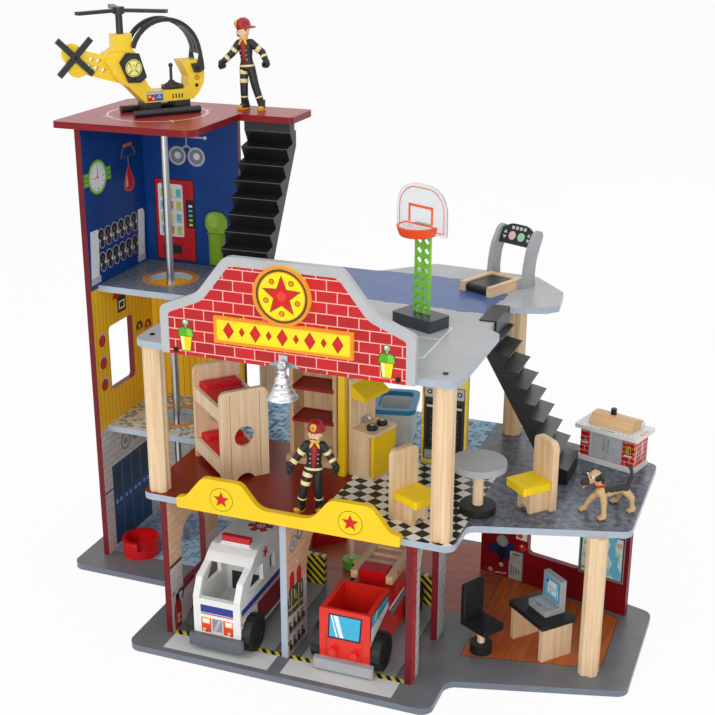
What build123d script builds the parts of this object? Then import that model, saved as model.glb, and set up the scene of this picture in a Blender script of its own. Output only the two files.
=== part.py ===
from build123d import *
import math
import os

os.makedirs("parts", exist_ok=True)

# Toy fire station playset: painted boards, turned and sawn wood, moulded plastic and small accessories.
# X runs to the right along the front, Y runs to the back, Z is up, all in millimetres.
# While a piece is made, X is zero at the left bay wall, Y at the fronts of the bay walls and
# Z at the underside of the base. save() moves every piece so that the origin is under the middle.

# Driving sizes of the building
board = 8.0                  # thickness of every wall, floor and deck board
bay_pitch = 150.0            # from one bay wall to the next
storey_one = 190.0           # top of the main floor
storey_two = 380.0           # top of the court deck
main_headroom = storey_two - board - storey_one
roof_top = 588.0             # top of the tower roof
overrun = 2.0                # how far a cutting tool passes the face that it cuts
seat_gap = 0.3               # rest gap between pieces of different bodies
cut_radius = 1.0             # eased corner of a sawn board

# Plan of the base board
apron_left = -33.0
apron_front = -39.0
apron_right = 342.0
wing_front_near = 22.0
wing_front_far = 75.0
wing_right = 536.0
wing_back_right = 252.0
wing_back_bend_x = 420.0
wing_back_bend_y = 290.0
wing_back_left = 330.0
base_back = 352.0
tab_left = -198.0
tab_front = 104.0
base_round = 15.0
base_round_back = 6.0

# Plan of the main floor and its terrace
main_left = -24.0
main_front = 0.0
main_right = 352.0
terrace_front_near = 54.0
terrace_front_far = 103.0
terrace_right = 523.0
terrace_back_right = 289.0
terrace_bend_x = 405.0
terrace_bend_y = 319.0
main_bend_x = 337.0
main_back = 345.0
main_round = 12.0

# Plan of the court deck and the rear deck
deck_left = -20.0
deck_front = -7.0
deck_right = 354.0
deck_seam = 170.0
deck_step_right = 338.0
deck_corner_back = 155.0
notch_back = 254.0
lookout_front_x = 382.0
lookout_front_y = 268.0
lookout_tip_x = 394.0
lookout_tip_y = 282.0
lookout_back_x = 388.0
lookout_back_y = 334.0
deck_peak_right_x = 342.0
deck_peak_right_y = 389.0
deck_peak_x = 204.0
deck_peak_y = 400.0
deck_valley_x = 144.0
deck_back = 342.0
deck_round = 14.0

# Tower
tower_left = -170.0
tower_front = 138.5
tower_back = 283.5
tower_right = -25.0
tower_floor_front = 156.0
roof_left = -192.0
roof_front = 126.0
roof_right = -6.0
roof_tab_front = 249.0
roof_tab_right = 65.0
roof_back = 312.0
pole_x = -92.0
pole_y = 215.0

# The origin is under the middle of the whole outline
origin_x = (tab_left + wing_right) / 2
origin_y = (apron_front + deck_peak_y) / 2

base_top = board
main_under = storey_one - board
deck_under = storey_two - board
roof_under = roof_top - board


def save(name, *solids):
    """Write one sub-part, moved to the common origin."""
    placed = [Pos(-origin_x, -origin_y, 0) * solid for one in solids for solid in one.solids()]
    whole = placed[0] if len(placed) == 1 else Compound(children=placed)
    whole.label = name
    export_step(whole, "parts/" + name + ".step")
    made[name] = whole


made = {}


def block(x0, x1, y0, y1, z0, z1):
    """A box between two limits on each axis."""
    corner = (Align.MIN, Align.MIN, Align.MIN)
    return Pos(x0, y0, z0) * Box(x1 - x0, y1 - y0, z1 - z0, align=corner)


def outline_face(corners):
    """A flat face from corners of (u, v, rounding)."""
    points = [(u, v) for u, v, rounding in corners]
    roundings = [rounding for u, v, rounding in corners]
    return make_face(FilletPolyline(*points, radius=roundings, close=True))


def lying_board(corners, under, thickness=board):
    """A board that lies flat, from its plan outline."""
    return Pos(0, 0, under) * extrude(outline_face(corners), thickness)


def side_board(corners, left, thickness=board):
    """A standing board across the front-to-back direction, from corners in Y and Z."""
    plane = Plane(origin=(left, 0, 0), x_dir=(0, 1, 0), z_dir=(1, 0, 0))
    return extrude(plane * outline_face(corners), thickness)


def front_board(corners, front, thickness=board):
    """A standing board that faces the front, from corners in X and Z."""
    plane = Plane(origin=(0, front, 0), x_dir=(1, 0, 0), z_dir=(0, -1, 0))
    return extrude(plane * outline_face(corners), -thickness)


def upright(x, y, z0, z1, radius):
    """A round bar that stands up."""
    corner = (Align.CENTER, Align.CENTER, Align.MIN)
    return Pos(x, y, z0) * Cylinder(radius, z1 - z0, align=corner)


def bar(start, end, radius, end_radius=None):
    """A round bar from one point to another, tapered when end_radius is given."""
    start, end = Vector(start), Vector(end)
    plane = Plane(origin=start, z_dir=end - start)
    length = (end - start).length
    if end_radius is None or end_radius == radius:
        return Part(Solid.make_cylinder(radius, length, plane).wrapped)
    return Part(Solid.make_cone(radius, end_radius, length, plane).wrapped)


def turned(profile, x, y, z):
    """A turned piece about an upright axis, from corners of (radius, height, rounding)."""
    section = Plane.XZ * outline_face(profile)
    return Pos(x, y, z) * revolve(section, Axis.Z)


def rounded_box(x0, x1, y0, y1, z0, z1, rounding):
    """A box whose upright corners are rounded."""
    corners = [(x0, y0, rounding), (x1, y0, rounding), (x1, y1, rounding), (x0, y1, rounding)]
    return lying_board(corners, z0, z1 - z0)


def make_base():
    """Base board: an apron before the bays, a wing under the terrace and a tab under the tower."""
    corners = [
        (apron_left, apron_front, base_round), (apron_right, apron_front, base_round),
        (apron_right, wing_front_near, base_round), (wing_right, wing_front_far, base_round),
        (wing_right, wing_back_right, base_round),
        (wing_back_bend_x, wing_back_bend_y, base_round), (wing_back_left, base_back, base_round),
        (tab_left, base_back, base_round_back), (tab_left, tab_front, base_round),
        (apron_left, tab_front, base_round),
    ]
    save("base_plate", lying_board(corners, 0))


def make_main_floor():
    """Main floor with its terrace to the right."""
    corners = [
        (main_left, main_front, main_round), (main_right, main_front, main_round),
        (main_right, terrace_front_near, main_round),
        (terrace_right, terrace_front_far, main_round),
        (terrace_right, terrace_back_right, main_round),
        (terrace_bend_x, terrace_bend_y, main_round), (main_bend_x, main_back, main_round),
        (main_left, main_back, main_round),
    ]
    save("main_floor", lying_board(corners, main_under))


def make_decks():
    """Court deck in front and rear deck with a lookout corner behind the seam."""
    court = [
        (deck_left, deck_front, deck_round), (deck_right, deck_front, deck_round),
        (deck_right, deck_corner_back, cut_radius), (deck_step_right, deck_seam, cut_radius),
        (deck_left, deck_seam, cut_radius),
    ]
    rear = [
        (deck_left, deck_seam, cut_radius), (deck_step_right, deck_seam, cut_radius),
        (deck_step_right, notch_back, cut_radius),
        (lookout_front_x, lookout_front_y, deck_round / 2),
        (lookout_tip_x, lookout_tip_y, deck_round / 2),
        (lookout_back_x, lookout_back_y, deck_round),
        (deck_peak_right_x, deck_peak_right_y, deck_round),
        (deck_peak_x, deck_peak_y, 0), (deck_valley_x, deck_back, deck_round),
        (deck_left, deck_back, cut_radius),
    ]
    save("court_deck", lying_board(court, deck_under))
    save("rear_deck", lying_board(rear, deck_under))


# Tower window, in Y and Z
tower_window_front = 173.0
tower_window_back = 232.0
tower_window_sill = 233.0
tower_window_head = 319.0
window_round = 5.0
# Hole in the tower floors for the pole
pole_radius = 5.0
pole_hole_radius = 28.0


def make_tower():
    """Tower: side wall with a window, back wall, two floors with a round hole, roof and pole."""
    side = side_board([
        (tower_front, base_top, 0), (tower_back, base_top, 0),
        (tower_back, roof_under, 0), (tower_front, roof_under, 0),
    ], tower_left)
    window = side_board([
        (tower_window_front, tower_window_sill, window_round),
        (tower_window_back, tower_window_sill, window_round),
        (tower_window_back, tower_window_head, window_round),
        (tower_window_front, tower_window_head, window_round),
    ], tower_left - overrun, board + 2 * overrun)
    save("tower_side_wall", side - window)
    save("tower_back_wall", block(tower_left, tower_right, tower_back, tower_back + board,
                                  base_top, roof_under))
    floors = []
    for right, top in ((main_left, storey_one), (deck_left, storey_two)):
        floor = block(tower_left + board, right, tower_floor_front, tower_back, top - board, top)
        floors.append(floor - upright(pole_x, pole_y, top - board - overrun, top + overrun,
                                      pole_hole_radius))
    save("tower_floors", *floors)
    roof = [
        (roof_left, roof_front, window_round), (roof_right, roof_front, base_round),
        (roof_right, roof_tab_front, 0), (roof_tab_right, roof_tab_front, window_round),
        (roof_tab_right, roof_back, window_round), (roof_left, roof_back, base_round),
    ]
    save("tower_roof", lying_board(roof, roof_under))
    save("fire_pole", upright(pole_x, pole_y, base_top, roof_under, pole_radius))


# Bay walls: depths, openings and arches
bay_window_front = 30.0
bay_window_back = 92.0
bay_window_sill = 56.0
bay_arch_head = 140.0
bay_arch_round = 28.0
bay_door_front = 128.0
bay_door_back = 204.0
left_wall_back = 236.0
leg_depth = 58.0
bracket_reach = 69.0
bracket_depth = leg_depth + bracket_reach
bracket_round = 0.7 * bracket_reach
side_door_front = 26.0
side_door_back = 97.0
side_door_head = 170.0
side_door_round = 30.0


def arched_opening(front, back, sill, head, rounding, left):
    """Cutter for an opening with a rounded head; a sill of zero height opens at the floor."""
    return side_board([
        (front, sill, 0), (back, sill, 0), (back, head, rounding), (front, head, rounding),
    ], left - overrun, board + 2 * overrun)


def make_bay_walls():
    """Three walls between base and main floor, each with its own arched openings."""
    whole = [(0, base_top, 0), (left_wall_back, base_top, 0),
             (left_wall_back, main_under, 0), (0, main_under, 0)]
    left = side_board(whole, 0)
    left -= arched_opening(bay_window_front, bay_window_back, bay_window_sill,
                           bay_arch_head, bay_arch_round, 0)
    left -= arched_opening(bay_door_front, bay_door_back, base_top - overrun,
                           bay_arch_head, bay_arch_round, 0)
    save("bay_wall_left", left)
    centre = side_board([
        (0, base_top, 0), (leg_depth, base_top, 0), (leg_depth, bay_arch_head, bracket_round),
        (bracket_depth, bay_arch_head, cut_radius), (bracket_depth, main_under, 0),
        (0, main_under, 0),
    ], bay_pitch)
    save("bay_wall_centre", centre)
    right = side_board([
        (0, base_top, 0), (bracket_depth, base_top, 0),
        (bracket_depth, main_under, 0), (0, main_under, 0),
    ], 2 * bay_pitch)
    right -= arched_opening(side_door_front, side_door_back, base_top - overrun,
                            side_door_head, side_door_round, 2 * bay_pitch)
    save("bay_wall_right", right)


# Striped stops at the back of each bay
stop_front = 170.0
stop_width = 112.0
stop_height = 40.0


def make_hazard_stops():
    """A low striped board that ends each bay."""
    stops = []
    for left_wall in (0, bay_pitch):
        middle = left_wall + (board + bay_pitch) / 2
        stops.append(block(middle - stop_width / 2, middle + stop_width / 2,
                           stop_front, stop_front + board, base_top, base_top + stop_height))
    save("hazard_stops", *stops)


# Office wall: where its left front corner stands, how it is turned and its window
office_wall_x = 310.0
office_wall_y = 281.0
office_wall_turn = -14.0
office_wall_length = 202.0
office_window_left = 67.0
office_window_right = 137.0
office_window_sill = 52.0
office_window_head = 150.0


def make_office_wall():
    """Slanted back wall of the office, with a window."""
    wall = front_board([
        (0, base_top, 0), (office_wall_length, base_top, 0),
        (office_wall_length, main_under, 0), (0, main_under, 0),
    ], 0)
    wall -= front_board([
        (office_window_left, office_window_sill, window_round),
        (office_window_right, office_window_sill, window_round),
        (office_window_right, office_window_head, window_round),
        (office_window_left, office_window_head, window_round),
    ], -overrun, board + 2 * overrun)
    save("office_wall", Pos(office_wall_x, office_wall_y, 0) * Rot(0, 0, office_wall_turn) * wall)


# Inner walls of the main floor
partition_x = 173.5
partition_front = 121.0
partition_depth = 74.0
oven_wall_left = 253.0
oven_wall_right = 309.0
oven_wall_front = 194.0


def make_interior_walls():
    """Partition beside the kitchen and the panel that carries the oven picture."""
    partition = block(partition_x, partition_x + board, partition_front,
                      partition_front + partition_depth, storey_one, deck_under)
    oven = block(oven_wall_left, oven_wall_right, oven_wall_front, oven_wall_front + board,
                 storey_one, deck_under)
    save("interior_walls", partition, oven)


# Posts: a square bar with bevelled edges and a cove down each face
post_width = 22.0
post_bevel = 5.0
cove_radius = 3.0
cove_sink_share = 0.55
front_post_y = 15.0
left_post_x = -7.0
right_post_x = 334.0
back_post_y = 322.0
terrace_post_x = 488.0
terrace_post_y = 98.0
post_places = [
    (left_post_x, front_post_y, storey_one, deck_under),
    (right_post_x, front_post_y, storey_one, deck_under),
    (right_post_x, back_post_y, storey_one, deck_under),
    (left_post_x, back_post_y, storey_one, deck_under),
    (terrace_post_x, terrace_post_y, base_top, main_under),
]


def post(x, y, z0, z1):
    """One bevelled post with coves in its front and right faces."""
    half = post_width / 2
    flat = half - post_bevel
    section = make_face(Polyline((-half, -flat), (-flat, -half), (flat, -half), (half, -flat),
                                 (half, flat), (flat, half), (-flat, half), (-half, flat),
                                 close=True))
    stick = extrude(section, z1 - z0)
    reach = half + cove_radius * cove_sink_share
    for cove_x, cove_y in ((0, -reach), (reach, 0)):
        stick -= upright(cove_x, cove_y, -overrun, z1 - z0 + overrun, cove_radius)
    return Pos(x, y, z0) * stick


def make_posts():
    """Five posts between the floors."""
    save("posts", *[post(*place) for place in post_places])


# Sign board over the bays
sign_left = 21.0
sign_right = 311.0
sign_drop = 6.5              # how far the sign hangs below the deck top
sign_under = storey_two - sign_drop
sign_height = 115.5
sign_shoulder = 53.0
sign_knee = 72.0
sign_knee_inset = 45.0
sign_plateau_inset = 79.0
sign_shoulder_round = 8.0
sign_knee_round = 30.0
sign_plateau_round = 14.0
sign_arch_half = 20.0
sign_arch_rise = 8.5
sign_middle = (sign_left + sign_right) / 2
sign_front = deck_front - board
# Raised plaque with a round medallion
plaque_thickness = 4.0
plaque_half_width = 79.0
plaque_rise = 20.5
plaque_under = sign_under + plaque_rise
plaque_height = 29.5
medallion_radius = 32.5
medallion_centre_height = 80.0
plaque_edge = 3.0
plaque_sink = 1.2


def make_sign():
    """Sign board with an ogee top and a small arch over the bell, and its plaque."""
    top = sign_under + sign_height
    corners = [
        (sign_left, sign_under, cut_radius), (sign_right, sign_under, cut_radius),
        (sign_right, sign_under + sign_shoulder, sign_shoulder_round),
        (sign_right - sign_knee_inset, sign_under + sign_knee, sign_knee_round),
        (sign_right - sign_plateau_inset, top, sign_plateau_round),
        (sign_left + sign_plateau_inset, top, sign_plateau_round),
        (sign_left + sign_knee_inset, sign_under + sign_knee, sign_knee_round),
        (sign_left, sign_under + sign_shoulder, sign_shoulder_round),
    ]
    sign = front_board(corners, sign_front)
    arch_radius = (sign_arch_half ** 2 + sign_arch_rise ** 2) / (2 * sign_arch_rise)
    arch_centre = sign_under + sign_arch_rise - arch_radius
    sign -= bar((sign_middle, sign_front - overrun, arch_centre),
                (sign_middle, deck_front + overrun, arch_centre), arch_radius)
    save("sign_board", sign)
    face = sign_front - plaque_thickness
    panel = block(sign_middle - plaque_half_width, sign_middle + plaque_half_width,
                  face, sign_front, plaque_under, plaque_under + plaque_height)
    sunk = block(sign_middle - plaque_half_width + plaque_edge,
                 sign_middle + plaque_half_width - plaque_edge,
                 face - overrun, face + plaque_sink,
                 plaque_under + plaque_edge, plaque_under + plaque_height - plaque_edge)
    height = sign_under + medallion_centre_height
    medallion = bar((sign_middle, face, height), (sign_middle, sign_front, height),
                    medallion_radius)
    rim = bar((sign_middle, face - overrun, height), (sign_middle, face + plaque_sink, height),
              medallion_radius - plaque_edge)
    save("sign_plaque", (panel - sunk) + (medallion - rim))


# Balcony rail
rail_left = 26.0
rail_right = 295.0
rail_under = 183.0
rail_end_height = 13.0
rail_valley_height = 14.5
hump_height = 42.0
hump_centre_inset = 57.0
hump_half_top = 24.0
hump_half_foot = 46.0
hump_top_round = 13.0
hump_foot_round = 22.0
rail_end_round = 2.0


def make_rail():
    """Balcony rail with two humps along the front of the main floor."""
    left_hump = rail_left + hump_centre_inset
    right_hump = rail_right - hump_centre_inset
    end = rail_under + rail_end_height
    valley = rail_under + rail_valley_height
    top = rail_under + hump_height
    corners = [
        (rail_left, rail_under, rail_end_round), (rail_right, rail_under, rail_end_round),
        (rail_right, end, rail_end_round),
        (right_hump + hump_half_foot, valley, hump_foot_round / 2),
        (right_hump + hump_half_top, top, hump_top_round),
        (right_hump - hump_half_top, top, hump_top_round),
        (right_hump - hump_half_foot, valley, hump_foot_round),
        (left_hump + hump_half_foot, valley, hump_foot_round),
        (left_hump + hump_half_top, top, hump_top_round),
        (left_hump - hump_half_top, top, hump_top_round),
        (left_hump - hump_half_foot, valley, hump_foot_round / 2),
        (rail_left, end, rail_end_round),
    ]
    save("balcony_rail", front_board(corners, main_front - board))


# Moulded stairs: both flights come from one mould
step_count = 10
top_step_drop = 2.0          # from the deck down to the top step of the lower flight
packer_height = 12.0         # from the top step of the upper flight up to the roof board
lower_stair_height = storey_two - storey_one - top_step_drop
upper_stair_height = roof_under - storey_two - packer_height
step_run = 10.75
stair_width = 61.0
nose_undercut = 8.0
nose_drop_share = 0.8
stair_skin = 2.5
stringer_offset = 18.5
landing_depth = 18.0
landing_plate = 1.6
lower_stair_left = 336.0
lower_stair_front = 192.5
upper_stair_left = -3.0
upper_stair_nose = 257.5
packer_depth = 14.0


def flight(top):
    """One flight that goes down towards +X, its top nosing over x = 0 and its foot on z = 0."""
    step_rise = top / step_count
    nose_drop = nose_drop_share * step_rise
    nosings = []
    for step in range(step_count):
        nose_x = step * step_run
        nose_z = top - step * step_rise
        nosings += [(nose_x, nose_z), (nose_x - nose_undercut, nose_z - nose_drop)]
    last = nosings[-2]
    foot = (last[0], 0)
    back_foot = (last[0] - stringer_offset, 0)
    back_top = (-stringer_offset, top)
    outer = nosings[:-1] + [foot, back_foot, (-stringer_offset, top - step_rise), back_top]
    profile = Plane.XZ * make_face(Polyline(*outer, close=True))
    whole = extrude(profile, -stair_width)
    inner = [(x - stair_skin, z - stair_skin) for x, z in nosings[:-1]]
    inner += [(foot[0] - stair_skin, -overrun),
              (back_foot[0] - stringer_offset, -overrun),
              (-2 * stringer_offset, top - step_rise), (-2 * stringer_offset, top - stair_skin)]
    hollow = Pos(0, stair_skin, 0) * extrude(
        Plane.XZ * make_face(Polyline(*inner, close=True)), -(stair_width - 2 * stair_skin))
    return whole - hollow


def make_stairs():
    """Lower flight from the rear deck to the terrace, upper flight from the roof to the deck."""
    lower = Pos(lower_stair_left, lower_stair_front, storey_one) * flight(lower_stair_height)
    edge = deck_step_right + seat_gap
    back = lower_stair_front + stair_width
    lower -= block(lower_stair_left - 2 * stringer_offset, edge,
                   lower_stair_front - overrun, back + overrun,
                   deck_under - seat_gap, storey_two + overrun)
    plate = block(deck_step_right - landing_depth, edge + stair_skin, lower_stair_front, back,
                  storey_two, storey_two + landing_plate)
    riser = block(edge, edge + stair_skin, lower_stair_front, back,
                  storey_two - lower_stair_height / step_count - landing_plate,
                  storey_two + landing_plate)
    save("lower_stairs", lower + plate + riser)
    upper = (Pos(upper_stair_left, upper_stair_nose, storey_two) * Rot(0, 0, -90)
             * flight(upper_stair_height))
    packer = block(upper_stair_left, upper_stair_left + stair_width,
                   upper_stair_nose, upper_stair_nose + packer_depth,
                   storey_two + upper_stair_height - landing_plate, roof_under)
    save("upper_stairs", upper + packer)


# Screw heads
screw_radius = 3.0
screw_height = 1.0
screw_slot = 0.9
deck_screws = [(left_post_x, front_post_y), (right_post_x, front_post_y)]
sign_screw_inset = 18.0
sign_screw_height = 5.0


def screw_head():
    """Low head with one slot, seated on z = 0."""
    head = upright(0, 0, 0, screw_height, screw_radius)
    return head - block(-screw_radius, screw_radius, -screw_slot / 2, screw_slot / 2,
                        screw_height / 2, screw_height + overrun)


def make_screws():
    """Heads over the posts and on the face of the sign."""
    heads = [Pos(x, y, storey_two) * screw_head() for x, y in deck_screws]
    for x in (sign_left + sign_screw_inset, sign_right - sign_screw_inset):
        heads.append(Pos(x, sign_front, sign_under + sign_screw_height) * Rot(90, 0, 0)
                     * screw_head())
    save("screws", *heads)


# Bell and its hanger on the sign
bell_pivot_rise = 5.5
bell_pivot_height = sign_under + bell_pivot_rise
bell_rim_drop = 43.0
bell_rim_radius = 18.5
bell_lip = 3.0
bell_waist_radius = 10.0
bell_waist_drop = 29.0
bell_crown_radius = 7.0
bell_crown_drop = 7.0
bell_wall = 2.0
eye_radius = 5.0
eye_thickness = 4.0
pin_radius = 1.8
running_fit = 0.05
bell_stand_off = 5.5
hanger_width = 10.0
hanger_height = 15.0
hanger_plate = 2.0
pin_head_radius = 3.2


def make_bell():
    """Bell that swings on a pin fixed to the sign."""
    x, y, z = sign_middle, sign_front - bell_stand_off, bell_pivot_height
    outside = [
        (0, -bell_rim_drop, 0), (bell_rim_radius, -bell_rim_drop, 0),
        (bell_rim_radius, -bell_rim_drop + bell_lip, 0),
        (bell_waist_radius, -bell_waist_drop, 0),
        (bell_crown_radius, -bell_waist_drop + bell_waist_radius, 0),
        (bell_crown_radius, -bell_crown_drop, 0), (0, -bell_crown_drop, 0),
    ]
    inside = [
        (0, -bell_rim_drop - overrun, 0),
        (bell_rim_radius - bell_wall, -bell_rim_drop - overrun, 0),
        (bell_rim_radius - bell_wall, -bell_rim_drop + bell_lip, 0),
        (bell_waist_radius - bell_wall, -bell_waist_drop, 0),
        (0, -bell_waist_drop, 0),
    ]
    bell = turned(outside, x, y, z) - turned(inside, x, y, z)
    half = eye_thickness / 2
    bell += bar((x, y - half, z), (x, y + half, z), eye_radius)
    bell += block(x - eye_radius / 2, x + eye_radius / 2, y - half, y + half,
                  z - bell_crown_drop - half, z)
    bell -= bar((x, y - eye_thickness, z), (x, y + eye_thickness, z), pin_radius + running_fit)
    save("bell", bell)
    plate = block(x - hanger_width / 2, x + hanger_width / 2, sign_front - hanger_plate,
                  sign_front, z - eye_radius, z - eye_radius + hanger_height)
    head_face = y - half - seat_gap
    pin = bar((x, sign_front - hanger_plate, z), (x, head_face, z), pin_radius)
    head = bar((x, head_face, z), (x, head_face - hanger_plate, z), pin_head_radius)
    collar = bar((x, sign_front - hanger_plate, z), (x, y + half + seat_gap, z), pin_head_radius)
    save("bell_hanger", plate + pin + head + collar)


# Helicopter, made with X forward, Y to its left and z = 0 on the roof
heli_x = -99.0
heli_y = 228.5
heli_heading = 52.0
heli_half_width = 12.0
heli_side = [
    (-27.0, 15.0), (36.0, 15.0), (44.0, 22.0), (51.0, 34.0), (52.5, 46.0), (46.0, 62.0),
    (22.0, 62.0), (27.0, 52.0), (32.0, 42.0), (31.0, 32.0), (26.5, 28.0), (-14.0, 28.0),
    (-22.0, 36.0), (-28.0, 48.0), (-32.0, 64.0), (-38.0, 80.0), (-38.0, 97.0), (-61.0, 97.0),
    (-61.0, 82.0), (-72.0, 74.0), (-74.0, 66.0), (-58.0, 42.0), (-46.0, 35.0),
]
heli_floor = 28.0
heli_bottom = 15.0
neck_top = 97.0
neck_foot = 76.5
neck_half_width = 7.4
boom_side = [(-66.0, 72.0), (-96.0, 80.0), (-108.0, 80.0), (-108.0, 56.0), (-92.0, 51.0),
             (-56.0, 40.0)]
boom_half_width = 4.0
lattice_cell = 5.2
lattice_holes = [(-79.0, 68.0), (-88.0, 70.0), (-74.0, 56.5), (-83.0, 59.5), (-92.0, 62.0)]
fin_half_width = 2.5
fin_lobes = [(-111.0, 77.0, 12.0), (-105.0, 62.0, 12.5)]
hexagon = [(-58.0, 65.0), (-49.0, 76.0), (-33.0, 74.5), (-24.5, 46.0), (-33.0, 40.0),
           (-48.0, 41.0)]
hexagon_thickness = 3.5
nose_lug = [(34.5, 58.0), (43.0, 58.0), (45.0, 70.0), (49.0, 70.0), (51.0, 58.0),
            (51.5, 50.0), (45.0, 46.5), (38.0, 47.0)]
canopy_pivot_x = 42.0
canopy_pivot_z = 53.0
canopy_centre_x = 3.5
canopy_centre_z = 67.5
canopy_outer = 45.5
canopy_inner = 41.5
canopy_front_angle = 2.0
canopy_rear_angle = 163.0
canopy_shell_angle = 58.0
canopy_steps = 14
canopy_strip = 4.2
groove_half = 1.3
groove_offset = 4.5
lug_thickness = 2.6
lever_left = 2.0
lever_right = 26.0
lever_half_width = 6.0
lever_dome = 5.0
lever_x = 13.0
lever_radius = 1.8
lever_ball = 2.8
lever_top = 56.0
skid_radius = 4.2
skid_spacing = 44.0
skid_front = 40.0
skid_rear = -46.0
skid_blocks = [-17.0, 22.0]
skid_block_half = 10.0
mast_radius = 4.2
mast_x = -50.0
mast_seat_depth = 12.0
rotor_height = 124.0
blade_length = 60.0
blade_width = 8.0
blade_thickness = 4.0
blade_turn = -43.0
hub_radius = 7.0
tail_x = -109.0
tail_z = 73.5
tail_blade_length = 29.0
tail_blade_width = 7.0
tail_blade_thickness = 3.2
tail_hub_radius = 5.5
tail_pin_radius = 2.0


def side_profile(points, half_width):
    """A solid that is the same across the width, from its outline in X and Z."""
    face = make_face(Polyline(*points, close=True))
    return Pos(0, half_width, 0) * extrude(Plane.XZ * face, 2 * half_width)


def heli_place():
    """Where the helicopter stands on the roof."""
    return Pos(heli_x, heli_y, roof_top) * Rot(0, 0, heli_heading)


def canopy_ring(outer, inner, half_width, start, stop):
    """Part of a ring about the canopy centre, between two angles above the forward axis."""
    angles = [math.radians(start + (stop - start) * step / canopy_steps)
              for step in range(canopy_steps + 1)]
    rim = [(canopy_centre_x + outer * math.cos(angle), canopy_centre_z + outer * math.sin(angle))
           for angle in angles]
    back = [(canopy_centre_x + inner * math.cos(angle), canopy_centre_z + inner * math.sin(angle))
            for angle in reversed(angles)]
    return side_profile(rim + back, half_width)


def make_heli_body(place):
    """Body with neck, hexagonal side plates, lattice boom, fin and the pins of its joints."""
    body = side_profile(heli_side, heli_half_width)
    for side in (-1, 1):
        near = side * neck_half_width
        far = side * (heli_half_width + overrun)
        body -= block(2 * skid_rear, -lever_half_width, min(near, far), max(near, far),
                      neck_foot, neck_top + overrun)
    boom = side_profile(boom_side, boom_half_width)
    for hole_x, hole_z in lattice_holes:
        cell = Box(lattice_cell, 3 * boom_half_width, lattice_cell)
        boom -= Pos(hole_x, 0, hole_z) * Rot(0, 45, 0) * cell
    for lobe_x, lobe_z, radius in fin_lobes:
        boom += bar((lobe_x, -fin_half_width, lobe_z), (lobe_x, fin_half_width, lobe_z), radius)
    body += boom
    for side in (-1, 1):
        plate = side_profile(hexagon, hexagon_thickness / 2)
        body += Pos(0, side * (heli_half_width + hexagon_thickness / 2), 0) * plate
    body -= upright(mast_x, 0, neck_top - mast_seat_depth, neck_top + overrun,
                    mast_radius + running_fit)
    pin_end = -(boom_half_width + seat_gap + tail_blade_thickness)
    body += bar((tail_x, 0, tail_z), (tail_x, pin_end, tail_z), tail_pin_radius)
    body += bar((tail_x, 0, tail_z), (tail_x, -boom_half_width, tail_z), tail_hub_radius)
    axle = heli_half_width + seat_gap + lug_thickness
    body += bar((canopy_pivot_x, -axle, canopy_pivot_z), (canopy_pivot_x, axle, canopy_pivot_z),
                pin_radius)
    save("helicopter_body", place * body)


def make_canopy(place):
    """Canopy: a ribbed shell in front that goes over into two arches, hinged at the nose."""
    canopy = canopy_ring(canopy_outer, canopy_inner, heli_half_width,
                         canopy_front_angle, canopy_rear_angle)
    canopy -= canopy_ring(canopy_outer + overrun, canopy_inner - overrun,
                          heli_half_width - canopy_strip,
                          canopy_shell_angle, canopy_rear_angle + canopy_front_angle)
    for middle in (-groove_offset, groove_offset):
        groove = canopy_ring(canopy_inner + overrun, canopy_inner - overrun, groove_half,
                             0, canopy_shell_angle - canopy_front_angle)
        canopy -= Pos(0, middle, 0) * groove
    for side in (-1, 1):
        middle = side * (heli_half_width + seat_gap + lug_thickness / 2)
        canopy += Pos(0, middle, 0) * side_profile(nose_lug, lug_thickness / 2)
    bridge = side_profile([nose_lug[2], (nose_lug[2][0], nose_lug[2][1] + lug_thickness),
                           (nose_lug[3][0], nose_lug[3][1] + lug_thickness), nose_lug[3]],
                          heli_half_width + seat_gap + lug_thickness)
    canopy += bridge
    reach = heli_half_width + 2 * lug_thickness
    canopy -= bar((canopy_pivot_x, -reach, canopy_pivot_z),
                  (canopy_pivot_x, reach, canopy_pivot_z), pin_radius + running_fit)
    save("helicopter_canopy", place * canopy)


def make_rotors(place):
    """Main rotor with its mast, and tail rotor."""
    rotor = upright(mast_x, 0, neck_top - mast_seat_depth + seat_gap, rotor_height, mast_radius)
    rotor += upright(mast_x, 0, rotor_height - blade_thickness, rotor_height + blade_thickness,
                     hub_radius)
    for turn in (0, 120, 240):
        blade = block(0, blade_length, -blade_width / 2, blade_width / 2,
                      rotor_height - blade_thickness / 2, rotor_height + blade_thickness / 2)
        rotor += Pos(mast_x, 0, 0) * Rot(0, 0, blade_turn + turn) * blade
    save("main_rotor", place * rotor)
    face = -(boom_half_width + seat_gap)
    tail = bar((tail_x, face, tail_z), (tail_x, face - tail_blade_thickness - 2 * seat_gap, tail_z),
               tail_hub_radius)
    for turn in (45, 135):
        blade = Box(2 * tail_blade_length, tail_blade_thickness, tail_blade_width)
        tail += Pos(tail_x, face - tail_blade_thickness / 2, tail_z) * Rot(0, turn, 0) * blade
    tail -= bar((tail_x, 0, tail_z), (tail_x, face - tail_blade_thickness - 3 * seat_gap, tail_z),
                tail_pin_radius + running_fit)
    save("tail_rotor", place * tail)


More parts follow.
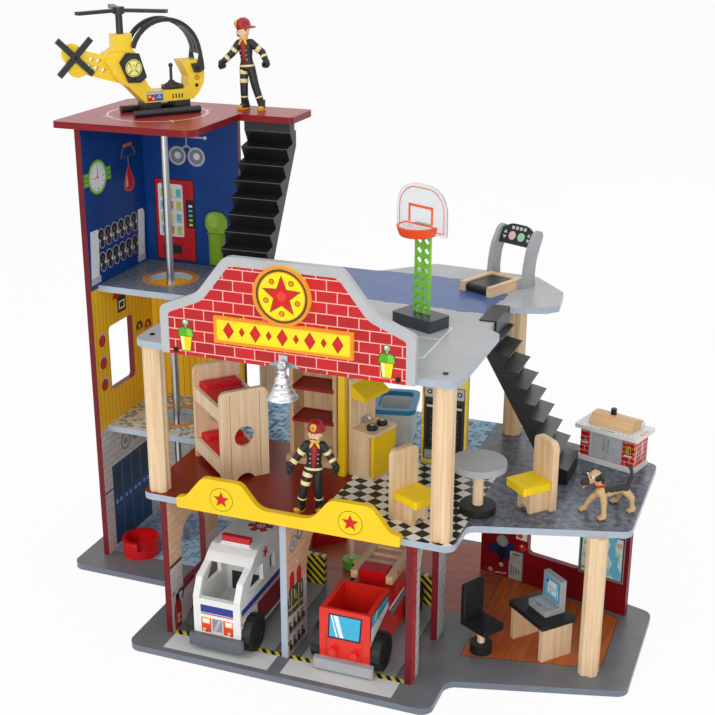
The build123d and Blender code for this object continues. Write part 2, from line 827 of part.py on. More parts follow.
def make_skids(place):
    """Two skids joined by blocks, and the control lever in the cabin."""
    skids = None
    for side in (-1, 1):
        y = side * skid_spacing / 2
        skid = bar((skid_rear, y, skid_radius), (skid_front, y, skid_radius), skid_radius)
        skids = skid if skids is None else skids + skid
    for middle in skid_blocks:
        skids += block(middle - skid_block_half, middle + skid_block_half,
                       -heli_half_width, heli_half_width, skid_radius, heli_bottom)
        skids += block(middle - skid_block_half / 2, middle + skid_block_half / 2,
                       -skid_spacing / 2, skid_spacing / 2, skid_radius, 2 * skid_radius)
    lever = block(lever_left, lever_right, -lever_half_width, lever_half_width,
                  heli_floor, heli_floor + lever_dome)
    lever += upright(lever_x, 0, heli_floor, lever_top, lever_radius)
    lever += Pos(lever_x, 0, lever_top) * Sphere(lever_ball)
    save("helicopter_skids", place * skids, place * lever)


def make_helicopter():
    """The whole helicopter in its place on the roof."""
    place = heli_place()
    make_heli_body(place)
    make_canopy(place)
    make_rotors(place)
    make_skids(place)


# Wheels, used by both vehicles
wheel_radius = 22.5
wheel_width = 10.5
tread_count = 14
tread_depth = 1.4
tread_width = 3.6
rim_radius = 14.0
rim_depth = 1.5
axle_radius = 3.0
axle_collar_radius = 5.0
axle_height = base_top + wheel_radius


def axle_with_wheels(x, y, outer_half):
    """One axle across the vehicle with a treaded wheel at each end."""
    inner = outer_half - wheel_width
    axle = bar((x - outer_half + rim_depth, y, axle_height),
               (x + outer_half - rim_depth, y, axle_height), axle_radius)
    for side in (-1, 1):
        start, stop = x + side * inner, x + side * outer_half
        tyre = bar((start, y, axle_height), (stop, y, axle_height), wheel_radius)
        tyre -= bar((stop - side * rim_depth, y, axle_height),
                    (stop + side * overrun, y, axle_height), rim_radius)
        for index in range(tread_count):
            angle = 360 * index / tread_count
            notch = Pos((start + stop) / 2, y, axle_height) * Rot(angle, 0, 0) * Pos(
                0, 0, wheel_radius) * Box(wheel_width + overrun, tread_width, 2 * tread_depth)
            tyre -= notch
        axle += tyre
    return axle


# Ambulance
ambulance_x = 77.0
ambulance_half = 30.0
ambulance_front = -18.0
ambulance_back = 150.0
ambulance_floor = 20.0
ambulance_nose_bottom = 30.0
ambulance_bonnet = 78.0
ambulance_roof = 121.0
ambulance_roof_front = 34.0
ambulance_wall = 5.0
ambulance_nose_wall = 7.0
cabin_floor = 46.0
cabin_back = 62.0
ambulance_brow_depth = 10.0
ambulance_brow_height = 98.0
ambulance_crown_y = 24.0
ambulance_crown_height = 116.0
ambulance_chin_y = 10.0
cabin_brow_depth = 9.0
cabin_brow_height = 96.0
windscreen_half = 22.0
windscreen_sill = 76.0
windscreen_head_y = 14.0
windscreen_head = 108.0
side_window = [(5.0, 79.0), (46.0, 77.0), (46.0, 99.0), (22.0, 101.0)]
rear_window = [(66.0, 77.0), (80.0, 77.0), (80.0, 98.0), (66.0, 98.0)]
bumper_half = 35.0
bumper_front = -24.0
bumper_back = -18.3
bumper_bottom = 15.0
bumper_top = 31.0
bumper_round = 3.0
light_half = 18.0
light_front = 36.0
light_depth = 9.0
light_height = 11.0
light_base = 1.5
ambulance_axles = [4.5, 128.0]
arch_clearance = 1.5
wheel_half = 40.5
wheel_gap = 0.4


def make_ambulance():
    """Ambulance with a hollow cabin, window openings, bumper, light bar and two axles."""
    x = ambulance_x
    side = [
        (ambulance_front, ambulance_nose_bottom), (ambulance_front, ambulance_bonnet),
        (ambulance_front + ambulance_brow_depth, ambulance_brow_height),
        (windscreen_head_y, windscreen_head),
        (ambulance_crown_y, ambulance_crown_height), (ambulance_roof_front, ambulance_roof),
        (ambulance_back, ambulance_roof), (ambulance_back, ambulance_floor),
        (ambulance_chin_y, ambulance_floor),
    ]
    section = make_face(Polyline(*side, close=True))
    plane = Plane(origin=(x - ambulance_half, 0, 0), x_dir=(0, 1, 0), z_dir=(1, 0, 0))
    body = extrude(plane * section, 2 * ambulance_half)
    inner = [
        (ambulance_front + ambulance_nose_wall, cabin_floor),
        (ambulance_front + ambulance_nose_wall, ambulance_bonnet),
        (ambulance_front + ambulance_nose_wall + cabin_brow_depth, cabin_brow_height),
        (ambulance_roof_front, ambulance_roof - ambulance_wall),
        (cabin_back, ambulance_roof - ambulance_wall), (cabin_back, cabin_floor),
    ]
    width = 2 * (ambulance_half - ambulance_wall)
    inner_plane = Plane(origin=(x - width / 2, 0, 0), x_dir=(0, 1, 0), z_dir=(1, 0, 0))
    body -= extrude(inner_plane * make_face(Polyline(*inner, close=True)), width)
    rear_room = block(x - width / 2, x + width / 2, cabin_back + ambulance_wall,
                      ambulance_back - ambulance_wall, cabin_floor,
                      ambulance_roof - ambulance_wall)
    body -= rear_room
    windscreen = [
        (ambulance_front - overrun, windscreen_sill),
        (ambulance_front + 2 * ambulance_nose_wall, windscreen_sill),
        (windscreen_head_y + 2 * ambulance_nose_wall, windscreen_head - ambulance_nose_wall),
        (windscreen_head_y, windscreen_head), (ambulance_front - overrun, windscreen_head),
    ]
    screen_plane = Plane(origin=(x - windscreen_half, 0, 0), x_dir=(0, 1, 0), z_dir=(1, 0, 0))
    body -= extrude(screen_plane * make_face(Polyline(*windscreen, close=True)),
                    2 * windscreen_half)
    across = Plane(origin=(x - ambulance_half - overrun, 0, 0), x_dir=(0, 1, 0), z_dir=(1, 0, 0))
    for window in (side_window, rear_window):
        body -= extrude(across * make_face(Polyline(*window, close=True)),
                        2 * (ambulance_half + overrun))
    for y in ambulance_axles:
        body -= bar((x - ambulance_half - overrun, y, axle_height),
                    (x + ambulance_half + overrun, y, axle_height), axle_radius + running_fit)
    save("ambulance_body", body)
    bumper = rounded_box(x - bumper_half, x + bumper_half, bumper_front, ambulance_front,
                         bumper_bottom, bumper_top, bumper_round)
    light_left, light_right = x - light_half, x + light_half
    light = block(light_left, light_right, light_front, light_front + light_depth,
                  ambulance_roof + light_base, ambulance_roof + light_height)
    lens_edges = light.edges().filter_by(Axis.X).sort_by(Axis.Z)[-2:]
    light = fillet(lens_edges, light_depth / 3)
    base = block(light_left - light_base, light_right + light_base,
                 light_front - light_base, light_front + light_depth + light_base,
                 ambulance_roof, ambulance_roof + light_base)
    save("ambulance_trim", bumper, light, base)
    names = ("ambulance_front_axle", "ambulance_rear_axle")
    for name, y in zip(names, ambulance_axles):
        save(name, axle_with_wheels(x, y, wheel_half))


# Fire engine
truck_x = 229.0
truck_half = 30.5
truck_front = -2.0
truck_back = 163.0
truck_floor = 16.0
truck_bonnet = 85.0
truck_deck = 62.0
truck_wall = 6.0
truck_cab_back = 66.0
truck_cab_floor = 40.0
truck_edge_drop = 4.0
truck_edge_depth = 2.0
turntable_sink = 1.0
truck_bumper_half = 36.5
truck_bumper_front = -10.0
truck_bumper_bottom = 11.0
truck_bumper_top = 24.0
truck_knob_radius = 4.5
truck_knob_length = 6.0
truck_knob_height = 34.0
truck_knob_offset = 13.0
truck_axles = [20.0, 138.0]
truck_wheel_half = 41.5
turntable_front = 89.0
turntable_depth = 34.0
turntable_half = 16.5
turntable_base_height = 6.0
turntable_top = 90.0
turntable_pin_radius = 6.0
turntable_pin_depth = 14.0
ladder_pivot_y = 108.0
ladder_pivot_z = 83.0
ladder_front = 86.0
ladder_back = 188.0
ladder_bottom = 78.0
ladder_top = 88.0
ladder_inner_half = 18.0
ladder_rail = 8.0
ladder_rungs = [124.0, 142.0, 160.0, 178.0]
rung_radius = 2.5


def make_truck():
    """Fire engine with an open cab, a turntable and a ladder that lifts."""
    x = truck_x
    side = [
        (truck_front, truck_floor), (truck_front, truck_bonnet - truck_edge_drop),
        (truck_front + truck_edge_depth, truck_bonnet), (truck_cab_back, truck_bonnet),
        (truck_cab_back + truck_wall, truck_deck), (truck_back, truck_deck),
        (truck_back, truck_floor),
    ]
    plane = Plane(origin=(x - truck_half, 0, 0), x_dir=(0, 1, 0), z_dir=(1, 0, 0))
    body = extrude(plane * make_face(Polyline(*side, close=True)), 2 * truck_half)
    body -= block(x - truck_half + truck_wall, x + truck_half - truck_wall,
                  truck_front + truck_wall, truck_cab_back - truck_wall / 2,
                  truck_cab_floor, truck_bonnet + overrun)
    middle_y = turntable_front + turntable_depth / 2
    body -= upright(x, middle_y, truck_deck - turntable_pin_depth, truck_deck + overrun,
                    turntable_pin_radius + running_fit)
    for y in truck_axles:
        body -= bar((x - truck_half - overrun, y, axle_height),
                    (x + truck_half + overrun, y, axle_height), axle_radius + running_fit)
    bumper = rounded_box(x - truck_bumper_half, x + truck_bumper_half, truck_bumper_front,
                         truck_front, truck_bumper_bottom, truck_bumper_top, bumper_round)
    knobs = [bar((x + side * truck_knob_offset, truck_front, truck_knob_height),
                 (x + side * truck_knob_offset, truck_front - truck_knob_length,
                  truck_knob_height), truck_knob_radius) for side in (-1, 1)]
    save("truck_body", body, bumper, *knobs)
    for name, y in zip(("truck_front_axle", "truck_rear_axle"), truck_axles):
        save(name, axle_with_wheels(x, y, truck_wheel_half))
    table = block(x - turntable_half, x + turntable_half, turntable_front,
                  turntable_front + turntable_depth, truck_deck + seat_gap, turntable_top)
    ramp = [(turntable_front + turntable_depth / 2, turntable_top + overrun),
            (turntable_front + turntable_depth + overrun, turntable_top + overrun),
            (turntable_front + turntable_depth + overrun, ladder_bottom)]
    ramp_plane = Plane(origin=(x - turntable_half - overrun, 0, 0), x_dir=(0, 1, 0),
                       z_dir=(1, 0, 0))
    table -= extrude(ramp_plane * make_face(Polyline(*ramp, close=True)),
                     2 * (turntable_half + overrun))
    table += upright(x, middle_y, truck_deck - turntable_pin_depth + seat_gap, truck_deck + turntable_sink,
                     turntable_pin_radius)
    reach = ladder_inner_half + ladder_rail
    table += bar((x - reach, ladder_pivot_y, ladder_pivot_z),
                 (x + reach, ladder_pivot_y, ladder_pivot_z), axle_radius)
    save("truck_turntable", table)
    ladder = None
    for side in (-1, 1):
        near, far = x + side * ladder_inner_half, x + side * reach
        rail = block(min(near, far), max(near, far), ladder_front, ladder_back,
                     ladder_bottom, ladder_top)
        ladder = rail if ladder is None else ladder + rail
    middle_z = (ladder_bottom + ladder_top) / 2
    for y in ladder_rungs:
        ladder += bar((x - ladder_inner_half - overrun, y, middle_z),
                      (x + ladder_inner_half + overrun, y, middle_z), rung_radius)
    ladder -= bar((x - reach - overrun, ladder_pivot_y, ladder_pivot_z),
                  (x + reach + overrun, ladder_pivot_y, ladder_pivot_z),
                  axle_radius + running_fit)
    save("truck_ladder", ladder)


# Bunk bed, made with X along its length, standing on the main floor
bunk_x = 54.0
bunk_y = 54.0
bunk_turn = 138.0
bunk_length = 90.0
bunk_width = 60.0
bunk_far_height = 0.65 * main_headroom
bunk_near_drop = 6.0
bunk_near_height = bunk_far_height - bunk_near_drop
bunk_panel = 6.0
bunk_top_round = 9.0
bunk_hole_radius = 13.0
bunk_hole_height = 53.5
bunk_foot_arch = 13.0
bunk_rail_thickness = 5.0
bunk_rail_height = 17.0
bunk_lower_tier = 8.0
bunk_tiers = [bunk_lower_tier, 0.636 * bunk_far_height]
bunk_slat = 3.0
bunk_slat_lift = 5.0
mattress_gap = 0.4
mattress_height = 12.0
mattress_round = 3.0
pillow_depth = 17.0
pillow_height = 6.0
pillow_inset = 5.0


def end_panel(left, height):
    """End panel with a rounded top, a round hole and an arch between its feet."""
    panel = side_board([
        (-bunk_width, 0, 0), (0, 0, 0), (0, height, bunk_top_round),
        (-bunk_width, height, bunk_top_round),
    ], left, bunk_panel)
    middle = -bunk_width / 2
    for z, radius in ((bunk_hole_height, bunk_hole_radius), (-bunk_foot_arch / 2, bunk_foot_arch)):
        panel -= bar((left - overrun, middle, z), (left + bunk_panel + overrun, middle, z), radius)
    return panel


def cushion(x0, x1, y0, y1, z0, z1, rounding):
    """A soft block with rounded edges."""
    solid = block(x0, x1, y0, y1, z0, z1)
    return fillet(solid.edges(), rounding)


def make_bunk():
    """Bunk bed with two tiers, its mattresses and pillows."""
    place = Pos(bunk_x, bunk_y, storey_one) * Rot(0, 0, bunk_turn)
    near = end_panel(0, bunk_near_height)
    far = end_panel(bunk_length - bunk_panel, bunk_far_height)
    frame = near + far
    soft = []
    inner_left, inner_right = bunk_panel, bunk_length - bunk_panel
    inner_front = -bunk_width + bunk_rail_thickness
    inner_back = -bunk_rail_thickness
    for tier in bunk_tiers:
        for y in (-bunk_width, inner_back):
            frame += block(inner_left, inner_right, y, y + bunk_rail_thickness,
                           tier, tier + bunk_rail_height)
        lift = tier + bunk_slat_lift
        frame += block(inner_left, inner_right, inner_front, inner_back, lift - bunk_slat, lift)
        lying = [inner_left + mattress_gap, inner_right - mattress_gap,
                 inner_front + mattress_gap, inner_back - mattress_gap]
        soft.append(cushion(*lying, lift, lift + mattress_height, mattress_round))
        rest = lift + mattress_height
        soft.append(cushion(inner_right - mattress_gap - pillow_depth, inner_right - mattress_gap,
                            inner_front + pillow_inset, inner_back - pillow_inset,
                            rest, rest + pillow_height, mattress_round - mattress_gap))
    save("bunk_frame", place * frame)
    save("bunk_mattresses", *[place * piece for piece in soft])


# Shelf unit
shelf_left = 99.0
shelf_right = 160.0
shelf_front = 150.0
shelf_depth = 38.0
shelf_height = 0.85 * main_headroom
shelf_side = 5.0
shelf_heights = [0.27 * main_headroom, 0.5 * main_headroom]
shelf_thickness = 4.0
bench_front = 137.0
bench_height = 8.0
bench_right = 166.0


def make_shelf_unit():
    """Open locker with two shelves over a low bench."""
    back = shelf_front + shelf_depth
    top = storey_one + shelf_height
    unit = block(shelf_left, shelf_left + shelf_side, shelf_front, back, storey_one, top)
    unit += block(shelf_right - shelf_side, shelf_right, shelf_front, back, storey_one, top)
    unit += block(shelf_left, shelf_right, back - shelf_side, back, storey_one, top)
    unit += block(shelf_left, shelf_right, shelf_front, back, top - shelf_side, top)
    for height in shelf_heights:
        unit += block(shelf_left, shelf_right, shelf_front, back,
                      storey_one + height, storey_one + height + shelf_thickness)
    unit += block(shelf_left, bench_right, bench_front, back, storey_one,
                  storey_one + bench_height)
    save("shelf_unit", unit)


# Kitchen cabinet, made with X along its length and its door on the -Y side
kitchen_x = 183.5
kitchen_y = 130.0
kitchen_turn = 72.5
kitchen_length = 46.0
kitchen_depth = 30.0
kitchen_height = 60.0
kitchen_board = 4.0
kitchen_back_height = 0.67 * main_headroom
counter_overhang = 6.5
door_thickness = 5.0
door_axis_inset = 3.5
door_pin_radius = 1.2
door_pin_length = 3.0
door_gap = 0.4
knob_radius = 2.5
knob_length = 4.0
burner_radius = 6.0
burner_height = 1.6
hood_drop = 24.0
hood_crown_drop = 7.0
hood_bottom = kitchen_back_height - hood_drop
hood_top = kitchen_back_height - hood_crown_drop
hood_reach = 24.0
burner_shares = [0.3, 0.72]  # where the burners sit along the counter


def kitchen_place():
    """Where the kitchen stands on the main floor."""
    return Pos(kitchen_x, kitchen_y, storey_one) * Rot(0, 0, kitchen_turn)


def make_kitchen():
    """Kitchen cabinet with a tall back, a hood, two burners, a tap and a hinged door."""
    place = kitchen_place()
    front = -kitchen_depth
    lip = front - counter_overhang
    cabinet = block(0, kitchen_length, front, 0, 0, kitchen_height)
    cabinet -= block(kitchen_board, kitchen_length - kitchen_board, front - overrun,
                     -2 * kitchen_board, kitchen_board, kitchen_height - kitchen_board)
    cabinet += block(0, kitchen_length, lip, front, 0, kitchen_board)
    cabinet += block(0, kitchen_length, lip, front, kitchen_height - kitchen_board, kitchen_height)
    cabinet += block(0, kitchen_length, -kitchen_board, 0, kitchen_height, kitchen_back_height)
    hood_side = [(-kitchen_board, hood_bottom), (-hood_reach, hood_bottom),
                 (-hood_reach, hood_bottom + kitchen_board), (-kitchen_board, hood_top)]
    cabinet += extrude(Plane(origin=(0, 0, 0), x_dir=(0, 1, 0), z_dir=(1, 0, 0))
                       * make_face(Polyline(*hood_side, close=True)), kitchen_length)
    for share in burner_shares:
        cabinet += upright(kitchen_length * share, front + burner_radius, kitchen_height,
                           kitchen_height + burner_height, burner_radius)
    tap_x, tap_y = kitchen_length / 2, -kitchen_board - knob_radius
    cabinet += upright(tap_x, tap_y, kitchen_height, kitchen_height + 2 * knob_length,
                       door_pin_radius)
    axis_y = front - door_gap - door_thickness / 2
    low, high = kitchen_board, kitchen_height - kitchen_board
    for z0, z1 in ((low, low + door_pin_length), (high - door_pin_length, high)):
        cabinet += upright(door_axis_inset, axis_y, z0, z1, door_pin_radius)
    save("kitchen_cabinet", place * cabinet)
    half = door_thickness / 2
    door = block(door_axis_inset, kitchen_length - door_gap, axis_y - half, axis_y + half,
                 low + door_gap, high - door_gap)
    door += upright(door_axis_inset, axis_y, low + door_gap, high - door_gap, half)
    for z0, z1 in ((low, low + door_pin_length + door_gap),
                   (high - door_pin_length - door_gap, high)):
        door -= upright(door_axis_inset, axis_y, z0, z1, door_pin_radius + running_fit)
    knob_x = kitchen_length - door_thickness
    middle = kitchen_height / 2
    door += bar((knob_x, axis_y - half, middle), (knob_x, axis_y - half - knob_length, middle),
                knob_radius)
    save("kitchen_door", place * door)


# Bathtub
tub_x = 197.0
tub_y = 262.0
tub_turn = 12.0
tub_width = 56.0
tub_length = 74.0
tub_height = 48.0
tub_rim_height = 6.0
tub_rim_overhang = 4.0
tub_rim_width = 8.0
tub_floor = 8.0
tub_round = 12.0


def make_bathtub():
    """Free-standing bathtub with a wide rim."""
    place = Pos(tub_x, tub_y, storey_one) * Rot(0, 0, tub_turn)
    half_x, half_y = tub_width / 2, tub_length / 2
    foot_x, foot_y = half_x - tub_rim_overhang, half_y - tub_rim_overhang
    rim_foot = tub_height - tub_rim_height
    tub = rounded_box(-foot_x, foot_x, -foot_y, foot_y, 0, rim_foot, tub_round)
    tub += rounded_box(-half_x, half_x, -half_y, half_y, rim_foot, tub_height, tub_round)
    in_x, in_y = half_x - tub_rim_width, half_y - tub_rim_width
    tub -= rounded_box(-in_x, in_x, -in_y, in_y, tub_floor, tub_height + overrun,
                       tub_round - tub_rim_overhang)
    save("bathtub", place * tub)


# Table and chairs on the main floor
table_x = 352.7
table_y = 92.5
table_height = 62.0
table_base_radius = 20.5
table_base_height = 9.0
table_stem_radius = 6.0
table_top_radius = 31.0
table_top_thickness = 8.0
table_edge_round = 2.0
chair_one_x = 265.0
chair_one_y = 40.0
chair_one_turn = -30.0
chair_two_x = 407.7
chair_two_y = 148.9
chair_two_turn = 229.0
chair_places = [(chair_one_x, chair_one_y, chair_one_turn),
                (chair_two_x, chair_two_y, chair_two_turn)]
chair_width = 36.0
chair_back_height = 83.0
chair_back_thickness = 8.0
chair_back_round = 8.0
chair_seat_depth = 37.0
chair_seat_height = 36.0
chair_seat_thickness = 9.0
chair_leg_depth = 24.0
chair_leg_inset = 6.0
chair_arch_radius = 7.0


def make_table():
    """Round table on one leg, and two chairs."""
    top_foot = table_height - table_top_thickness
    table = upright(table_x, table_y, storey_one, storey_one + table_base_height,
                    table_base_radius)
    table += upright(table_x, table_y, storey_one, storey_one + top_foot, table_stem_radius)
    table += upright(table_x, table_y, storey_one + top_foot, storey_one + table_height,
                     table_top_radius)
    save("dining_table", table)
    chairs = []
    for x, y, turn in chair_places:
        back = side_board([
            (0, 0, 0), (chair_width, 0, 0), (chair_width, chair_back_height, chair_back_round),
            (0, chair_back_height, chair_back_round),
        ], 0, chair_back_thickness)
        reach = chair_back_thickness + chair_seat_depth
        seat = rounded_box(chair_back_thickness, reach, 0, chair_width,
                           chair_seat_height - chair_seat_thickness, chair_seat_height,
                           table_edge_round)
        leg = block(chair_back_thickness, chair_back_thickness + chair_leg_depth,
                    chair_leg_inset, chair_width - chair_leg_inset,
                    0, chair_seat_height - chair_seat_thickness)
        leg -= bar((chair_back_thickness, chair_width / 2, 0),
                   (reach, chair_width / 2, 0), chair_arch_radius)
        chairs.append(Pos(x, y, storey_one) * Rot(0, 0, turn) * (back + seat + leg))
    save("dining_chairs", *chairs)


# Office chair and desk on the base
office_chair_x = 362.0
office_chair_y = 96.0
office_chair_turn = -30.0
office_base_radius = 13.0
office_base_height = 12.0
office_stem_radius = 4.5
office_seat_under = 33.0
office_seat_top = 40.0
office_seat_half = 16.0
office_seat_back = -20.0
office_seat_front = 21.0
office_back_height = 84.0
office_back_thickness = 7.0
desk_x = 387.0
desk_y = 137.0
desk_turn = -41.0
desk_length = 62.0
desk_depth = 42.0
desk_under = 43.0
desk_top_thickness = 6.0
desk_overhang = 3.0
desk_leg = 6.0
laptop_left = 16.0
laptop_width = 34.0
laptop_front = 12.0
laptop_back = 40.0
laptop_base_height = 8.0
laptop_screen_thickness = 8.0
laptop_height = 41.0


def make_office():
    """Office chair, and a desk with a laptop computer."""
    place = Pos(office_chair_x, office_chair_y, base_top) * Rot(0, 0, office_chair_turn)
    chair = upright(0, 0, 0, office_base_height, office_base_radius)
    chair += upright(0, 0, 0, office_seat_under, office_stem_radius)
    chair += rounded_box(office_seat_back, office_seat_front, -office_seat_half, office_seat_half,
                         office_seat_under, office_seat_top, table_edge_round)
    chair += rounded_box(office_seat_back, office_seat_back + office_back_thickness,
                         -office_seat_half, office_seat_half, office_seat_under,
                         office_back_height, table_edge_round)
    save("office_chair", place * chair)
    place = Pos(desk_x, desk_y, base_top) * Rot(0, 0, desk_turn)
    desk = rounded_box(-desk_overhang, desk_length + desk_overhang, -desk_overhang,
                       desk_depth + desk_overhang, desk_under, desk_under + desk_top_thickness,
                       table_edge_round)
    for x in (0, desk_length - desk_leg):
        desk += block(x, x + desk_leg, 0, desk_depth, 0, desk_under)
    surface = desk_under + desk_top_thickness
    laptop = rounded_box(laptop_left, laptop_left + laptop_width, laptop_front, laptop_back,
                         surface, surface + laptop_base_height, cut_radius)
    laptop += rounded_box(laptop_left, laptop_left + laptop_width,
                          laptop_back - laptop_screen_thickness, laptop_back,
                          surface, surface + laptop_height, cut_radius)
    save("desk", place * desk, place * laptop)


# Outdoor grill on the terrace, made with X along its front
grill_x = 430.6
grill_y = 275.0
grill_turn = -17.6
grill_length = 71.7
grill_depth = 35.0
grill_cabinet_height = 42.0
grill_plinth_height = 6.0
grill_plinth_step = 2.0
counter_step = 6.0
counter_height = 47.0
tray_inset = 14.0
tray_depth = 4.0
lid_left = 8.0
lid_right = 64.0
lid_front = 3.0
lid_axis_depth = 30.0
lid_axis_height = 5.3
lid_rear_radius = 5.0
lid_lift = 0.3
lid_back_rise = 10.3
lid_top_rise = 13.3
lid_front_rise = 5.0
lid_top_back = 24.0
lid_top_front = 11.0
lid_profile = [(lid_front, lid_lift), (lid_axis_depth, lid_lift), (lid_axis_depth, lid_back_rise),
               (lid_top_back, lid_top_rise), (lid_top_front, lid_top_rise),
               (lid_front, lid_front_rise)]
lug_width = 3.0
lid_knob_radius = 3.5
lid_knob_height = 8.0


def make_grill():
    """Outdoor grill: cabinet with a counter, and a wooden lid on a pin at its back edge."""
    place = Pos(grill_x, grill_y, storey_one) * Rot(0, 0, grill_turn)
    cabinet = block(0, grill_length, 0, grill_depth, 0, grill_cabinet_height)
    cabinet += block(-grill_plinth_step, grill_length + grill_plinth_step, -grill_plinth_step,
                     grill_depth, 0, grill_plinth_height)
    cabinet += rounded_box(-counter_step, grill_length + counter_step, -counter_step,
                           grill_depth + counter_step, grill_cabinet_height, counter_height,
                           table_edge_round)
    cabinet -= block(tray_inset, grill_length - tray_inset, lid_profile[0][0] + lug_width,
                     lid_axis_depth - 2 * lid_rear_radius, counter_height - tray_depth,
                     counter_height + overrun)
    axis_z = counter_height + lid_axis_height
    for start in (lid_left - lug_width - door_gap, lid_right + door_gap):
        cabinet += block(start, start + lug_width, lid_axis_depth - lid_rear_radius / 2,
                         lid_axis_depth + lid_rear_radius / 2, counter_height,
                         axis_z + lid_rear_radius / 2)
    cabinet += bar((lid_left - lug_width, lid_axis_depth, axis_z),
                   (lid_right + lug_width, lid_axis_depth, axis_z), door_pin_radius)
    save("grill_cabinet", place * cabinet)
    profile = [(y, counter_height + z) for y, z in lid_profile]
    lid = side_board([(y, z, 0) for y, z in profile], lid_left, lid_right - lid_left)
    lid += bar((lid_left, lid_axis_depth, axis_z), (lid_right, lid_axis_depth, axis_z),
               lid_rear_radius)
    lid -= bar((lid_left - overrun, lid_axis_depth, axis_z),
               (lid_right + overrun, lid_axis_depth, axis_z), door_pin_radius + running_fit)
    top = max(z for y, z in profile)
    lid += upright((lid_left + lid_right) / 2 - lid_front, (lid_profile[3][0] + lid_profile[4][0]) / 2,
                   top - overrun, top + lid_knob_height, lid_knob_radius)
    save("grill_lid", place * lid)


# Hoop on the court deck, made with X along its base
hoop_x = 261.6
hoop_y = 154.0
hoop_turn = -24.0
hoop_base_half = 29.0
hoop_base_depth_half = 17.0
hoop_base_height = 14.0
column_half = 11.0
column_thickness = 4.0
column_height = 104.0
column_hole = 7.5
column_hole_rows = 8
ring_under = 107.0
ring_top = 118.0
ring_radius = 24.0
ring_foot_radius = 20.0
ring_reach = 6.0
ring_rim = 3.0
ring_pocket = 2.0
backboard_half = 37.0
backboard_under = 108.0
backboard_top = 163.0
backboard_round = 28.0
backboard_thickness = 2.0


def make_hoop():
    """Play hoop: base, lattice column, board and ring."""
    place = Pos(hoop_x, hoop_y, storey_two) * Rot(0, 0, hoop_turn)
    base = rounded_box(-hoop_base_half, hoop_base_half, -hoop_base_depth_half,
                       hoop_base_depth_half, 0, hoop_base_height, table_edge_round)
    column = block(-column_half, column_half, 0, column_thickness,
                   hoop_base_height, backboard_under + column_half)
    pitch = (column_height - hoop_base_height) / column_hole_rows
    for row in range(column_hole_rows):
        z = hoop_base_height + pitch * (row + 0.5)
        for side in (-1, 1):
            hole = Box(column_hole, 4 * column_thickness, column_hole)
            column -= Pos(side * column_half / 2, 0, z) * Rot(0, 45, 0) * hole
    save("hoop_stand", place * base, place * column)
    board_solid = front_board([
        (-backboard_half, backboard_under, cut_radius),
        (backboard_half, backboard_under, cut_radius),
        (backboard_half, backboard_top, backboard_round),
        (-backboard_half, backboard_top, backboard_round),
    ], -backboard_thickness, backboard_thickness)
    # The ring is a shallow bowl with a round front and a straight back against the board.
    ring_y = -backboard_thickness - ring_reach
    ring = Pos(0, ring_y, (ring_under + ring_top) / 2) * Cone(
        ring_foot_radius, ring_radius, ring_top - ring_under)
    ring += front_board([
        (-ring_foot_radius, ring_under, 0), (ring_foot_radius, ring_under, 0),
        (ring_radius, ring_top, 0), (-ring_radius, ring_top, 0),
    ], ring_y, ring_reach)
    pocket = ring_radius - ring_rim
    ring -= upright(0, ring_y, ring_top - ring_pocket, ring_top + overrun, pocket)
    ring -= block(-pocket, pocket, ring_y, -backboard_thickness,
                  ring_top - ring_pocket, ring_top + overrun)
    ring &= block(-backboard_half, backboard_half, -backboard_half * 2, -backboard_thickness,
                  ring_under, ring_top)
    save("hoop_backboard", place * (board_solid + ring))


# Treadmill on the rear deck, made with X across and Y along the belt
treadmill_x = 265.0
treadmill_y = 300.0
treadmill_turn = -24.0
treadmill_width = 49.0
treadmill_length = 60.0
treadmill_rail = 7.0
treadmill_height = 12.0
belt_gap = 0.4
belt_lift = 3.0
belt_top = 10.0
belt_nose_round = 4.5
cross_rail = 5.0
upright_thickness = 6.0
upright_outline = [
    (58.0, 0.0, 0.0), (80.0, 0.0, 0.0), (78.5, 17.0, 20.0), (81.0, 34.0, 30.0),
    (86.5, 48.0, 30.0), (92.0, 61.0, 3.0), (89.5, 67.5, 3.0), (83.5, 69.0, 4.0),
    (76.0, 65.0, 8.0), (65.5, 47.0, 30.0), (61.0, 28.0, 30.0),
]
console_front = 73.4
console_bottom = 48.0
console_side = 19.0
console_crown = 26.0
console_crown_inset = 12.0
console_crown_round = 16.0
console_thickness = 5.0
console_lean = -23.0


def make_treadmill():
    """Treadmill with wooden rails, a belt, two uprights and a console."""
    place = Pos(treadmill_x, treadmill_y, storey_two) * Rot(0, 0, treadmill_turn)
    rails = [place * block(treadmill_rail, treadmill_width - treadmill_rail,
                           treadmill_length - cross_rail, treadmill_length,
                           0, treadmill_height)]
    for x, upright_x in ((0, -upright_thickness),
                         (treadmill_width - treadmill_rail, treadmill_width)):
        rails.append(place * block(x, x + treadmill_rail, 0, treadmill_length,
                                   0, treadmill_height))
        rails.append(place * side_board(upright_outline, upright_x, upright_thickness))
    save("treadmill_frame", *rails)
    belt = side_board([
        (belt_lift, 0, 0), (treadmill_length - cross_rail - belt_gap, 0, 0),
        (treadmill_length - cross_rail - belt_gap, belt_top, cut_radius),
        (belt_lift, belt_top, belt_nose_round),
    ], treadmill_rail + belt_gap, treadmill_width - 2 * (treadmill_rail + belt_gap))
    save("treadmill_belt", place * belt)
    console_right = treadmill_width - belt_gap
    console = Pos(0, console_front, console_bottom) * Rot(console_lean, 0, 0) * front_board([
        (belt_gap, 0, cut_radius), (console_right, 0, cut_radius),
        (console_right, console_side, cut_radius),
        (console_right - console_crown_inset, console_crown, console_crown_round),
        (belt_gap + console_crown_inset, console_crown, console_crown_round),
        (belt_gap, console_side, cut_radius),
    ], 0, console_thickness)
    save("treadmill_console", place * console)


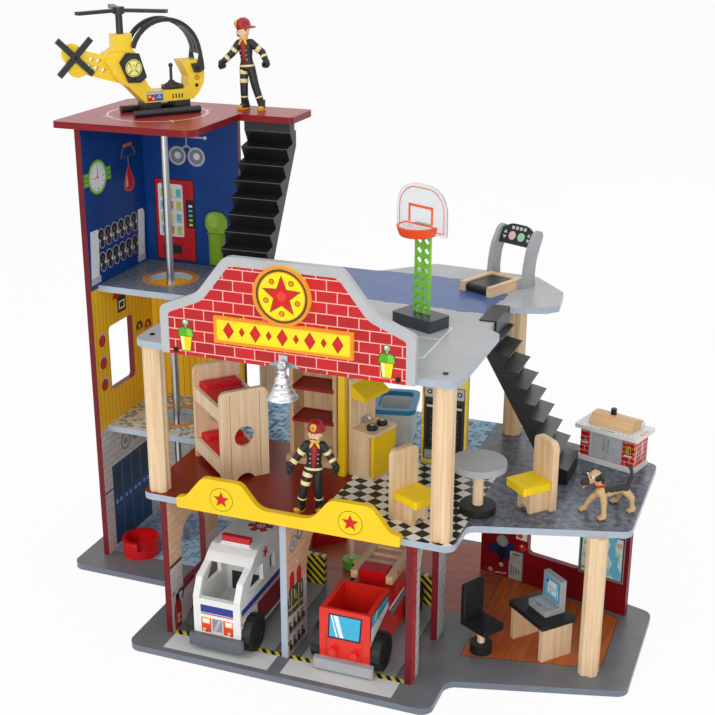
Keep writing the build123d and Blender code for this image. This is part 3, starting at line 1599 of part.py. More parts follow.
# Pet bed, sofa and signal post on the base
pet_bed_x = -127.0
pet_bed_y = 163.0
pet_bed_radius = 25.0
pet_bed_inner = 20.0
pet_bed_height = 23.0
pet_bed_floor = 6.0
pet_bed_notch = 22.0
pet_bed_notch_height = 12.0
sofa_x = 83.6
sofa_y = 253.0
sofa_turn = -46.3
sofa_length = 51.3
sofa_depth = 30.0
sofa_seat = 16.0
sofa_back = 35.0
sofa_arm = 24.0
sofa_pad = 7.0
signal_x = 151.0
signal_y = 227.0
signal_base_radius = 12.3
signal_base_height = 12.0
signal_stem_radius = 3.0
signal_height = 140.0


def make_small_furniture():
    """Pet bed with a low front, sofa, and a post on a round foot."""
    place = Pos(pet_bed_x, pet_bed_y, base_top)
    bed = upright(0, 0, 0, pet_bed_height, pet_bed_radius)
    bed -= upright(0, 0, pet_bed_floor, pet_bed_height + overrun, pet_bed_inner)
    notch = block(pet_bed_inner / 2, 2 * pet_bed_radius, -pet_bed_notch / 2, pet_bed_notch / 2,
                  pet_bed_notch_height, pet_bed_height + overrun)
    bed -= Rot(0, 0, sofa_turn) * notch
    save("pet_bed", place * bed)
    place = Pos(sofa_x, sofa_y, base_top) * Rot(0, 0, sofa_turn)
    sofa = block(-sofa_depth, 0, 0, sofa_length, 0, sofa_seat)
    sofa += block(-sofa_depth, -sofa_depth + sofa_pad, 0, sofa_length, 0, sofa_back)
    for y in (0, sofa_length - sofa_pad):
        sofa += block(-sofa_depth, 0, y, y + sofa_pad, 0, sofa_arm)
    save("sofa", place * sofa)
    post_foot = upright(signal_x, signal_y, base_top, base_top + signal_base_height,
                        signal_base_radius)
    stem = upright(signal_x, signal_y, base_top, base_top + signal_height, signal_stem_radius)
    save("signal_post", post_foot + stem)


# Bendable figures, made with X forward, Y to the left and z = 0 under the boots
front_figure_x = 175.0
front_figure_y = 27.5
front_figure_turn = -78.0
roof_figure_x = -10.5
roof_figure_y = 286.5
roof_figure_turn = -75.0
figure_places = [
    (front_figure_x, front_figure_y, storey_one, front_figure_turn),
    (roof_figure_x, roof_figure_y, roof_top, roof_figure_turn),
]
hip_height = 52.0
hip_half = 5.0
foot_half = 9.5
knee_height = 28.0
boot_length = 15.0
boot_width = 8.5
boot_height = 5.5
shoulder_height = 82.0
shoulder_half = 9.5
elbow_height = 67.0
elbow_half = 17.0
hand_height = 56.0
hand_half = 21.0
limb_thick = 4.6
limb_thin = 3.8
chest_radius = 8.5
waist_radius = 6.2
chest_depth_share = 0.72
hand_radius = 4.4
head_height = 92.5
head_radius = 7.6
brim_radius = 11.0
brim_height = 97.0
brim_thickness = 1.6
helmet_radius = 8.4
helmet_rise = 12.0
knee_forward = 2.0
elbow_back = 1.0
hand_forward = 3.0
hip_radius = 5.0
shoulder_radius = 4.9
elbow_radius = 4.0
seat_radius = 8.2


def figure():
    """One standing figure with boots, coat, arms away from the body and a helmet."""
    body = None
    for side in (-1, 1):
        hip = (0, side * hip_half, hip_height)
        knee = (knee_forward, side * (hip_half + foot_half) / 2, knee_height)
        ankle = (0, side * foot_half, boot_height / 2)
        leg = bar(hip, knee, hip_radius, limb_thick)
        leg += Pos(*knee) * Sphere(limb_thick)
        leg += bar(knee, ankle, limb_thick, limb_thin)
        boot = rounded_box(-boot_width / 2, boot_length - boot_width / 2,
                           side * foot_half - boot_width / 2, side * foot_half + boot_width / 2,
                           0, boot_height, boot_width / 3)
        leg += boot
        shoulder = (0, side * shoulder_half, shoulder_height)
        elbow = (-elbow_back, side * elbow_half, elbow_height)
        hand = (hand_forward, side * hand_half, hand_height)
        arm = bar(shoulder, elbow, limb_thick, limb_thin)
        arm += Pos(*elbow) * Sphere(elbow_radius)
        arm += bar(elbow, hand, limb_thin, limb_thin)
        arm += Pos(*hand) * Sphere(hand_radius)
        arm += Pos(*shoulder) * Sphere(shoulder_radius)
        body = leg + arm if body is None else body + leg + arm
    trunk = bar((0, 0, hip_height - waist_radius / 2), (0, 0, shoulder_height + limb_thin),
                seat_radius, chest_radius)
    body += trunk
    body += Pos(0, 0, head_height) * Sphere(head_radius)
    body += upright(0, 0, brim_height, brim_height + brim_thickness, brim_radius)
    body += bar((0, 0, brim_height), (0, 0, brim_height + helmet_rise), helmet_radius,
                helmet_radius * chest_depth_share)
    return body


def make_figures():
    """Two figures: one on the main floor and one on the roof."""
    placed = [Pos(x, y, z) * Rot(0, 0, turn) * figure() for x, y, z, turn in figure_places]
    save("firefighters", *placed)


# Dog, in its place on the terrace
dog_chest = (483.0, 139.0, 214.0)
dog_rump = (505.0, 157.0, 216.0)
dog_paws = [(464.0, 138.0), (489.0, 122.0), (516.5, 153.0), (493.0, 172.0)]
dog_knees = [(469.0, 138.0, 205.0), (487.0, 130.0, 206.0), (513.0, 153.0, 207.0),
             (498.0, 164.0, 206.0)]
dog_hips = [(478.0, 139.0, 214.0), (485.0, 135.0, 214.0), (506.0, 154.0, 216.0),
            (502.0, 159.0, 216.0)]
dog_head = (474.0, 137.0, 234.0)
dog_nose = (465.0, 129.0, 228.0)
dog_tail = [(506.0, 160.0, 218.0), (510.0, 166.0, 230.0), (505.0, 166.0, 240.0)]
dog_chest_radius = 6.8
dog_rump_radius = 5.6
dog_leg_radius = 4.2
dog_ankle_radius = 3.2
dog_paw_radius = 5.0
dog_head_radius = 7.6
dog_snout_radius = 4.6
dog_ear_radius = 2.6
dog_tail_radius = 2.2
dog_tail_tip_radius = 1.2
dog_knee_radius = 3.8
dog_neck_radius = 5.8
dog_brow_radius = 6.0
dog_tail_root_radius = 3.0
dog_ear_spread = 5.2
dog_ear_setback = 3.0
dog_ear_rise = 3.0
dog_ear_drop = 4.0
dog_ear_splay = 2.0


def make_dog():
    """Dog that stands with its head raised."""
    dog = bar(dog_chest, dog_rump, dog_chest_radius, dog_rump_radius)
    dog += Pos(*dog_chest) * Sphere(dog_chest_radius)
    dog += Pos(*dog_rump) * Sphere(dog_rump_radius)
    for paw, knee, hip in zip(dog_paws, dog_knees, dog_hips):
        ground = (paw[0], paw[1], storey_one + dog_ankle_radius)
        dog += bar(hip, knee, dog_leg_radius, dog_knee_radius)
        dog += Pos(*knee) * Sphere(dog_knee_radius)
        dog += bar(knee, ground, dog_knee_radius, dog_ankle_radius)
        foot = Pos(paw[0], paw[1], storey_one) * Sphere(dog_paw_radius)
        dog += foot - block(paw[0] - 2 * dog_paw_radius, paw[0] + 2 * dog_paw_radius,
                            paw[1] - 2 * dog_paw_radius, paw[1] + 2 * dog_paw_radius,
                            storey_one - 2 * dog_paw_radius, storey_one)
    dog += bar(dog_chest, dog_head, dog_neck_radius, dog_leg_radius)
    dog += Pos(*dog_head) * Sphere(dog_head_radius)
    dog += bar(dog_head, dog_nose, dog_brow_radius, dog_snout_radius)
    dog += Pos(*dog_nose) * Sphere(dog_snout_radius)
    for side in (-1, 1):
        ear_x = dog_head[0] + side * dog_ear_spread + dog_ear_setback
        ear_y = dog_head[1] - side * dog_ear_spread + dog_ear_setback
        root = (ear_x, ear_y, dog_head[2] + dog_ear_rise)
        tip = (ear_x + dog_ear_splay, ear_y + dog_ear_splay, dog_head[2] - dog_ear_drop)
        dog += bar(root, tip, dog_ear_radius, dog_tail_tip_radius)
    dog += bar(dog_tail[0], dog_tail[1], dog_tail_root_radius, dog_tail_radius)
    dog += Pos(*dog_tail[1]) * Sphere(dog_tail_radius)
    dog += bar(dog_tail[1], dog_tail[2], dog_tail_radius, dog_tail_tip_radius)
    save("dog", dog)


make_base()
make_main_floor()
make_decks()
make_tower()
make_bay_walls()
make_hazard_stops()
make_office_wall()
make_interior_walls()
make_posts()
make_sign()
make_rail()
make_stairs()
make_screws()
make_bell()
make_helicopter()
make_ambulance()
make_truck()
make_bunk()
make_shelf_unit()
make_kitchen()
make_bathtub()
make_table()
make_office()
make_grill()
make_hoop()
make_treadmill()
make_small_furniture()
make_figures()
make_dog()

whole_box = Compound(children=list(made.values())).bounding_box()
print("sub-parts", len(made))
print("overall size", whole_box.size)
print("lowest and highest", whole_box.min, whole_box.max)
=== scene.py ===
import bpy
import bmesh
import math
from mathutils import Matrix, Vector


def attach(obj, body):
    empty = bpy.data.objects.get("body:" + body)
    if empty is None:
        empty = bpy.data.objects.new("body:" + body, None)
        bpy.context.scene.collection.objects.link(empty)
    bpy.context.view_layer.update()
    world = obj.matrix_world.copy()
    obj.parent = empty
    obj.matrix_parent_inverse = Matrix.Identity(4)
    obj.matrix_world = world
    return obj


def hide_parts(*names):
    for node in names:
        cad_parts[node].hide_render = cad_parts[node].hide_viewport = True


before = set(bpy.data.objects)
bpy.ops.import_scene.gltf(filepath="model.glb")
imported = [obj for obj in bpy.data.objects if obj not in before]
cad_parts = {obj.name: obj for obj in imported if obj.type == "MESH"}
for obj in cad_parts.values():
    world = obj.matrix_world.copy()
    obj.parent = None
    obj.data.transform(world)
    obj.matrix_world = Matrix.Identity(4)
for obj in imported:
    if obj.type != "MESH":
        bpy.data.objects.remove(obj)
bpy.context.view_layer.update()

# %% [markdown]
# ## Where things are
# The CAD model was drawn from a corner of the building, in millimetres, and then moved so that the
# origin is under its middle. Every length here is written as it is on the real toy, measured from
# that same corner. `stand` gives the matrix that turns those millimetres into the scene's metres,
# for a piece that stands at a place and is turned about the vertical.
# %% Places in millimetres
MM = 0.001
ORIGIN = Vector((169.0, 180.5, 0.0))
STOREY_ONE, STOREY_TWO, ROOF = 190.0, 380.0, 588.0
BASE_TOP = 8.0


def stand(x=0.0, y=0.0, z=0.0, turn=0.0):
    """Matrix from a piece's own millimetres to the scene's metres."""
    corner = (Vector((x, y, z)) - ORIGIN) * MM
    turned_by = Matrix.Rotation(math.radians(turn), 4, "Z")
    return Matrix.Translation(corner) @ turned_by @ Matrix.Scale(MM, 4)


HELICOPTER = stand(-99.0, 228.5, ROOF, 52.0)
BUNK = stand(54.0, 54.0, STOREY_ONE, 138.0)
KITCHEN = stand(183.5, 130.0, STOREY_ONE, 72.5)
OFFICE_WALL = stand(310.0, 281.0, 0.0, -14.0)
OFFICE_CHAIR = stand(362.0, 96.0, BASE_TOP, -30.0)
DESK = stand(387.0, 137.0, BASE_TOP, -41.0)
GRILL = stand(430.6, 275.0, STOREY_ONE, -17.6)
HOOP = stand(261.6, 154.0, STOREY_TWO, -24.0)
TREADMILL = stand(265.0, 300.0, STOREY_TWO, -24.0)
ROOM = stand()

# The five ways a printed face can look: across, up and out of the face.
FACES = {
    "front": ((1, 0, 0), (0, 0, 1), (0, -1, 0)),
    "back": ((1, 0, 0), (0, 0, 1), (0, 1, 0)),
    "right": ((0, 1, 0), (0, 0, 1), (1, 0, 0)),
    "left": ((0, 1, 0), (0, 0, 1), (-1, 0, 0)),
    "up": ((1, 0, 0), (0, 1, 0), (0, 0, 1)),
}


def face_of(place, way, origin):
    """Matrix for a flat face of a placed piece: its own across, up and out directions."""
    across, up, out = FACES[way]
    turn = Matrix((across, up, out)).transposed().to_4x4()
    return place @ Matrix.Translation(origin) @ turn


def added(name, data):
    """A new object at the origin of the scene."""
    thing = bpy.data.objects.new(name, data)
    bpy.context.scene.collection.objects.link(thing)
    return thing


# %% [markdown]
# ## Camera
# The photograph was taken from the right and above, with a long lens, so that upright edges lean
# only a little. The place, the turn and the lens below were worked out from the corners of boards
# whose real places are known.
# %% Camera at the photograph's angle
CAMERA_AT = Vector((687.52, -1183.53, 857.25)) - ORIGIN
CAMERA_AZIMUTH, CAMERA_ELEVATION = 21.06, 20.07
CAMERA_LENS, SENSOR = 65.44, 36.0
CAMERA_SHIFT = (0.0141, -0.0056)

camera_data = bpy.data.cameras.new("camera")
camera_data.lens, camera_data.sensor_width = CAMERA_LENS, SENSOR
camera_data.shift_x, camera_data.shift_y = CAMERA_SHIFT
camera_data.clip_start, camera_data.clip_end = 0.05, 50.0
camera = added("camera", camera_data)
camera.location = CAMERA_AT * MM
camera.rotation_euler = (math.radians(90.0 - CAMERA_ELEVATION), 0.0, math.radians(CAMERA_AZIMUTH))
bpy.context.scene.camera = camera
print("camera at", tuple(round(v, 3) for v in camera.location))

# %% [markdown]
# ## Adding nodes, and colours as they are written
# A material is a small graph. One function adds a node, sets its settings and joins its inputs, so
# that a finish reads from top to bottom like a recipe. Colours are written as the hex values that
# a paint program shows, which are sRGB, and one function turns them into the linear values that
# the renderer needs.
# %% Node and colour helpers


def join(tree, node, inputs):
    """Join each input of a node to a socket, or set it to a value."""
    for name, value in inputs.items():
        if isinstance(value, bpy.types.NodeSocket):
            tree.links.new(value, node.inputs[name])
        else:
            node.inputs[name].default_value = value


def add(tree, kind, inputs=None, **settings):
    """Add a node with its settings and its inputs."""
    node = tree.nodes.new(kind)
    for name, value in settings.items():
        setattr(node, name, value)
    join(tree, node, inputs or {})
    return node


def colour(code):
    """Linear RGBA from an sRGB hex code."""
    parts = [int(code[i:i + 2], 16) / 255 for i in (1, 3, 5)]
    return [p / 12.92 if p <= 0.04045 else ((p + 0.055) / 1.055) ** 2.4 for p in parts] + [1.0]


def blank(name):
    """A new material: its node tree, its shader and its millimetre coordinates."""
    material = bpy.data.materials.new(name)
    material.use_nodes = True
    tree = material.node_tree
    shader = tree.nodes["Principled BSDF"]
    place = add(tree, "ShaderNodeTexCoord")
    return material, tree, shader, place


def in_mm(tree, place, matrix=None):
    """Object coordinates in the millimetres of a placed piece."""
    matrix = matrix or ROOM
    corner, turn, scale = matrix.decompose()
    return add(tree, "ShaderNodeMapping", {
        "Vector": place.outputs["Object"], "Location": corner, "Rotation": turn.to_euler(),
        "Scale": (MM, MM, MM)}, vector_type="TEXTURE").outputs["Vector"]


# %% [markdown]
# ## Light and floor
# The toy stands on white studio paper under large soft lamps. The paper is white for the camera by
# its own colour, and the lamps stay at the level at which a colour renders as it is written. Large
# area lamps give soft shadows, one stands low in front so that the rooms are not dark, and the
# world fills what is left.
# %% Floor, world and lamps
PAPER, PAPER_SIZE = "#F6F6F6", 60.0
PAPER_GLOW = 0.93      # how much of the paper's white comes from the paper itself

WORLD_FILL = 0.5       # strength of the world as light on the toy


def seen_directly(tree):
    """1 for what the camera sees, also by mirrors and through clear things, else 0."""
    paths = add(tree, "ShaderNodeLightPath")
    seen = paths.outputs["Is Camera Ray"]
    for way in ("Is Glossy Ray", "Is Transmission Ray"):
        seen = add(tree, "ShaderNodeMath", {0: seen, 1: paths.outputs[way]},
                   operation="MAXIMUM").outputs[0]
    return seen


half = PAPER_SIZE / 2
floor_mesh = bpy.data.meshes.new("floor")
floor_mesh.from_pydata([(-half, -half, 0), (half, -half, 0), (half, half, 0), (-half, half, 0)],
                       [], [(0, 1, 2, 3)])
floor = added("floor", floor_mesh)
paper, tree, shader, place = blank("studio_paper")
join(tree, shader, {"Base Color": colour(PAPER), "Roughness": 0.9, "Specular IOR Level": 0.1})
share = add(tree, "ShaderNodeMath", {0: seen_directly(tree), 1: PAPER_GLOW}, operation="MULTIPLY")
glow = add(tree, "ShaderNodeEmission", {"Color": (1, 1, 1, 1), "Strength": 1.0})
paper_mix = add(tree, "ShaderNodeMixShader", {0: share.outputs[0], 1: shader.outputs[0],
                                              2: glow.outputs[0]})
join(tree, tree.nodes["Material Output"], {"Surface": paper_mix.outputs[0]})
floor_mesh.materials.append(paper)

world = bpy.data.worlds.new("studio")
world.use_nodes = True
bpy.context.scene.world = world
tree = world.node_tree
fill = add(tree, "ShaderNodeMix", {"Factor": seen_directly(tree), 2: WORLD_FILL, 3: 1.0},
           data_type="FLOAT")
join(tree, tree.nodes["Background"], {"Color": (1, 1, 1, 1), "Strength": fill.outputs[0]})


def lamp(name, at, aim, size, power):
    """A square soft lamp that looks at a point; places in metres."""
    data = bpy.data.lights.new(name, "AREA")
    data.shape, data.size, data.energy = "SQUARE", size, power
    light = added(name, data)
    light.location = at
    light.rotation_euler = (Vector(aim) - Vector(at)).to_track_quat("-Z", "Y").to_euler()


lamp("key", (-1.3, -1.8, 2.2), (0, 0, 0.3), 1.6, 17.0)
lamp("front", (0.5, -2.5, 0.8), (0, 0, 0.3), 1.5, 22.0)
lamp("fill", (2.2, -1.4, 1.4), (0, 0, 0.3), 1.8, 11.0)
lamp("top", (0.2, 0.3, 2.6), (0, 0, 0.2), 1.6, 8.0)
lamp("rear", (0.6, 2.4, 1.6), (0, 0, 0.3), 1.8, 8.0)
bpy.context.scene.view_settings.view_transform = "Standard"
print("stage ready")

# %% [markdown]
# ## The finishes, one for each real material
# Most of the toy is medium-density fibreboard: it is sawn, primed, sprayed and sealed with a satin
# lacquer, so its colour is even, with the very faint cloudiness of a sprayed coat. Brightness that
# wanders by a few percent over some centimetres gives that, and a very low bump gives the lacquer
# its skin. One recipe makes every painted board, and only its hex colour and gloss change.
# %% Painted, moulded and printed finishes
CLOUD_MM = 45.0        # size of the cloudy patches in a sprayed coat
SKIN_MM = 1.2          # size of the fine ripple of a lacquer
FLOW_MM = 14.0         # size of the flow marks in a moulding
DOT_MM = 6.0           # size of the uneven patches in printed ink
# How far the brightness wanders in a sprayed coat, a moulding and ink.
COAT_DRIFT, FLOW_DRIFT, INK_DRIFT = 0.05, 0.03, 0.07


def mottled(tree, spot, code, spread, size_mm):
    """A colour that wanders a little in brightness over patches of a real size."""
    cloud = add(tree, "ShaderNodeTexNoise", {"Vector": spot, "Scale": 1.0 / size_mm,
                                             "Detail": 3.0})
    lift = add(tree, "ShaderNodeMapRange", {"Value": cloud.outputs["Fac"], "From Min": 0.3,
                                            "From Max": 0.7, "To Min": 1.0 - spread,
                                            "To Max": 1.0 + spread})
    return add(tree, "ShaderNodeVectorMath", {0: colour(code)[:3], "Scale": lift.outputs[0]},
               operation="SCALE").outputs[0]


def bumped(tree, shader, spot, size_mm, height_mm):
    """A fine relief over the whole surface, with a real pitch and height."""
    grain = add(tree, "ShaderNodeTexNoise", {"Vector": spot, "Scale": 1.0 / size_mm,
                                             "Detail": 2.0})
    bump = add(tree, "ShaderNodeBump", {"Height": grain.outputs["Fac"], "Strength": 0.35,
                                        "Distance": height_mm * MM})
    join(tree, shader, {"Normal": bump.outputs[0]})


def sprayed(name, code, rough):
    """Lacquered paint on board or wood: even colour, satin skin, faint clouds."""
    material, tree, shader, place = blank(name)
    spot = in_mm(tree, place)
    join(tree, shader, {"Base Color": mottled(tree, spot, code, COAT_DRIFT, CLOUD_MM),
                        "Roughness": rough, "Specular IOR Level": 0.36, "Coat Weight": 0.08,
                        "Coat Roughness": 0.2})
    bumped(tree, shader, spot, SKIN_MM, 0.03)
    return material


def moulded(name, code, rough, texture_mm=0.6, height_mm=0.02):
    """Injection-moulded plastic: the colour runs through, over the faint texture of the mould."""
    material, tree, shader, place = blank(name)
    spot = in_mm(tree, place)
    join(tree, shader, {"Base Color": mottled(tree, spot, code, FLOW_DRIFT, FLOW_MM),
                        "Roughness": rough, "Specular IOR Level": 0.45})
    bumped(tree, shader, spot, texture_mm, height_mm)
    return material


def ink(code):
    """Printing ink under the lacquer: thin, even and a little flatter than paint."""
    material, tree, shader, place = blank("printing_ink_" + code[1:])
    spot = in_mm(tree, place)
    join(tree, shader, {"Base Color": mottled(tree, spot, code, INK_DRIFT, DOT_MM),
                        "Roughness": 0.42, "Specular IOR Level": 0.3})
    bumped(tree, shader, spot, SKIN_MM, 0.015)
    return material


INKS = {}


def inked(code):
    """The ink of a hex colour, made once."""
    if code not in INKS:
        INKS[code] = ink(code)
    return INKS[code]


# %% [markdown]
# ## Bare wood
# Posts, furniture and rungs are pale pine and beech under clear lacquer. Wood is a pattern with a
# direction: growth rings run along the stick and are squeezed across it, so the noise is stretched
# twenty times along the grain. Darker late wood is a thin line in each ring, which a colour ramp
# gives, and a second, finer noise adds the pores.
# %% Wood finish
RING_MM = 2.6          # distance of the growth rings
PORE_DEPTH = 0.05      # depth of the pores, in millimetres
RUNG_GRAIN = (1, 0.06, 1)


def wood(name, pale, dark, matrix=None, along=(1, 1, 0.06)):
    """Lacquered wood with its grain along the axis that has the small stretch."""
    material, tree, shader, place = blank(name)
    spot = in_mm(tree, place, matrix)
    run = add(tree, "ShaderNodeVectorMath", {0: spot, 1: along}, operation="MULTIPLY").outputs[0]
    sway = add(tree, "ShaderNodeTexNoise", {"Vector": run, "Scale": 0.05, "Detail": 2.0})
    bend = add(tree, "ShaderNodeVectorMath", {0: sway.outputs["Color"], 1: (18.0, 18.0, 18.0),
                                              2: run}, operation="MULTIPLY_ADD")
    rings = add(tree, "ShaderNodeTexNoise", {"Vector": bend.outputs[0], "Scale": 1.0 / RING_MM / 3,
                                             "Detail": 4.0, "Roughness": 0.62})
    ramp = add(tree, "ShaderNodeValToRGB", {"Fac": rings.outputs["Fac"]})
    for end, position, code in zip(ramp.color_ramp.elements, (0.26, 0.6), (dark, pale)):
        end.position, end.color = position, colour(code)
    pores = add(tree, "ShaderNodeTexNoise", {"Vector": run, "Scale": 1.4, "Detail": 2.0})
    speck = add(tree, "ShaderNodeMapRange", {"Value": pores.outputs["Fac"], "From Min": 0.35,
                                             "From Max": 0.6, "To Min": 0.96, "To Max": 1.02})
    tone = add(tree, "ShaderNodeVectorMath", {0: ramp.outputs["Color"], "Scale": speck.outputs[0]},
               operation="SCALE")
    bump = add(tree, "ShaderNodeBump", {"Height": pores.outputs["Fac"], "Strength": 0.3,
                                        "Distance": PORE_DEPTH * MM})
    join(tree, shader, {"Base Color": tone.outputs[0], "Roughness": 0.45,
                        "Specular IOR Level": 0.35, "Normal": bump.outputs[0]})
    return material


# %% [markdown]
# ## Metal, rubber, cloth and clear plastic
# The pole is a chromed tube, the bell is plastic with a vacuum-metallised coat, which is a softer
# mirror. The figures are matt PVC over a wire. The mattresses are a napped red cloth, whose sheen
# comes from fibres that stand up. The board of the hoop is clear acrylic.
# %% Metal, rubber, cloth and clear finishes


def metal(name, code, rough, brush_mm=0.0):
    """A metal or metallised surface, with fine brush lines when they have a pitch."""
    material, tree, shader, place = blank(name)
    spot = in_mm(tree, place)
    smear = add(tree, "ShaderNodeTexNoise", {"Vector": spot, "Scale": 0.12, "Detail": 3.0})
    gloss = add(tree, "ShaderNodeMapRange", {"Value": smear.outputs["Fac"], "To Min": rough * 0.75,
                                             "To Max": rough * 1.3})
    join(tree, shader, {"Metallic": 1.0, "Base Color": mottled(tree, spot, code, 0.04, 12.0),
                        "Roughness": gloss.outputs[0]})
    if brush_mm:
        bumped(tree, shader, spot, brush_mm, 0.02)
    return material


def napped_cloth(name, code):
    """Short-pile cloth: a fine weave in the bump and a sheen from standing fibres."""
    material, tree, shader, place = blank(name)
    spot = in_mm(tree, place, BUNK)
    # The thread pitch is 0.4 mm on the real cloth, drawn at 0.8 mm so that it shows.
    weave = [add(tree, "ShaderNodeTexWave", {"Vector": spot, "Scale": 0.4, "Distortion": 0.6},
                 bands_direction=way) for way in ("X", "Y")]
    cross = add(tree, "ShaderNodeMath", {0: weave[0].outputs["Fac"], 1: weave[1].outputs["Fac"]},
                operation="MULTIPLY")
    bump = add(tree, "ShaderNodeBump", {"Height": cross.outputs[0], "Strength": 0.5,
                                        "Distance": 0.15 * MM})
    join(tree, shader, {"Base Color": mottled(tree, spot, code, 0.12, 5.0), "Roughness": 0.88,
                        "Sheen Weight": 0.06, "Sheen Roughness": 0.45, "Normal": bump.outputs[0]})
    return material


def clear_acrylic(name, code):
    """Thin clear plastic, a little milky from its mould."""
    material, tree, shader, place = blank(name)
    spot = in_mm(tree, place)
    join(tree, shader, {"Base Color": colour(code), "Roughness": 0.08, "IOR": 1.49,
                        "Transmission Weight": 0.75})
    bumped(tree, shader, spot, 3.0, 0.01)
    return material


PAINT = {
    "deck_top": sprayed("lacquered_board_light_grey", "#B4B6B8", 0.3),
    "yellow": sprayed("lacquered_board_yellow", "#F7CC12", 0.34),
    "red": sprayed("lacquered_wood_red", "#B00F18", 0.3),
}
PLASTIC = {
    "black": moulded("moulded_plastic_black", "#121215", 0.38, 0.5, 0.03),
    "charcoal": moulded("moulded_plastic_charcoal", "#222327", 0.36),
    "lemon": moulded("moulded_plastic_lemon_yellow", "#F8D32F", 0.32),
    "white": moulded("moulded_plastic_white", "#E9E9E7", 0.25),
    "red": moulded("moulded_plastic_red", "#CE141A", 0.24),
    "truck_red": moulded("moulded_plastic_bright_red", "#E02A1C", 0.2),
    "tyre": moulded("tyre_rubber", "#17171A", 0.6, 0.8, 0.05),
}
CHROME = metal("chromed_tube", "#B9B9BB", 0.3)
BELL_METAL = metal("metallised_plastic", "#CDCFD2", 0.36)
SCREW_METAL = metal("blackened_screw_steel", "#3A332C", 0.4, 0.5)
RED_CLOTH = napped_cloth("napped_cloth_red", "#D40F18")
ACRYLIC = clear_acrylic("clear_acrylic", "#F2F4F6")
POST_WOOD = wood("lacquered_pine_posts", "#EACFAA", "#D6AD7F")
BUNK_WOOD = wood("lacquered_pine_bunk", "#F2DAB8", "#DFBA90", BUNK)
SHELF_WOOD = wood("lacquered_beech_shelves", "#E6C8A0", "#CFA678")
KITCHEN_WOOD = wood("lacquered_pine_kitchen", "#F0D7B4", "#DDB78C", KITCHEN)
CHAIR_WOOD = wood("lacquered_pine_chairs", "#E9CCA4", "#D3A97A")
DESK_WOOD = wood("lacquered_pine_desk", "#EACFAA", "#D6AD7F", DESK)
LID_WOOD = wood("lacquered_pine_grill_lid", "#E2BE90", "#C99A64", GRILL, (0.06, 1, 1))
LADDER_WOOD = wood("lacquered_beech_ladder", "#E9CBA2", "#CBA373", None, RUNG_GRAIN)
TREAD_WOOD = wood("lacquered_pine_rails", "#EACFAA", "#D6AD7F", TREADMILL, RUNG_GRAIN)
print("finishes made:", len(bpy.data.materials))

# %% [markdown]
# ## Giving the CAD nodes their finish
# A CAD node keeps its own mesh, and only its material slots change. Where one board carries more
# than one colour, such as a printed top over sprayed edges, the material itself decides by the
# direction that the face looks in or by where the point is.
# %% Patterns on boards
TILE_JOINT = 0.09      # joint of the square tiles, as a share of a tile


def step(tree, value, edge):
    """1 where the value is above the edge, else 0."""
    return add(tree, "ShaderNodeMath", {0: value, 1: edge}, operation="GREATER_THAN").outputs[0]


def along(tree, spot, direction):
    """How far a point lies along a direction, in millimetres."""
    return add(tree, "ShaderNodeVectorMath", {0: spot, 1: direction},
               operation="DOT_PRODUCT").outputs["Value"]


def blended(tree, mask, low, high):
    """One colour where the mask is 0 and another where it is 1."""
    mix = add(tree, "ShaderNodeMix", {"Factor": mask}, data_type="RGBA")
    for socket, value in ((6, low), (7, high)):
        if isinstance(value, str):
            mix.inputs[socket].default_value = colour(value)
        else:
            tree.links.new(value, mix.inputs[socket])
    return mix.outputs[2]


def inside(tree, spot, corners):
    """Depth in millimetres inside a convex plan outline that runs counter-clockwise."""
    depth = None
    for (x0, y0), (x1, y1) in zip(corners, corners[1:] + corners[:1]):
        length = math.hypot(x1 - x0, y1 - y0)
        normal = (-(y1 - y0) / length, (x1 - x0) / length, 0.0)
        reach = add(tree, "ShaderNodeMath", {0: along(tree, spot, normal),
                                             1: normal[0] * x0 + normal[1] * y0},
                    operation="SUBTRACT").outputs[0]
        depth = reach if depth is None else add(tree, "ShaderNodeMath", {0: depth, 1: reach},
                                                operation="MINIMUM").outputs[0]
    return depth


def rect(x0, y0, x1, y1):
    """Corners of an upright rectangle."""
    return [(x0, y0), (x1, y0), (x1, y1), (x0, y1)]


def floored(tree, spot, face, corners, code, depth=0.0):
    """Lay a colour over the points of a finish that lie inside a plan outline."""
    return blended(tree, step(tree, inside(tree, spot, corners), depth), face, code)


def zigzag(tree, value, pitch):
    """A length that starts again at zero after each pitch, for stripes on both sides of zero."""
    wave = add(tree, "ShaderNodeMath", {0: value, 1: pitch}, operation="MODULO")
    return add(tree, "ShaderNodeMath", {0: wave.outputs[0]}, operation="ABSOLUTE").outputs[0]


def checker(tree, spot, pale, dark, pitch, turn):
    """A two-colour checker with a real pitch, turned in the plan."""
    turned = add(tree, "ShaderNodeVectorRotate", {"Vector": spot, "Angle": math.radians(turn)},
                 rotation_type="Z_AXIS")
    flat = add(tree, "ShaderNodeVectorMath", {0: turned.outputs[0], 1: (1, 1, 0)},
               operation="MULTIPLY")
    lifted = add(tree, "ShaderNodeVectorMath", {0: flat.outputs[0], 1: (0, 0, pitch / 2)},
                 operation="ADD")
    return add(tree, "ShaderNodeTexChecker", {
        "Vector": lifted.outputs[0], "Scale": 1.0 / pitch, "Color1": colour(pale),
        "Color2": colour(dark)}).outputs["Color"]


def mosaic(tree, spot, codes, tile, row):
    """Small bricks or tiles with joints, in a band of colours between two hex codes."""
    return add(tree, "ShaderNodeTexBrick", {
        "Vector": spot, "Color1": colour(codes[0]), "Color2": colour(codes[1]),
        "Mortar": colour(codes[2]), "Scale": 1.0, "Mortar Size": codes[3], "Mortar Smooth": 0.1,
        "Bias": 0.0, "Brick Width": tile, "Row Height": row}, offset=0.5).outputs["Color"]


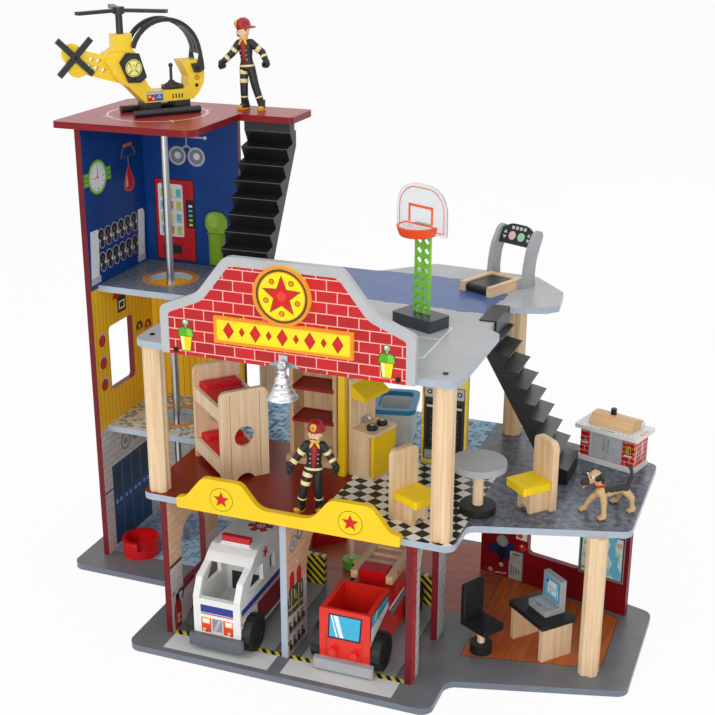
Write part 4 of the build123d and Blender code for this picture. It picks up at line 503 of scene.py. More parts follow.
def tiled(tree, spot, codes, size):
    """Square tiles in a random mix of three colours, with joints in the fourth one."""
    cell = add(tree, "ShaderNodeVectorMath", {0: spot, 1: (1 / size, 1 / size, 0)},
               operation="MULTIPLY").outputs[0]
    whole = add(tree, "ShaderNodeVectorMath", {0: cell}, operation="FLOOR").outputs[0]
    dice = add(tree, "ShaderNodeTexWhiteNoise", {"Vector": whole}).outputs["Value"]
    face = blended(tree, step(tree, dice, 0.36), codes[0], codes[1])
    face = blended(tree, step(tree, dice, 0.7), face, codes[2])
    part = add(tree, "ShaderNodeVectorMath", {0: cell}, operation="FRACTION").outputs[0]
    edges = add(tree, "ShaderNodeSeparateXYZ", {0: part})
    low = add(tree, "ShaderNodeMath", {0: edges.outputs["X"], 1: edges.outputs["Y"]},
              operation="MINIMUM").outputs[0]
    return blended(tree, step(tree, low, TILE_JOINT), codes[3], face)


def stone(tree, spot, dark, pale, size_mm):
    """Mottled slate print: a noise with coarse and fine grain between two greys."""
    grain = add(tree, "ShaderNodeTexNoise", {"Vector": spot, "Scale": 1.0 / size_mm,
                                             "Detail": 6.0, "Roughness": 0.7})
    mask = add(tree, "ShaderNodeMapRange", {"Value": grain.outputs["Fac"], "From Min": 0.38,
                                            "From Max": 0.64})
    return blended(tree, mask.outputs[0], dark, pale)


def planks(tree, spot, pale, dark, along_grain):
    """Printed floor boards: stretched grain between two browns."""
    run = add(tree, "ShaderNodeVectorMath", {0: spot, 1: along_grain}, operation="MULTIPLY")
    grain = add(tree, "ShaderNodeTexNoise", {"Vector": run.outputs[0], "Scale": 0.16,
                                             "Detail": 4.0})
    mask = add(tree, "ShaderNodeMapRange", {"Value": grain.outputs["Fac"], "From Min": 0.35,
                                            "From Max": 0.65})
    return blended(tree, mask.outputs[0], dark, pale)


def printed_board(name, edge_code, paint_top, rough):
    """Board with a printed top: paint_top(tree, spot) gives the print, edges are sprayed."""
    material, tree, shader, place = blank(name)
    spot = in_mm(tree, place)
    edge = mottled(tree, spot, edge_code, COAT_DRIFT, CLOUD_MM)
    facing = add(tree, "ShaderNodeSeparateXYZ", {0: place.outputs["Normal"]}).outputs["Z"]
    face = blended(tree, step(tree, facing, 0.5), edge, paint_top(tree, spot))
    join(tree, shader, {"Base Color": face, "Roughness": rough, "Specular IOR Level": 0.24,
                        "Coat Weight": 0.04, "Coat Roughness": 0.15})
    bumped(tree, shader, spot, SKIN_MM, 0.02)
    return material


# %% [markdown]
# ## Printed floors
# Each floor board is one sheet of print with several rooms on it. The rooms are convex outlines,
# so a point is in a room when it lies on the inner side of every edge, and the smallest of those
# distances also gives the black line round the room. The base has grey lanes with pale aprons and
# striped thresholds, a blue tiled locker room, and the brown boards of the office.
# %% Print of the base board
BAYS = [(9.0, 149.0), (159.0, 299.0)]
OFFICE_FLOOR = [(343, 65), (475, 104), (500, 109), (500, 225), (343, 273)]
STRIPE_PITCH = 11.0
SEAM = 0.8             # black line round the office floor
LANE_GAP, THRESHOLD = 12, 8


def base_print(tree, spot):
    """Lanes, aprons, hazard lines, tiles and the office floor, from the bottom layer up."""
    grain = add(tree, "ShaderNodeTexNoise", {"Vector": spot, "Scale": 0.03, "Detail": 4.0})
    face = blended(tree, grain.outputs["Fac"], "#64656A", "#7C7D80")
    tiles = tiled(tree, spot, ("#7FA6C8", "#A9C3D8", "#6A93BC", "#D5DFE6"), 6.4)
    face = floored(tree, spot, face, rect(-162, 152, -2, 345), tiles)
    brown = planks(tree, spot, "#A85A3E", "#96492F", (0.12, 1.0, 1.0))
    face = floored(tree, spot, face, rect(0, 163, 343, 345), brown)
    orange = planks(tree, spot, "#C06630", "#A85423", (1.0, 0.1, 1.0))
    face = floored(tree, spot, face, OFFICE_FLOOR, "#16181C", -SEAM)
    face = floored(tree, spot, face, OFFICE_FLOOR, orange)
    slant = zigzag(tree, along(tree, spot, (1.0, 0.8, 0.0)), STRIPE_PITCH)
    stripe = blended(tree, step(tree, slant, STRIPE_PITCH / 2), "#E5D33A", "#17171A")
    for left, right in BAYS:
        lane = rect(left + LANE_GAP, THRESHOLD, right - LANE_GAP, 176)
        face = floored(tree, spot, face, lane, "#26272C", -1.0)
        face = floored(tree, spot, face, lane, "#9DA19F")
        face = floored(tree, spot, face, rect(left + 2, -31, right - 4, 0), "#D9DAD8")
        face = floored(tree, spot, face, rect(left, 0, right, THRESHOLD), stripe)
    return face


BASE_BOARD = printed_board("printed_base_board", "#737986", base_print, 0.32)


# %% [markdown]
# The main floor is maroon by the bunk, a black and white checker in the kitchen, slate on the
# terrace and blue mosaic in the wash room. The seams between the rooms are where they meet the
# posts and the furniture.
# %% Print of the main floor, the decks and the roof
POLE_HOLE, PAD_MIDDLE, PAD_LINE = (-92, 215), (-102, 221), "#E4C3BE"
MARGIN = 4             # a storey's picture starts this far below its floor


def main_print(tree, spot):
    """The four rooms of the main floor."""
    kitchen = checker(tree, spot, "#ECEAE2", "#1B1B19", 13.0, 28.0)
    face = mottled(tree, spot, "#821D12", 0.08, 30.0)
    face = floored(tree, spot, face, rect(190, -5, 350, 190), kitchen)
    slate = stone(tree, spot, "#3C4553", "#77808C", 9.0)
    for terrace in ([(350, -5), (530, 45), (530, 350), (350, 350)], rect(308, 192, 351, 350)):
        face = floored(tree, spot, face, terrace, slate)
    tiles = tiled(tree, spot, ("#5D9CC8", "#9CCBE4", "#1F5C92", "#C6DEE9"), 7.0)
    return floored(tree, spot, face, rect(-30, 190, 308, 350), tiles)


def court_print(tree, spot):
    """Light grey court with white lines."""
    face = mottled(tree, spot, "#B5B7B9", 0.05, 40.0)
    for line in (rect(297, 52, 299, 158), rect(40, 113, 298, 115), rect(40, 51, 298, 53),
                 rect(215, 156, 299, 158)):
        face = floored(tree, spot, face, line, "#E9EAEA")
    return face


def rear_print(tree, spot):
    """Grey deck with the ragged edge of a blue mat, and tiles behind the tower."""
    face = mottled(tree, spot, "#B2B4B6", 0.05, 40.0)
    ripple = add(tree, "ShaderNodeTexNoise", {"Vector": spot, "Scale": 0.06, "Detail": 5.0})
    wobble = add(tree, "ShaderNodeMath", {0: ripple.outputs["Fac"], 1: 16.0, 2: -8.0},
                 operation="MULTIPLY_ADD")
    mat = inside(tree, spot, [(58, 222), (322, 214), (330, 300), (300, 345), (58, 352)])
    edge = add(tree, "ShaderNodeMath", {0: mat, 1: wobble.outputs[0]}, operation="ADD")
    return blended(tree, step(tree, edge.outputs[0], 4.0), face,
                   mottled(tree, spot, "#46639A", 0.08, 18.0))


def ringed(tree, spot, face, middle, inner, outer, code):
    """Lay a flat ring of colour round an upright axis over a finish."""
    offset = add(tree, "ShaderNodeVectorMath", {0: spot, 1: (*middle, 0)}, operation="SUBTRACT")
    level = add(tree, "ShaderNodeVectorMath", {0: offset.outputs[0], 1: (1, 1, 0)},
                operation="MULTIPLY")
    reach = add(tree, "ShaderNodeVectorMath", {0: level.outputs[0]},
                operation="LENGTH").outputs["Value"]
    below = add(tree, "ShaderNodeMath", {0: reach, 1: outer}, operation="LESS_THAN").outputs[0]
    ring = add(tree, "ShaderNodeMath", {0: step(tree, reach, inner), 1: below},
               operation="MULTIPLY").outputs[0]
    return blended(tree, ring, face, code)


def tower_floor_print(tree, spot):
    """Tiles below, slate above, with a painted ring round the hole of the pole."""
    slate = stone(tree, spot, "#4E5A68", "#8D98A4", 5.0)
    tiles = tiled(tree, spot, ("#D2CEBF", "#8B949B", "#E4E0D2", "#A9A89D"), 5.6)
    upper = step(tree, along(tree, spot, (0, 0, 1)), STOREY_TWO - MARGIN)
    face = blended(tree, upper, tiles, slate)
    return ringed(tree, spot, face, POLE_HOLE, 28.0, 36.2, "#D98A2B")


def roof_print(tree, spot):
    """Dusty red roof with a pale ring and four ticks for landing."""
    face = mottled(tree, spot, "#9E3230", 0.07, 30.0)
    face = ringed(tree, spot, face, PAD_MIDDLE, 59.5, 62.5, PAD_LINE)
    x, y = PAD_MIDDLE
    for dx, dy in ((44, 44), (-44, 44), (44, -44), (-44, -44)):
        turn = math.atan2(dy, dx)
        c, s = math.cos(turn), math.sin(turn)
        tick = [(x + dx + u * c - v * s, y + dy + u * s + v * c)
                for u, v in rect(-7, -1.5, 7, 1.5)]
        face = floored(tree, spot, face, tick, PAD_LINE)
    return face


PALE_EDGE = "#A9B4C2"
MAIN_BOARD = printed_board("printed_main_floor", PALE_EDGE, main_print, 0.28)
COURT_BOARD = printed_board("printed_court_deck", PALE_EDGE, court_print, 0.25)
REAR_BOARD = printed_board("printed_rear_deck", PALE_EDGE, rear_print, 0.25)
TOWER_FLOOR = printed_board("printed_tower_floor", PALE_EDGE, tower_floor_print, 0.35)
ROOF_BOARD = printed_board("printed_tower_roof", "#7E141C", roof_print, 0.3)


# %% [markdown]
# ## Printed walls
# The walls of the tower carry one picture per storey: a blue gym on top, pale striped boards in
# the middle and pale blocks with blue lockers below. The background of each storey is painted here
# by height, and the things on the walls come later as thin layers of ink. The cut edges stay
# maroon.
# %% Print of the walls
SLAT, SLAT_GROOVE = 9.0, 0.8


def storeys(tree, spot, low, middle, high):
    """A colour for each storey, split at the floor heights."""
    height = along(tree, spot, (0, 0, 1))
    face = blended(tree, step(tree, height, STOREY_ONE - MARGIN), low, middle)
    return blended(tree, step(tree, height, STOREY_TWO - MARGIN), face, high)


def blocks(tree, spot, codes, width, row, across):
    """Block or brick bond on an upright wall; across picks the plan axis that it runs along."""
    lay = add(tree, "ShaderNodeSeparateXYZ", {0: spot})
    flat = add(tree, "ShaderNodeCombineXYZ", {0: lay.outputs[across], 1: lay.outputs["Z"]})
    return mosaic(tree, flat.outputs[0], codes, width, row)


def tower_print(across):
    """Print of a tower wall that runs along one plan axis."""
    def paint(tree, spot):
        pale = blocks(tree, spot, ("#D9D4D0", "#CFC8C4", "#A9A29E", 0.5), 17.0, 9.0, across)
        lay = add(tree, "ShaderNodeSeparateXYZ", {0: spot})
        slat = zigzag(tree, lay.outputs[across], SLAT)
        stripe = blended(tree, step(tree, slat, SLAT - SLAT_GROOVE), "#F2BC2A", "#A97A12")
        blue = mottled(tree, spot, "#043A80", 0.10, 20.0)
        return storeys(tree, spot, pale, stripe, blue)
    return paint


def wall_finish(name, across, paint, edge="#6E141D"):
    """Wall board: print on the side that faces into the room, sprayed paint elsewhere. A wall that
    runs along X faces the front, and one that runs along Y faces the right."""
    material, tree, shader, place = blank(name)
    spot = in_mm(tree, place)
    normal, sign = ("Y", -1.0) if across == "X" else ("X", 1.0)
    facing = add(tree, "ShaderNodeSeparateXYZ", {0: place.outputs["Normal"]}).outputs[normal]
    toward = add(tree, "ShaderNodeMath", {0: facing, 1: sign}, operation="MULTIPLY").outputs[0]
    face = blended(tree, step(tree, toward, 0.5), mottled(tree, spot, edge, 0.06, CLOUD_MM),
                   paint(tree, spot))
    join(tree, shader, {"Base Color": face, "Roughness": 0.4, "Specular IOR Level": 0.28})
    bumped(tree, shader, spot, SKIN_MM, 0.02)
    return material


def garage_print(tree, spot):
    """Beige blocks on top and pale panels below, as in the bays."""
    beige = blocks(tree, spot, ("#E6BC98", "#DDAE8A", "#C79A78", 0.5), 19.0, 10.0, "Y")
    pale = blocks(tree, spot, ("#D8CFCC", "#D0C5C2", "#B6AAA6", 0.5), 19.0, 12.0, "Y")
    height = along(tree, spot, (0, 0, 1))
    return blended(tree, step(tree, height, 92.0), pale, beige)


def right_bay_print(tree, spot):
    """Red bricks beside a pale strip."""
    red = blocks(tree, spot, ("#B8262B", "#A51F25", "#D46A5E", 0.5), 16.0, 8.0, "Y")
    grey = blocks(tree, spot, ("#C9C9C6", "#BDBDBA", "#8E8E8C", 0.6), 12.0, 12.0, "Y")
    return blended(tree, step(tree, along(tree, spot, (0, 1, 0)), 14.0), red, grey)


def office_print(tree, spot):
    """Dark red office wall with faint panels."""
    return mottled(tree, spot, "#7A0711", 0.12, 25.0)


TOWER_SIDE = wall_finish("printed_tower_side", "Y", tower_print("Y"))
TOWER_BACK = wall_finish("printed_tower_back", "X", tower_print("X"))
BAY_LEFT = wall_finish("printed_bay_wall_left", "Y", garage_print)
BAY_CENTRE = wall_finish("printed_bay_wall_centre", "Y", garage_print, PALE_EDGE)
BAY_RIGHT = wall_finish("printed_bay_wall_right", "Y", right_bay_print)
OFFICE_BOARD = wall_finish("printed_office_wall", "X", office_print)
print("printed boards ready")

# %% [markdown]
# ## Which finish each node gets
# The list below reads like the maker's own paint list. Nodes with one finish take it whole. Nodes
# that hold pieces of two finishes, such as a chair with a painted seat, take a finish that changes
# with the height or the place, or get a painted layer later.
# %% Finishes of the CAD nodes
COAT_MM = 12.0         # size of the cloudy patches in a brushed coat of paint


def dress(node, material):
    """Give a CAD node one finish."""
    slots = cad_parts[node].data.materials
    slots.clear()
    slots.append(material)


def two_level(name, low, high, height, rough):
    """A turned or moulded piece that changes colour at a height; both colours are hex codes."""
    material, tree, shader, place = blank(name)
    spot = in_mm(tree, place)
    face = blended(
        tree, step(tree, along(tree, spot, (0, 0, 1)), height),
        mottled(tree, spot, low, 0.05, COAT_MM), mottled(tree, spot, high, 0.05, COAT_MM))
    join(tree, shader, {"Base Color": face, "Roughness": rough, "Specular IOR Level": 0.36})
    bumped(tree, shader, spot, SKIN_MM, 0.02)
    return material


def opened(material):
    """A finish that exists: its tree, its coordinates, its colour socket and what feeds it."""
    tree = material.node_tree
    shader = next(node for node in tree.nodes if node.type == "BSDF_PRINCIPLED")
    place = next(node for node in tree.nodes if node.type == "TEX_COORD")
    bare = shader.inputs["Base Color"]
    return tree, place, bare, bare.links[0].from_socket


def tipped(material, matrix, height, code):
    """Paint over a finish everything that lies above a height, such as the knob on a lid."""
    tree, place, bare, face = opened(material)
    above = step(tree, along(tree, in_mm(tree, place, matrix), (0, 0, 1)), height)
    tree.links.new(blended(tree, above, face, code), bare)


LID_TOP = 60.3         # top of the wooden lid over the terrace
TUB_RIM, HOOP_FOOT = 41.5, 14.2        # heights where the colour changes
tipped(LID_WOOD, GRILL, LID_TOP + 0.4, "#17171A")
PLAIN = {
    "base_plate": BASE_BOARD, "main_floor": MAIN_BOARD, "court_deck": COURT_BOARD,
    "rear_deck": REAR_BOARD, "tower_floors": TOWER_FLOOR, "tower_roof": ROOF_BOARD,
    "tower_side_wall": TOWER_SIDE, "tower_back_wall": TOWER_BACK, "bay_wall_left": BAY_LEFT,
    "bay_wall_centre": BAY_CENTRE, "bay_wall_right": BAY_RIGHT, "office_wall": OFFICE_BOARD,
    "interior_walls": PAINT["yellow"], "balcony_rail": PAINT["yellow"], "fire_pole": CHROME,
    "posts": POST_WOOD, "upper_stairs": PLASTIC["black"], "lower_stairs": PLASTIC["black"],
    "screws": SCREW_METAL, "bell": BELL_METAL, "bell_hanger": BELL_METAL,
    "helicopter_body": PLASTIC["lemon"], "helicopter_canopy": PLASTIC["charcoal"],
    "main_rotor": PLASTIC["charcoal"], "tail_rotor": PLASTIC["charcoal"],
    "helicopter_skids": PLASTIC["charcoal"], "ambulance_body": PLASTIC["white"],
    "ambulance_front_axle": PLASTIC["tyre"], "ambulance_rear_axle": PLASTIC["tyre"],
    "truck_front_axle": PLASTIC["tyre"], "truck_rear_axle": PLASTIC["tyre"],
    "truck_body": PLASTIC["truck_red"], "truck_turntable": PLASTIC["red"],
    "truck_ladder": LADDER_WOOD, "bunk_frame": BUNK_WOOD, "shelf_unit": SHELF_WOOD,
    "kitchen_cabinet": KITCHEN_WOOD, "kitchen_door": PAINT["yellow"],
    "dining_chairs": CHAIR_WOOD, "grill_lid": LID_WOOD,
    "treadmill_frame": TREAD_WOOD, "treadmill_belt": PLASTIC["black"],
    "treadmill_console": PLASTIC["black"], "sofa": PAINT["red"], "pet_bed": PLASTIC["red"],
    "hoop_backboard": ACRYLIC, "desk": DESK_WOOD, "bunk_mattresses": RED_CLOTH,
    "firefighters": PLASTIC["black"], "dog": PLASTIC["black"], "sign_board": PAINT["deck_top"],
    "bathtub": two_level("moulded_tub_white_with_blue_rim", "#EDF1F2", "#2F93CC",
                         STOREY_ONE + TUB_RIM, 0.3),
    "hoop_stand": two_level("slate_foot_green_column", "#3A3F47", "#79C630",
                            STOREY_TWO + HOOP_FOOT, 0.32),
}
for node_name, finish in PLAIN.items():
    dress(node_name, finish)
print("nodes dressed:", len(PLAIN))

# %% [markdown]
# ## Layers of ink
# A printed picture is built as a stack of flat shapes, each a few hundredths of a millimetre
# higher than the one below, just as screen printing lays one colour over another. The shapes are
# drawn in millimetres on the face that carries them. A layer that thin stays crisp from close by,
# casts no shadow to speak of, and moves with its board.
# %% Ink layers
FIRST_LAYER, LAYER = 0.05, 0.04     # height of the first and of each further layer


def disc(x, y, radius, count=36):
    """Corners of a circle."""
    return [(x + radius * math.cos(2 * math.pi * i / count),
             y + radius * math.sin(2 * math.pi * i / count)) for i in range(count)]


def rounded(x0, y0, x1, y1, radius, count=5):
    """Corners of a rectangle with round corners."""
    corners = []
    for cx, cy, start in ((x1 - radius, y1 - radius, 0), (x0 + radius, y1 - radius, 90),
                          (x0 + radius, y0 + radius, 180), (x1 - radius, y0 + radius, 270)):
        for i in range(count + 1):
            angle = math.radians(start + 90 * i / count)
            corners.append((cx + radius * math.cos(angle), cy + radius * math.sin(angle)))
    return corners


def strip(x0, y0, x1, y1, width):
    """Corners of a straight line with a width."""
    length = math.hypot(x1 - x0, y1 - y0)
    dx, dy = -(y1 - y0) / length * width / 2, (x1 - x0) / length * width / 2
    return [(x0 + dx, y0 + dy), (x0 - dx, y0 - dy), (x1 - dx, y1 - dy), (x1 + dx, y1 + dy)]


def ray(x, y, near, far, degrees, width):
    """Corners of a line that points away from a middle, clockwise from the top."""
    s, c = math.sin(math.radians(degrees)), math.cos(math.radians(degrees))
    return strip(x + near * s, y + near * c, x + far * s, y + far * c, width)


def scaled(corners, x, y, across, up):
    """Corners of an outline made wider and taller about a point."""
    return [(x + (u - x) * across, y + (v - y) * up) for u, v in corners]


def star(x, y, outer, inner, points):
    """Corners of a star."""
    return [(x + r * math.sin(math.pi * i / points), y + r * math.cos(math.pi * i / points))
            for i, r in enumerate([outer, inner] * points)]


def worked_out(thing):
    """A plain mesh of an object with its modifiers applied."""
    return bpy.data.meshes.new_from_object(thing.evaluated_get(
        bpy.context.evaluated_depsgraph_get()))


def piece_of(mesh, name, finishes, body, stands_for):
    """A finished piece that rides on a body, from a mesh that is already in place."""
    for finish in finishes:
        mesh.materials.append(finish)
    piece = added(name, mesh)
    if stands_for:
        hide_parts(*stands_for)
    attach(piece, body)
    return piece


def keep(name, bm, finishes, body, smooth=False, stands_for=()):
    """Turn a bmesh in metres into a finished piece, with its faces outward."""
    bmesh.ops.recalc_face_normals(bm, faces=bm.faces)
    mesh = bpy.data.meshes.new(name)
    bm.to_mesh(mesh)
    bm.free()
    if smooth:
        mesh.polygons.foreach_set("use_smooth", [True] * len(mesh.polygons))
    return piece_of(mesh, name, finishes, body, stands_for)


def rings_to_skin(bm, rings, finish):
    """Join rings of vertices into a closed skin with a finish index."""
    faces = []
    for low, high in zip(rings, rings[1:]):
        for i in range(len(low)):
            j = (i + 1) % len(low)
            faces.append(bm.faces.new((low[i], low[j], high[j], high[i])))
    faces.append(bm.faces.new(rings[0][::-1]))
    faces.append(bm.faces.new(rings[-1]))
    for face in faces:
        face.material_index = finish


def prints(name, surface, shapes, body="station"):
    """A stack of ink shapes on a flat face: shapes are (hex code or material, corners, layer)."""
    bm = bmesh.new()
    finishes = []
    for code, corners, layer in shapes:
        finish = inked(code) if isinstance(code, str) else code
        if finish not in finishes:
            finishes.append(finish)
        level = FIRST_LAYER + LAYER * layer
        low = [bm.verts.new(surface @ Vector((u, v, 0.0))) for u, v in corners]
        high = [bm.verts.new(surface @ Vector((u, v, level))) for u, v in corners]
        rings_to_skin(bm, [low, high], finishes.index(finish))
    return keep(name, bm, finishes, body)


print("ink layers ready")

# %% [markdown]
# ## Two finishes on one piece
# Many pieces are part bare, part painted: a chair of clear pine has a yellow seat. The CAD keeps
# such a piece as one node, so its finish is told where each coat ends. A coat is a box in the
# millimetres of the placed piece, and inside it the colour of the wood gives way to the paint.
# %% Local coats of paint


def boxed(tree, spot, low, high):
    """1 inside a box of real size, else 0."""
    middle = [(a + b) / 2 for a, b in zip(low, high)]
    half = [(b - a) / 2 for a, b in zip(low, high)]
    away = add(tree, "ShaderNodeVectorMath", {0: spot, 1: middle}, operation="SUBTRACT")
    size = add(tree, "ShaderNodeVectorMath", {0: away.outputs[0]}, operation="ABSOLUTE")
    over = add(tree, "ShaderNodeVectorMath", {0: size.outputs[0], 1: half}, operation="SUBTRACT")
    lay = add(tree, "ShaderNodeSeparateXYZ", {0: over.outputs[0]})
    widest = add(tree, "ShaderNodeMath", {0: lay.outputs[0], 1: lay.outputs[1]},
                 operation="MAXIMUM")
    widest = add(tree, "ShaderNodeMath", {0: widest.outputs[0], 1: lay.outputs[2]},
                 operation="MAXIMUM")
    return add(tree, "ShaderNodeMath", {0: widest.outputs[0], 1: 0.0},
               operation="LESS_THAN").outputs[0]


def coated(material, coats):
    """Lay coats of paint over a finish: each is (matrix, low corner, high corner, hex code)."""
    tree, place, bare, face = opened(material)
    for matrix, low, high, code in coats:
        spot = in_mm(tree, place, matrix)
        face = blended(tree, boxed(tree, spot, low, high), face,
                       mottled(tree, spot, code, 0.05, COAT_MM))
    tree.links.new(face, bare)
    return material


def bonded(material, matrix, low, high, codes, brick, course):
    """Lay a printed brick bond over a box of a finish, seen from the front and the sides."""
    tree, place, bare, face = opened(material)
    spot = in_mm(tree, place, matrix)
    lay = add(tree, "ShaderNodeSeparateXYZ", {0: spot})
    round_the_corner = add(tree, "ShaderNodeMath", {0: lay.outputs[0], 1: lay.outputs[1]})
    flat = add(tree, "ShaderNodeCombineXYZ", {0: round_the_corner.outputs[0], 1: lay.outputs[2]})
    bond = mosaic(tree, flat.outputs[0], codes, brick, course)
    tree.links.new(blended(tree, boxed(tree, spot, low, high), face, bond), bare)
    return material


CHAIRS = [stand(265.0, 40.0, STOREY_ONE, -30.0), stand(407.7, 148.9, STOREY_ONE, 229.0)]
TABLE = stand(352.7, 92.5, STOREY_ONE)
SIGNAL = stand(151.0, 227.0, BASE_TOP)
SILVER, LACQUER_BLACK, SEAT_YELLOW = "#A6A8AB", "#1A1B1D", "#F4D016"
FAR = 500.0                            # beyond the ends of every piece
coated(CHAIR_WOOD, [(m, (8.2, -2, 26.8), (60, 38, 36.4), SEAT_YELLOW) for m in CHAIRS])
coated(DESK_WOOD, [(DESK, (-FAR, -FAR, 43), (FAR, FAR, 49.2), LACQUER_BLACK),
                   (DESK, (-FAR, -FAR, 49.2), (FAR, FAR, FAR), SILVER)])
coated(TREAD_WOOD, [(TREADMILL, (-20, 50, -2), (0.05, 120, 99), SILVER),
                    (TREADMILL, (48.95, 50, -2), (70, 120, 99), SILVER)])
coated(SHELF_WOOD, [(ROOM, (102.5, 149, STOREY_ONE + z - 0.5),
                     (156.5, 185, STOREY_ONE + z + 5.5), "#94161E") for z in (49.14, 91.0)])
coated(KITCHEN_WOOD, [
    (KITCHEN, (6, -31, 60.05), (40, -16, 62), LACQUER_BLACK),
    (KITCHEN, (17, -14, 60.05), (30, -3.5, 69), SILVER),
    (KITCHEN, (-1, -25, 97.5), (48, -3.9, 115.5), SEAT_YELLOW)])
coated(PLASTIC["truck_red"], [(ROOM, (186, -14, 10), (272, -2.05, 25), "#A9ACB1")])
coated(PAINT["yellow"], [(KITCHEN, (-5, -45, 20), (60, -35.5, 40), SILVER)])
GLOSSY_STEM, TABLE_STEM, SIGNAL_STEM = [wood("lacquered_birch_" + use, "#EFD9B8", "#DCB98D")
                                        for use in ("stems", "table", "signal")]
coated(GLOSSY_STEM, [
    (OFFICE_CHAIR, (-FAR, -FAR, -2), (FAR, FAR, 12.2), LACQUER_BLACK),
    (OFFICE_CHAIR, (-FAR, -FAR, 32.8), (FAR, FAR, FAR), LACQUER_BLACK)])
coated(TABLE_STEM, [(TABLE, (-FAR, -FAR, -2), (FAR, FAR, 9.2), LACQUER_BLACK),
                    (TABLE, (-FAR, -FAR, 53.8), (FAR, FAR, FAR), SILVER)])
coated(SIGNAL_STEM, [(SIGNAL, (-FAR, -FAR, -2), (FAR, FAR, 12.4), "#5FA93C")])
LIGHT_BAR = moulded("moulded_plastic_bumper_and_beacon", "#5E646C", 0.3)
coated(LIGHT_BAR, [(ROOM, (-FAR, -FAR, 118), (FAR, FAR, 124.6), "#E9E9E7"),
                   (ROOM, (-FAR, -FAR, 124.6), (FAR, FAR, FAR), "#C4161C")])
coated(PLASTIC["lemon"], [
    (HELICOPTER, (-60, side - 1.8, 38), (-23, side + 1.8, 78), "#2B2C2F") for side in (-14, 14)])
BRICK_REDS = ("#CB1019", "#A80F17", "#F0B4A6")     # two bricks and their joints
GRILL_BODY = sprayed("printed_board_grill", "#E2E2E0", 0.32)
bonded(GRILL_BODY, GRILL, (-2, -2, 6), (74, 37, 42), (*BRICK_REDS, 0.45), 12.0, 6.2)
BRICKWORK = sprayed("printed_brickwork_on_board", "#C1121B", 0.34)
bonded(BRICKWORK, ROOM, (-FAR, -FAR, -FAR), (FAR, FAR, FAR), (*BRICK_REDS, 0.6), 23.5, 12.2)
PLAQUE = moulded("moulded_plaque_orange_edge", "#F08A1E", 0.3)
coated(PLAQUE, [(ROOM, (-FAR, -18.3, -FAR), (FAR, -14.0, FAR), "#F4DC12")])
HAZARD = sprayed("printed_hazard_stripes", "#E9CC1C", 0.36)


def slanted(material, pitch, codes):
    """Diagonal stripes over a whole finish, forty-five degrees in the upright plane."""
    tree, place, bare, _ = opened(material)
    run = along(tree, in_mm(tree, place), (1.0, 0.0, 1.0))
    wave = add(tree, "ShaderNodeMath", {0: run, 1: 0.0, 2: pitch}, operation="WRAP")
    tree.links.new(blended(tree, step(tree, wave.outputs[0], pitch / 2), *codes), bare)


slanted(HAZARD, 10.5, ("#D9C22A", "#1B1B1B"))
for node_name, finish in {
        "office_chair": GLOSSY_STEM, "dining_table": TABLE_STEM, "signal_post": SIGNAL_STEM,
        "ambulance_trim": LIGHT_BAR, "grill_cabinet": GRILL_BODY, "sign_plaque": PLAQUE,
        "hazard_stops": HAZARD}.items():
    dress(node_name, finish)
print("local coats laid")

# %% [markdown]
# ## The sign
# The sign is a print under lacquer: a brick bond with pale joints that stops ten millimetres short
# of the sawn edge, so that a grey frame is left. The medallion and the plaque have a raised orange
# edge; one carries a plain star and the other a row of lozenges. Two carriage lamps are printed at
# the sides.
# %% Sign prints
SIGN_FACE, FIELD_FACE, FRAME_GAP = -15.0, -17.8, 10.0
SIGN_UNDER, SIGN_MIDDLE = 373.5, 166.0
ARCH_HALF, ARCH_RISE = 20.0, 8.5


def inset(corners, gap):
    """Move every side of a counter-clockwise outline inward by a gap."""
    moved = []
    for (ax, ay, _), (bx, by, r), (cx, cy, _) in zip(corners[-1:] + corners[:-1], corners,
                                                     corners[1:] + corners[:1]):
        d1, d2 = Vector((bx - ax, by - ay)).normalized(), Vector((cx - bx, cy - by)).normalized()
        n1, n2 = Vector((-d1.y, d1.x)), Vector((-d2.y, d2.x))
        push = (n1 + n2) / (1.0 + n1.dot(n2)) * gap
        moved.append((bx + push.x, by + push.y, r))
    return moved


def softened(corners, count=7):
    """Outline whose corners (x, y, radius) are turned into arcs."""
    points = []
    for (ax, ay, _), (bx, by, r), (cx, cy, _) in zip(corners[-1:] + corners[:-1], corners,
                                                     corners[1:] + corners[:1]):
        if r <= 0:
            points.append((bx, by))
            continue
        here = Vector((bx, by))
        d1, d2 = (Vector((ax, ay)) - here).normalized(), (Vector((cx, cy)) - here).normalized()
        half = d1.angle(d2) / 2
        reach = r / math.tan(half)
        middle = here + (d1 + d2).normalized() * (r / math.sin(half))
        start, end = here + d1 * reach - middle, here + d2 * reach - middle
        sweep_angle = start.angle_signed(end)
        for i in range(count + 1):
            turn = start.copy()
            turn.rotate(Matrix.Rotation(-sweep_angle * i / count, 2))
            points.append(tuple(middle + turn))
    return points


SIGN_CORNERS = [
    (21.0, SIGN_UNDER - FRAME_GAP, 0), (311.0, SIGN_UNDER - FRAME_GAP, 0), (311.0, 426.5, 5),
    (266.0, 445.5, 28), (232.0, 489.0, 10), (100.0, 489.0, 10), (66.0, 445.5, 28),
    (21.0, 426.5, 5)]
bricks = softened(inset(SIGN_CORNERS, FRAME_GAP))
arch_radius = (ARCH_HALF ** 2 + ARCH_RISE ** 2) / (2 * ARCH_RISE)
arch_middle = SIGN_UNDER + ARCH_RISE - arch_radius
arch = [(SIGN_MIDDLE + u, arch_middle + math.sqrt(arch_radius ** 2 - u ** 2))
        for u in (-ARCH_HALF + 2 * ARCH_HALF * i / 12 for i in range(13))]
bricks = [bricks[0]] + arch + bricks[1:]
sign_face = face_of(ROOM, "front", (0, SIGN_FACE, 0))
LAMP_SHADOW, LAMP_GREEN, LAMP_YELLOW = "#3B3A1C", "#57A81F", "#F2D413"


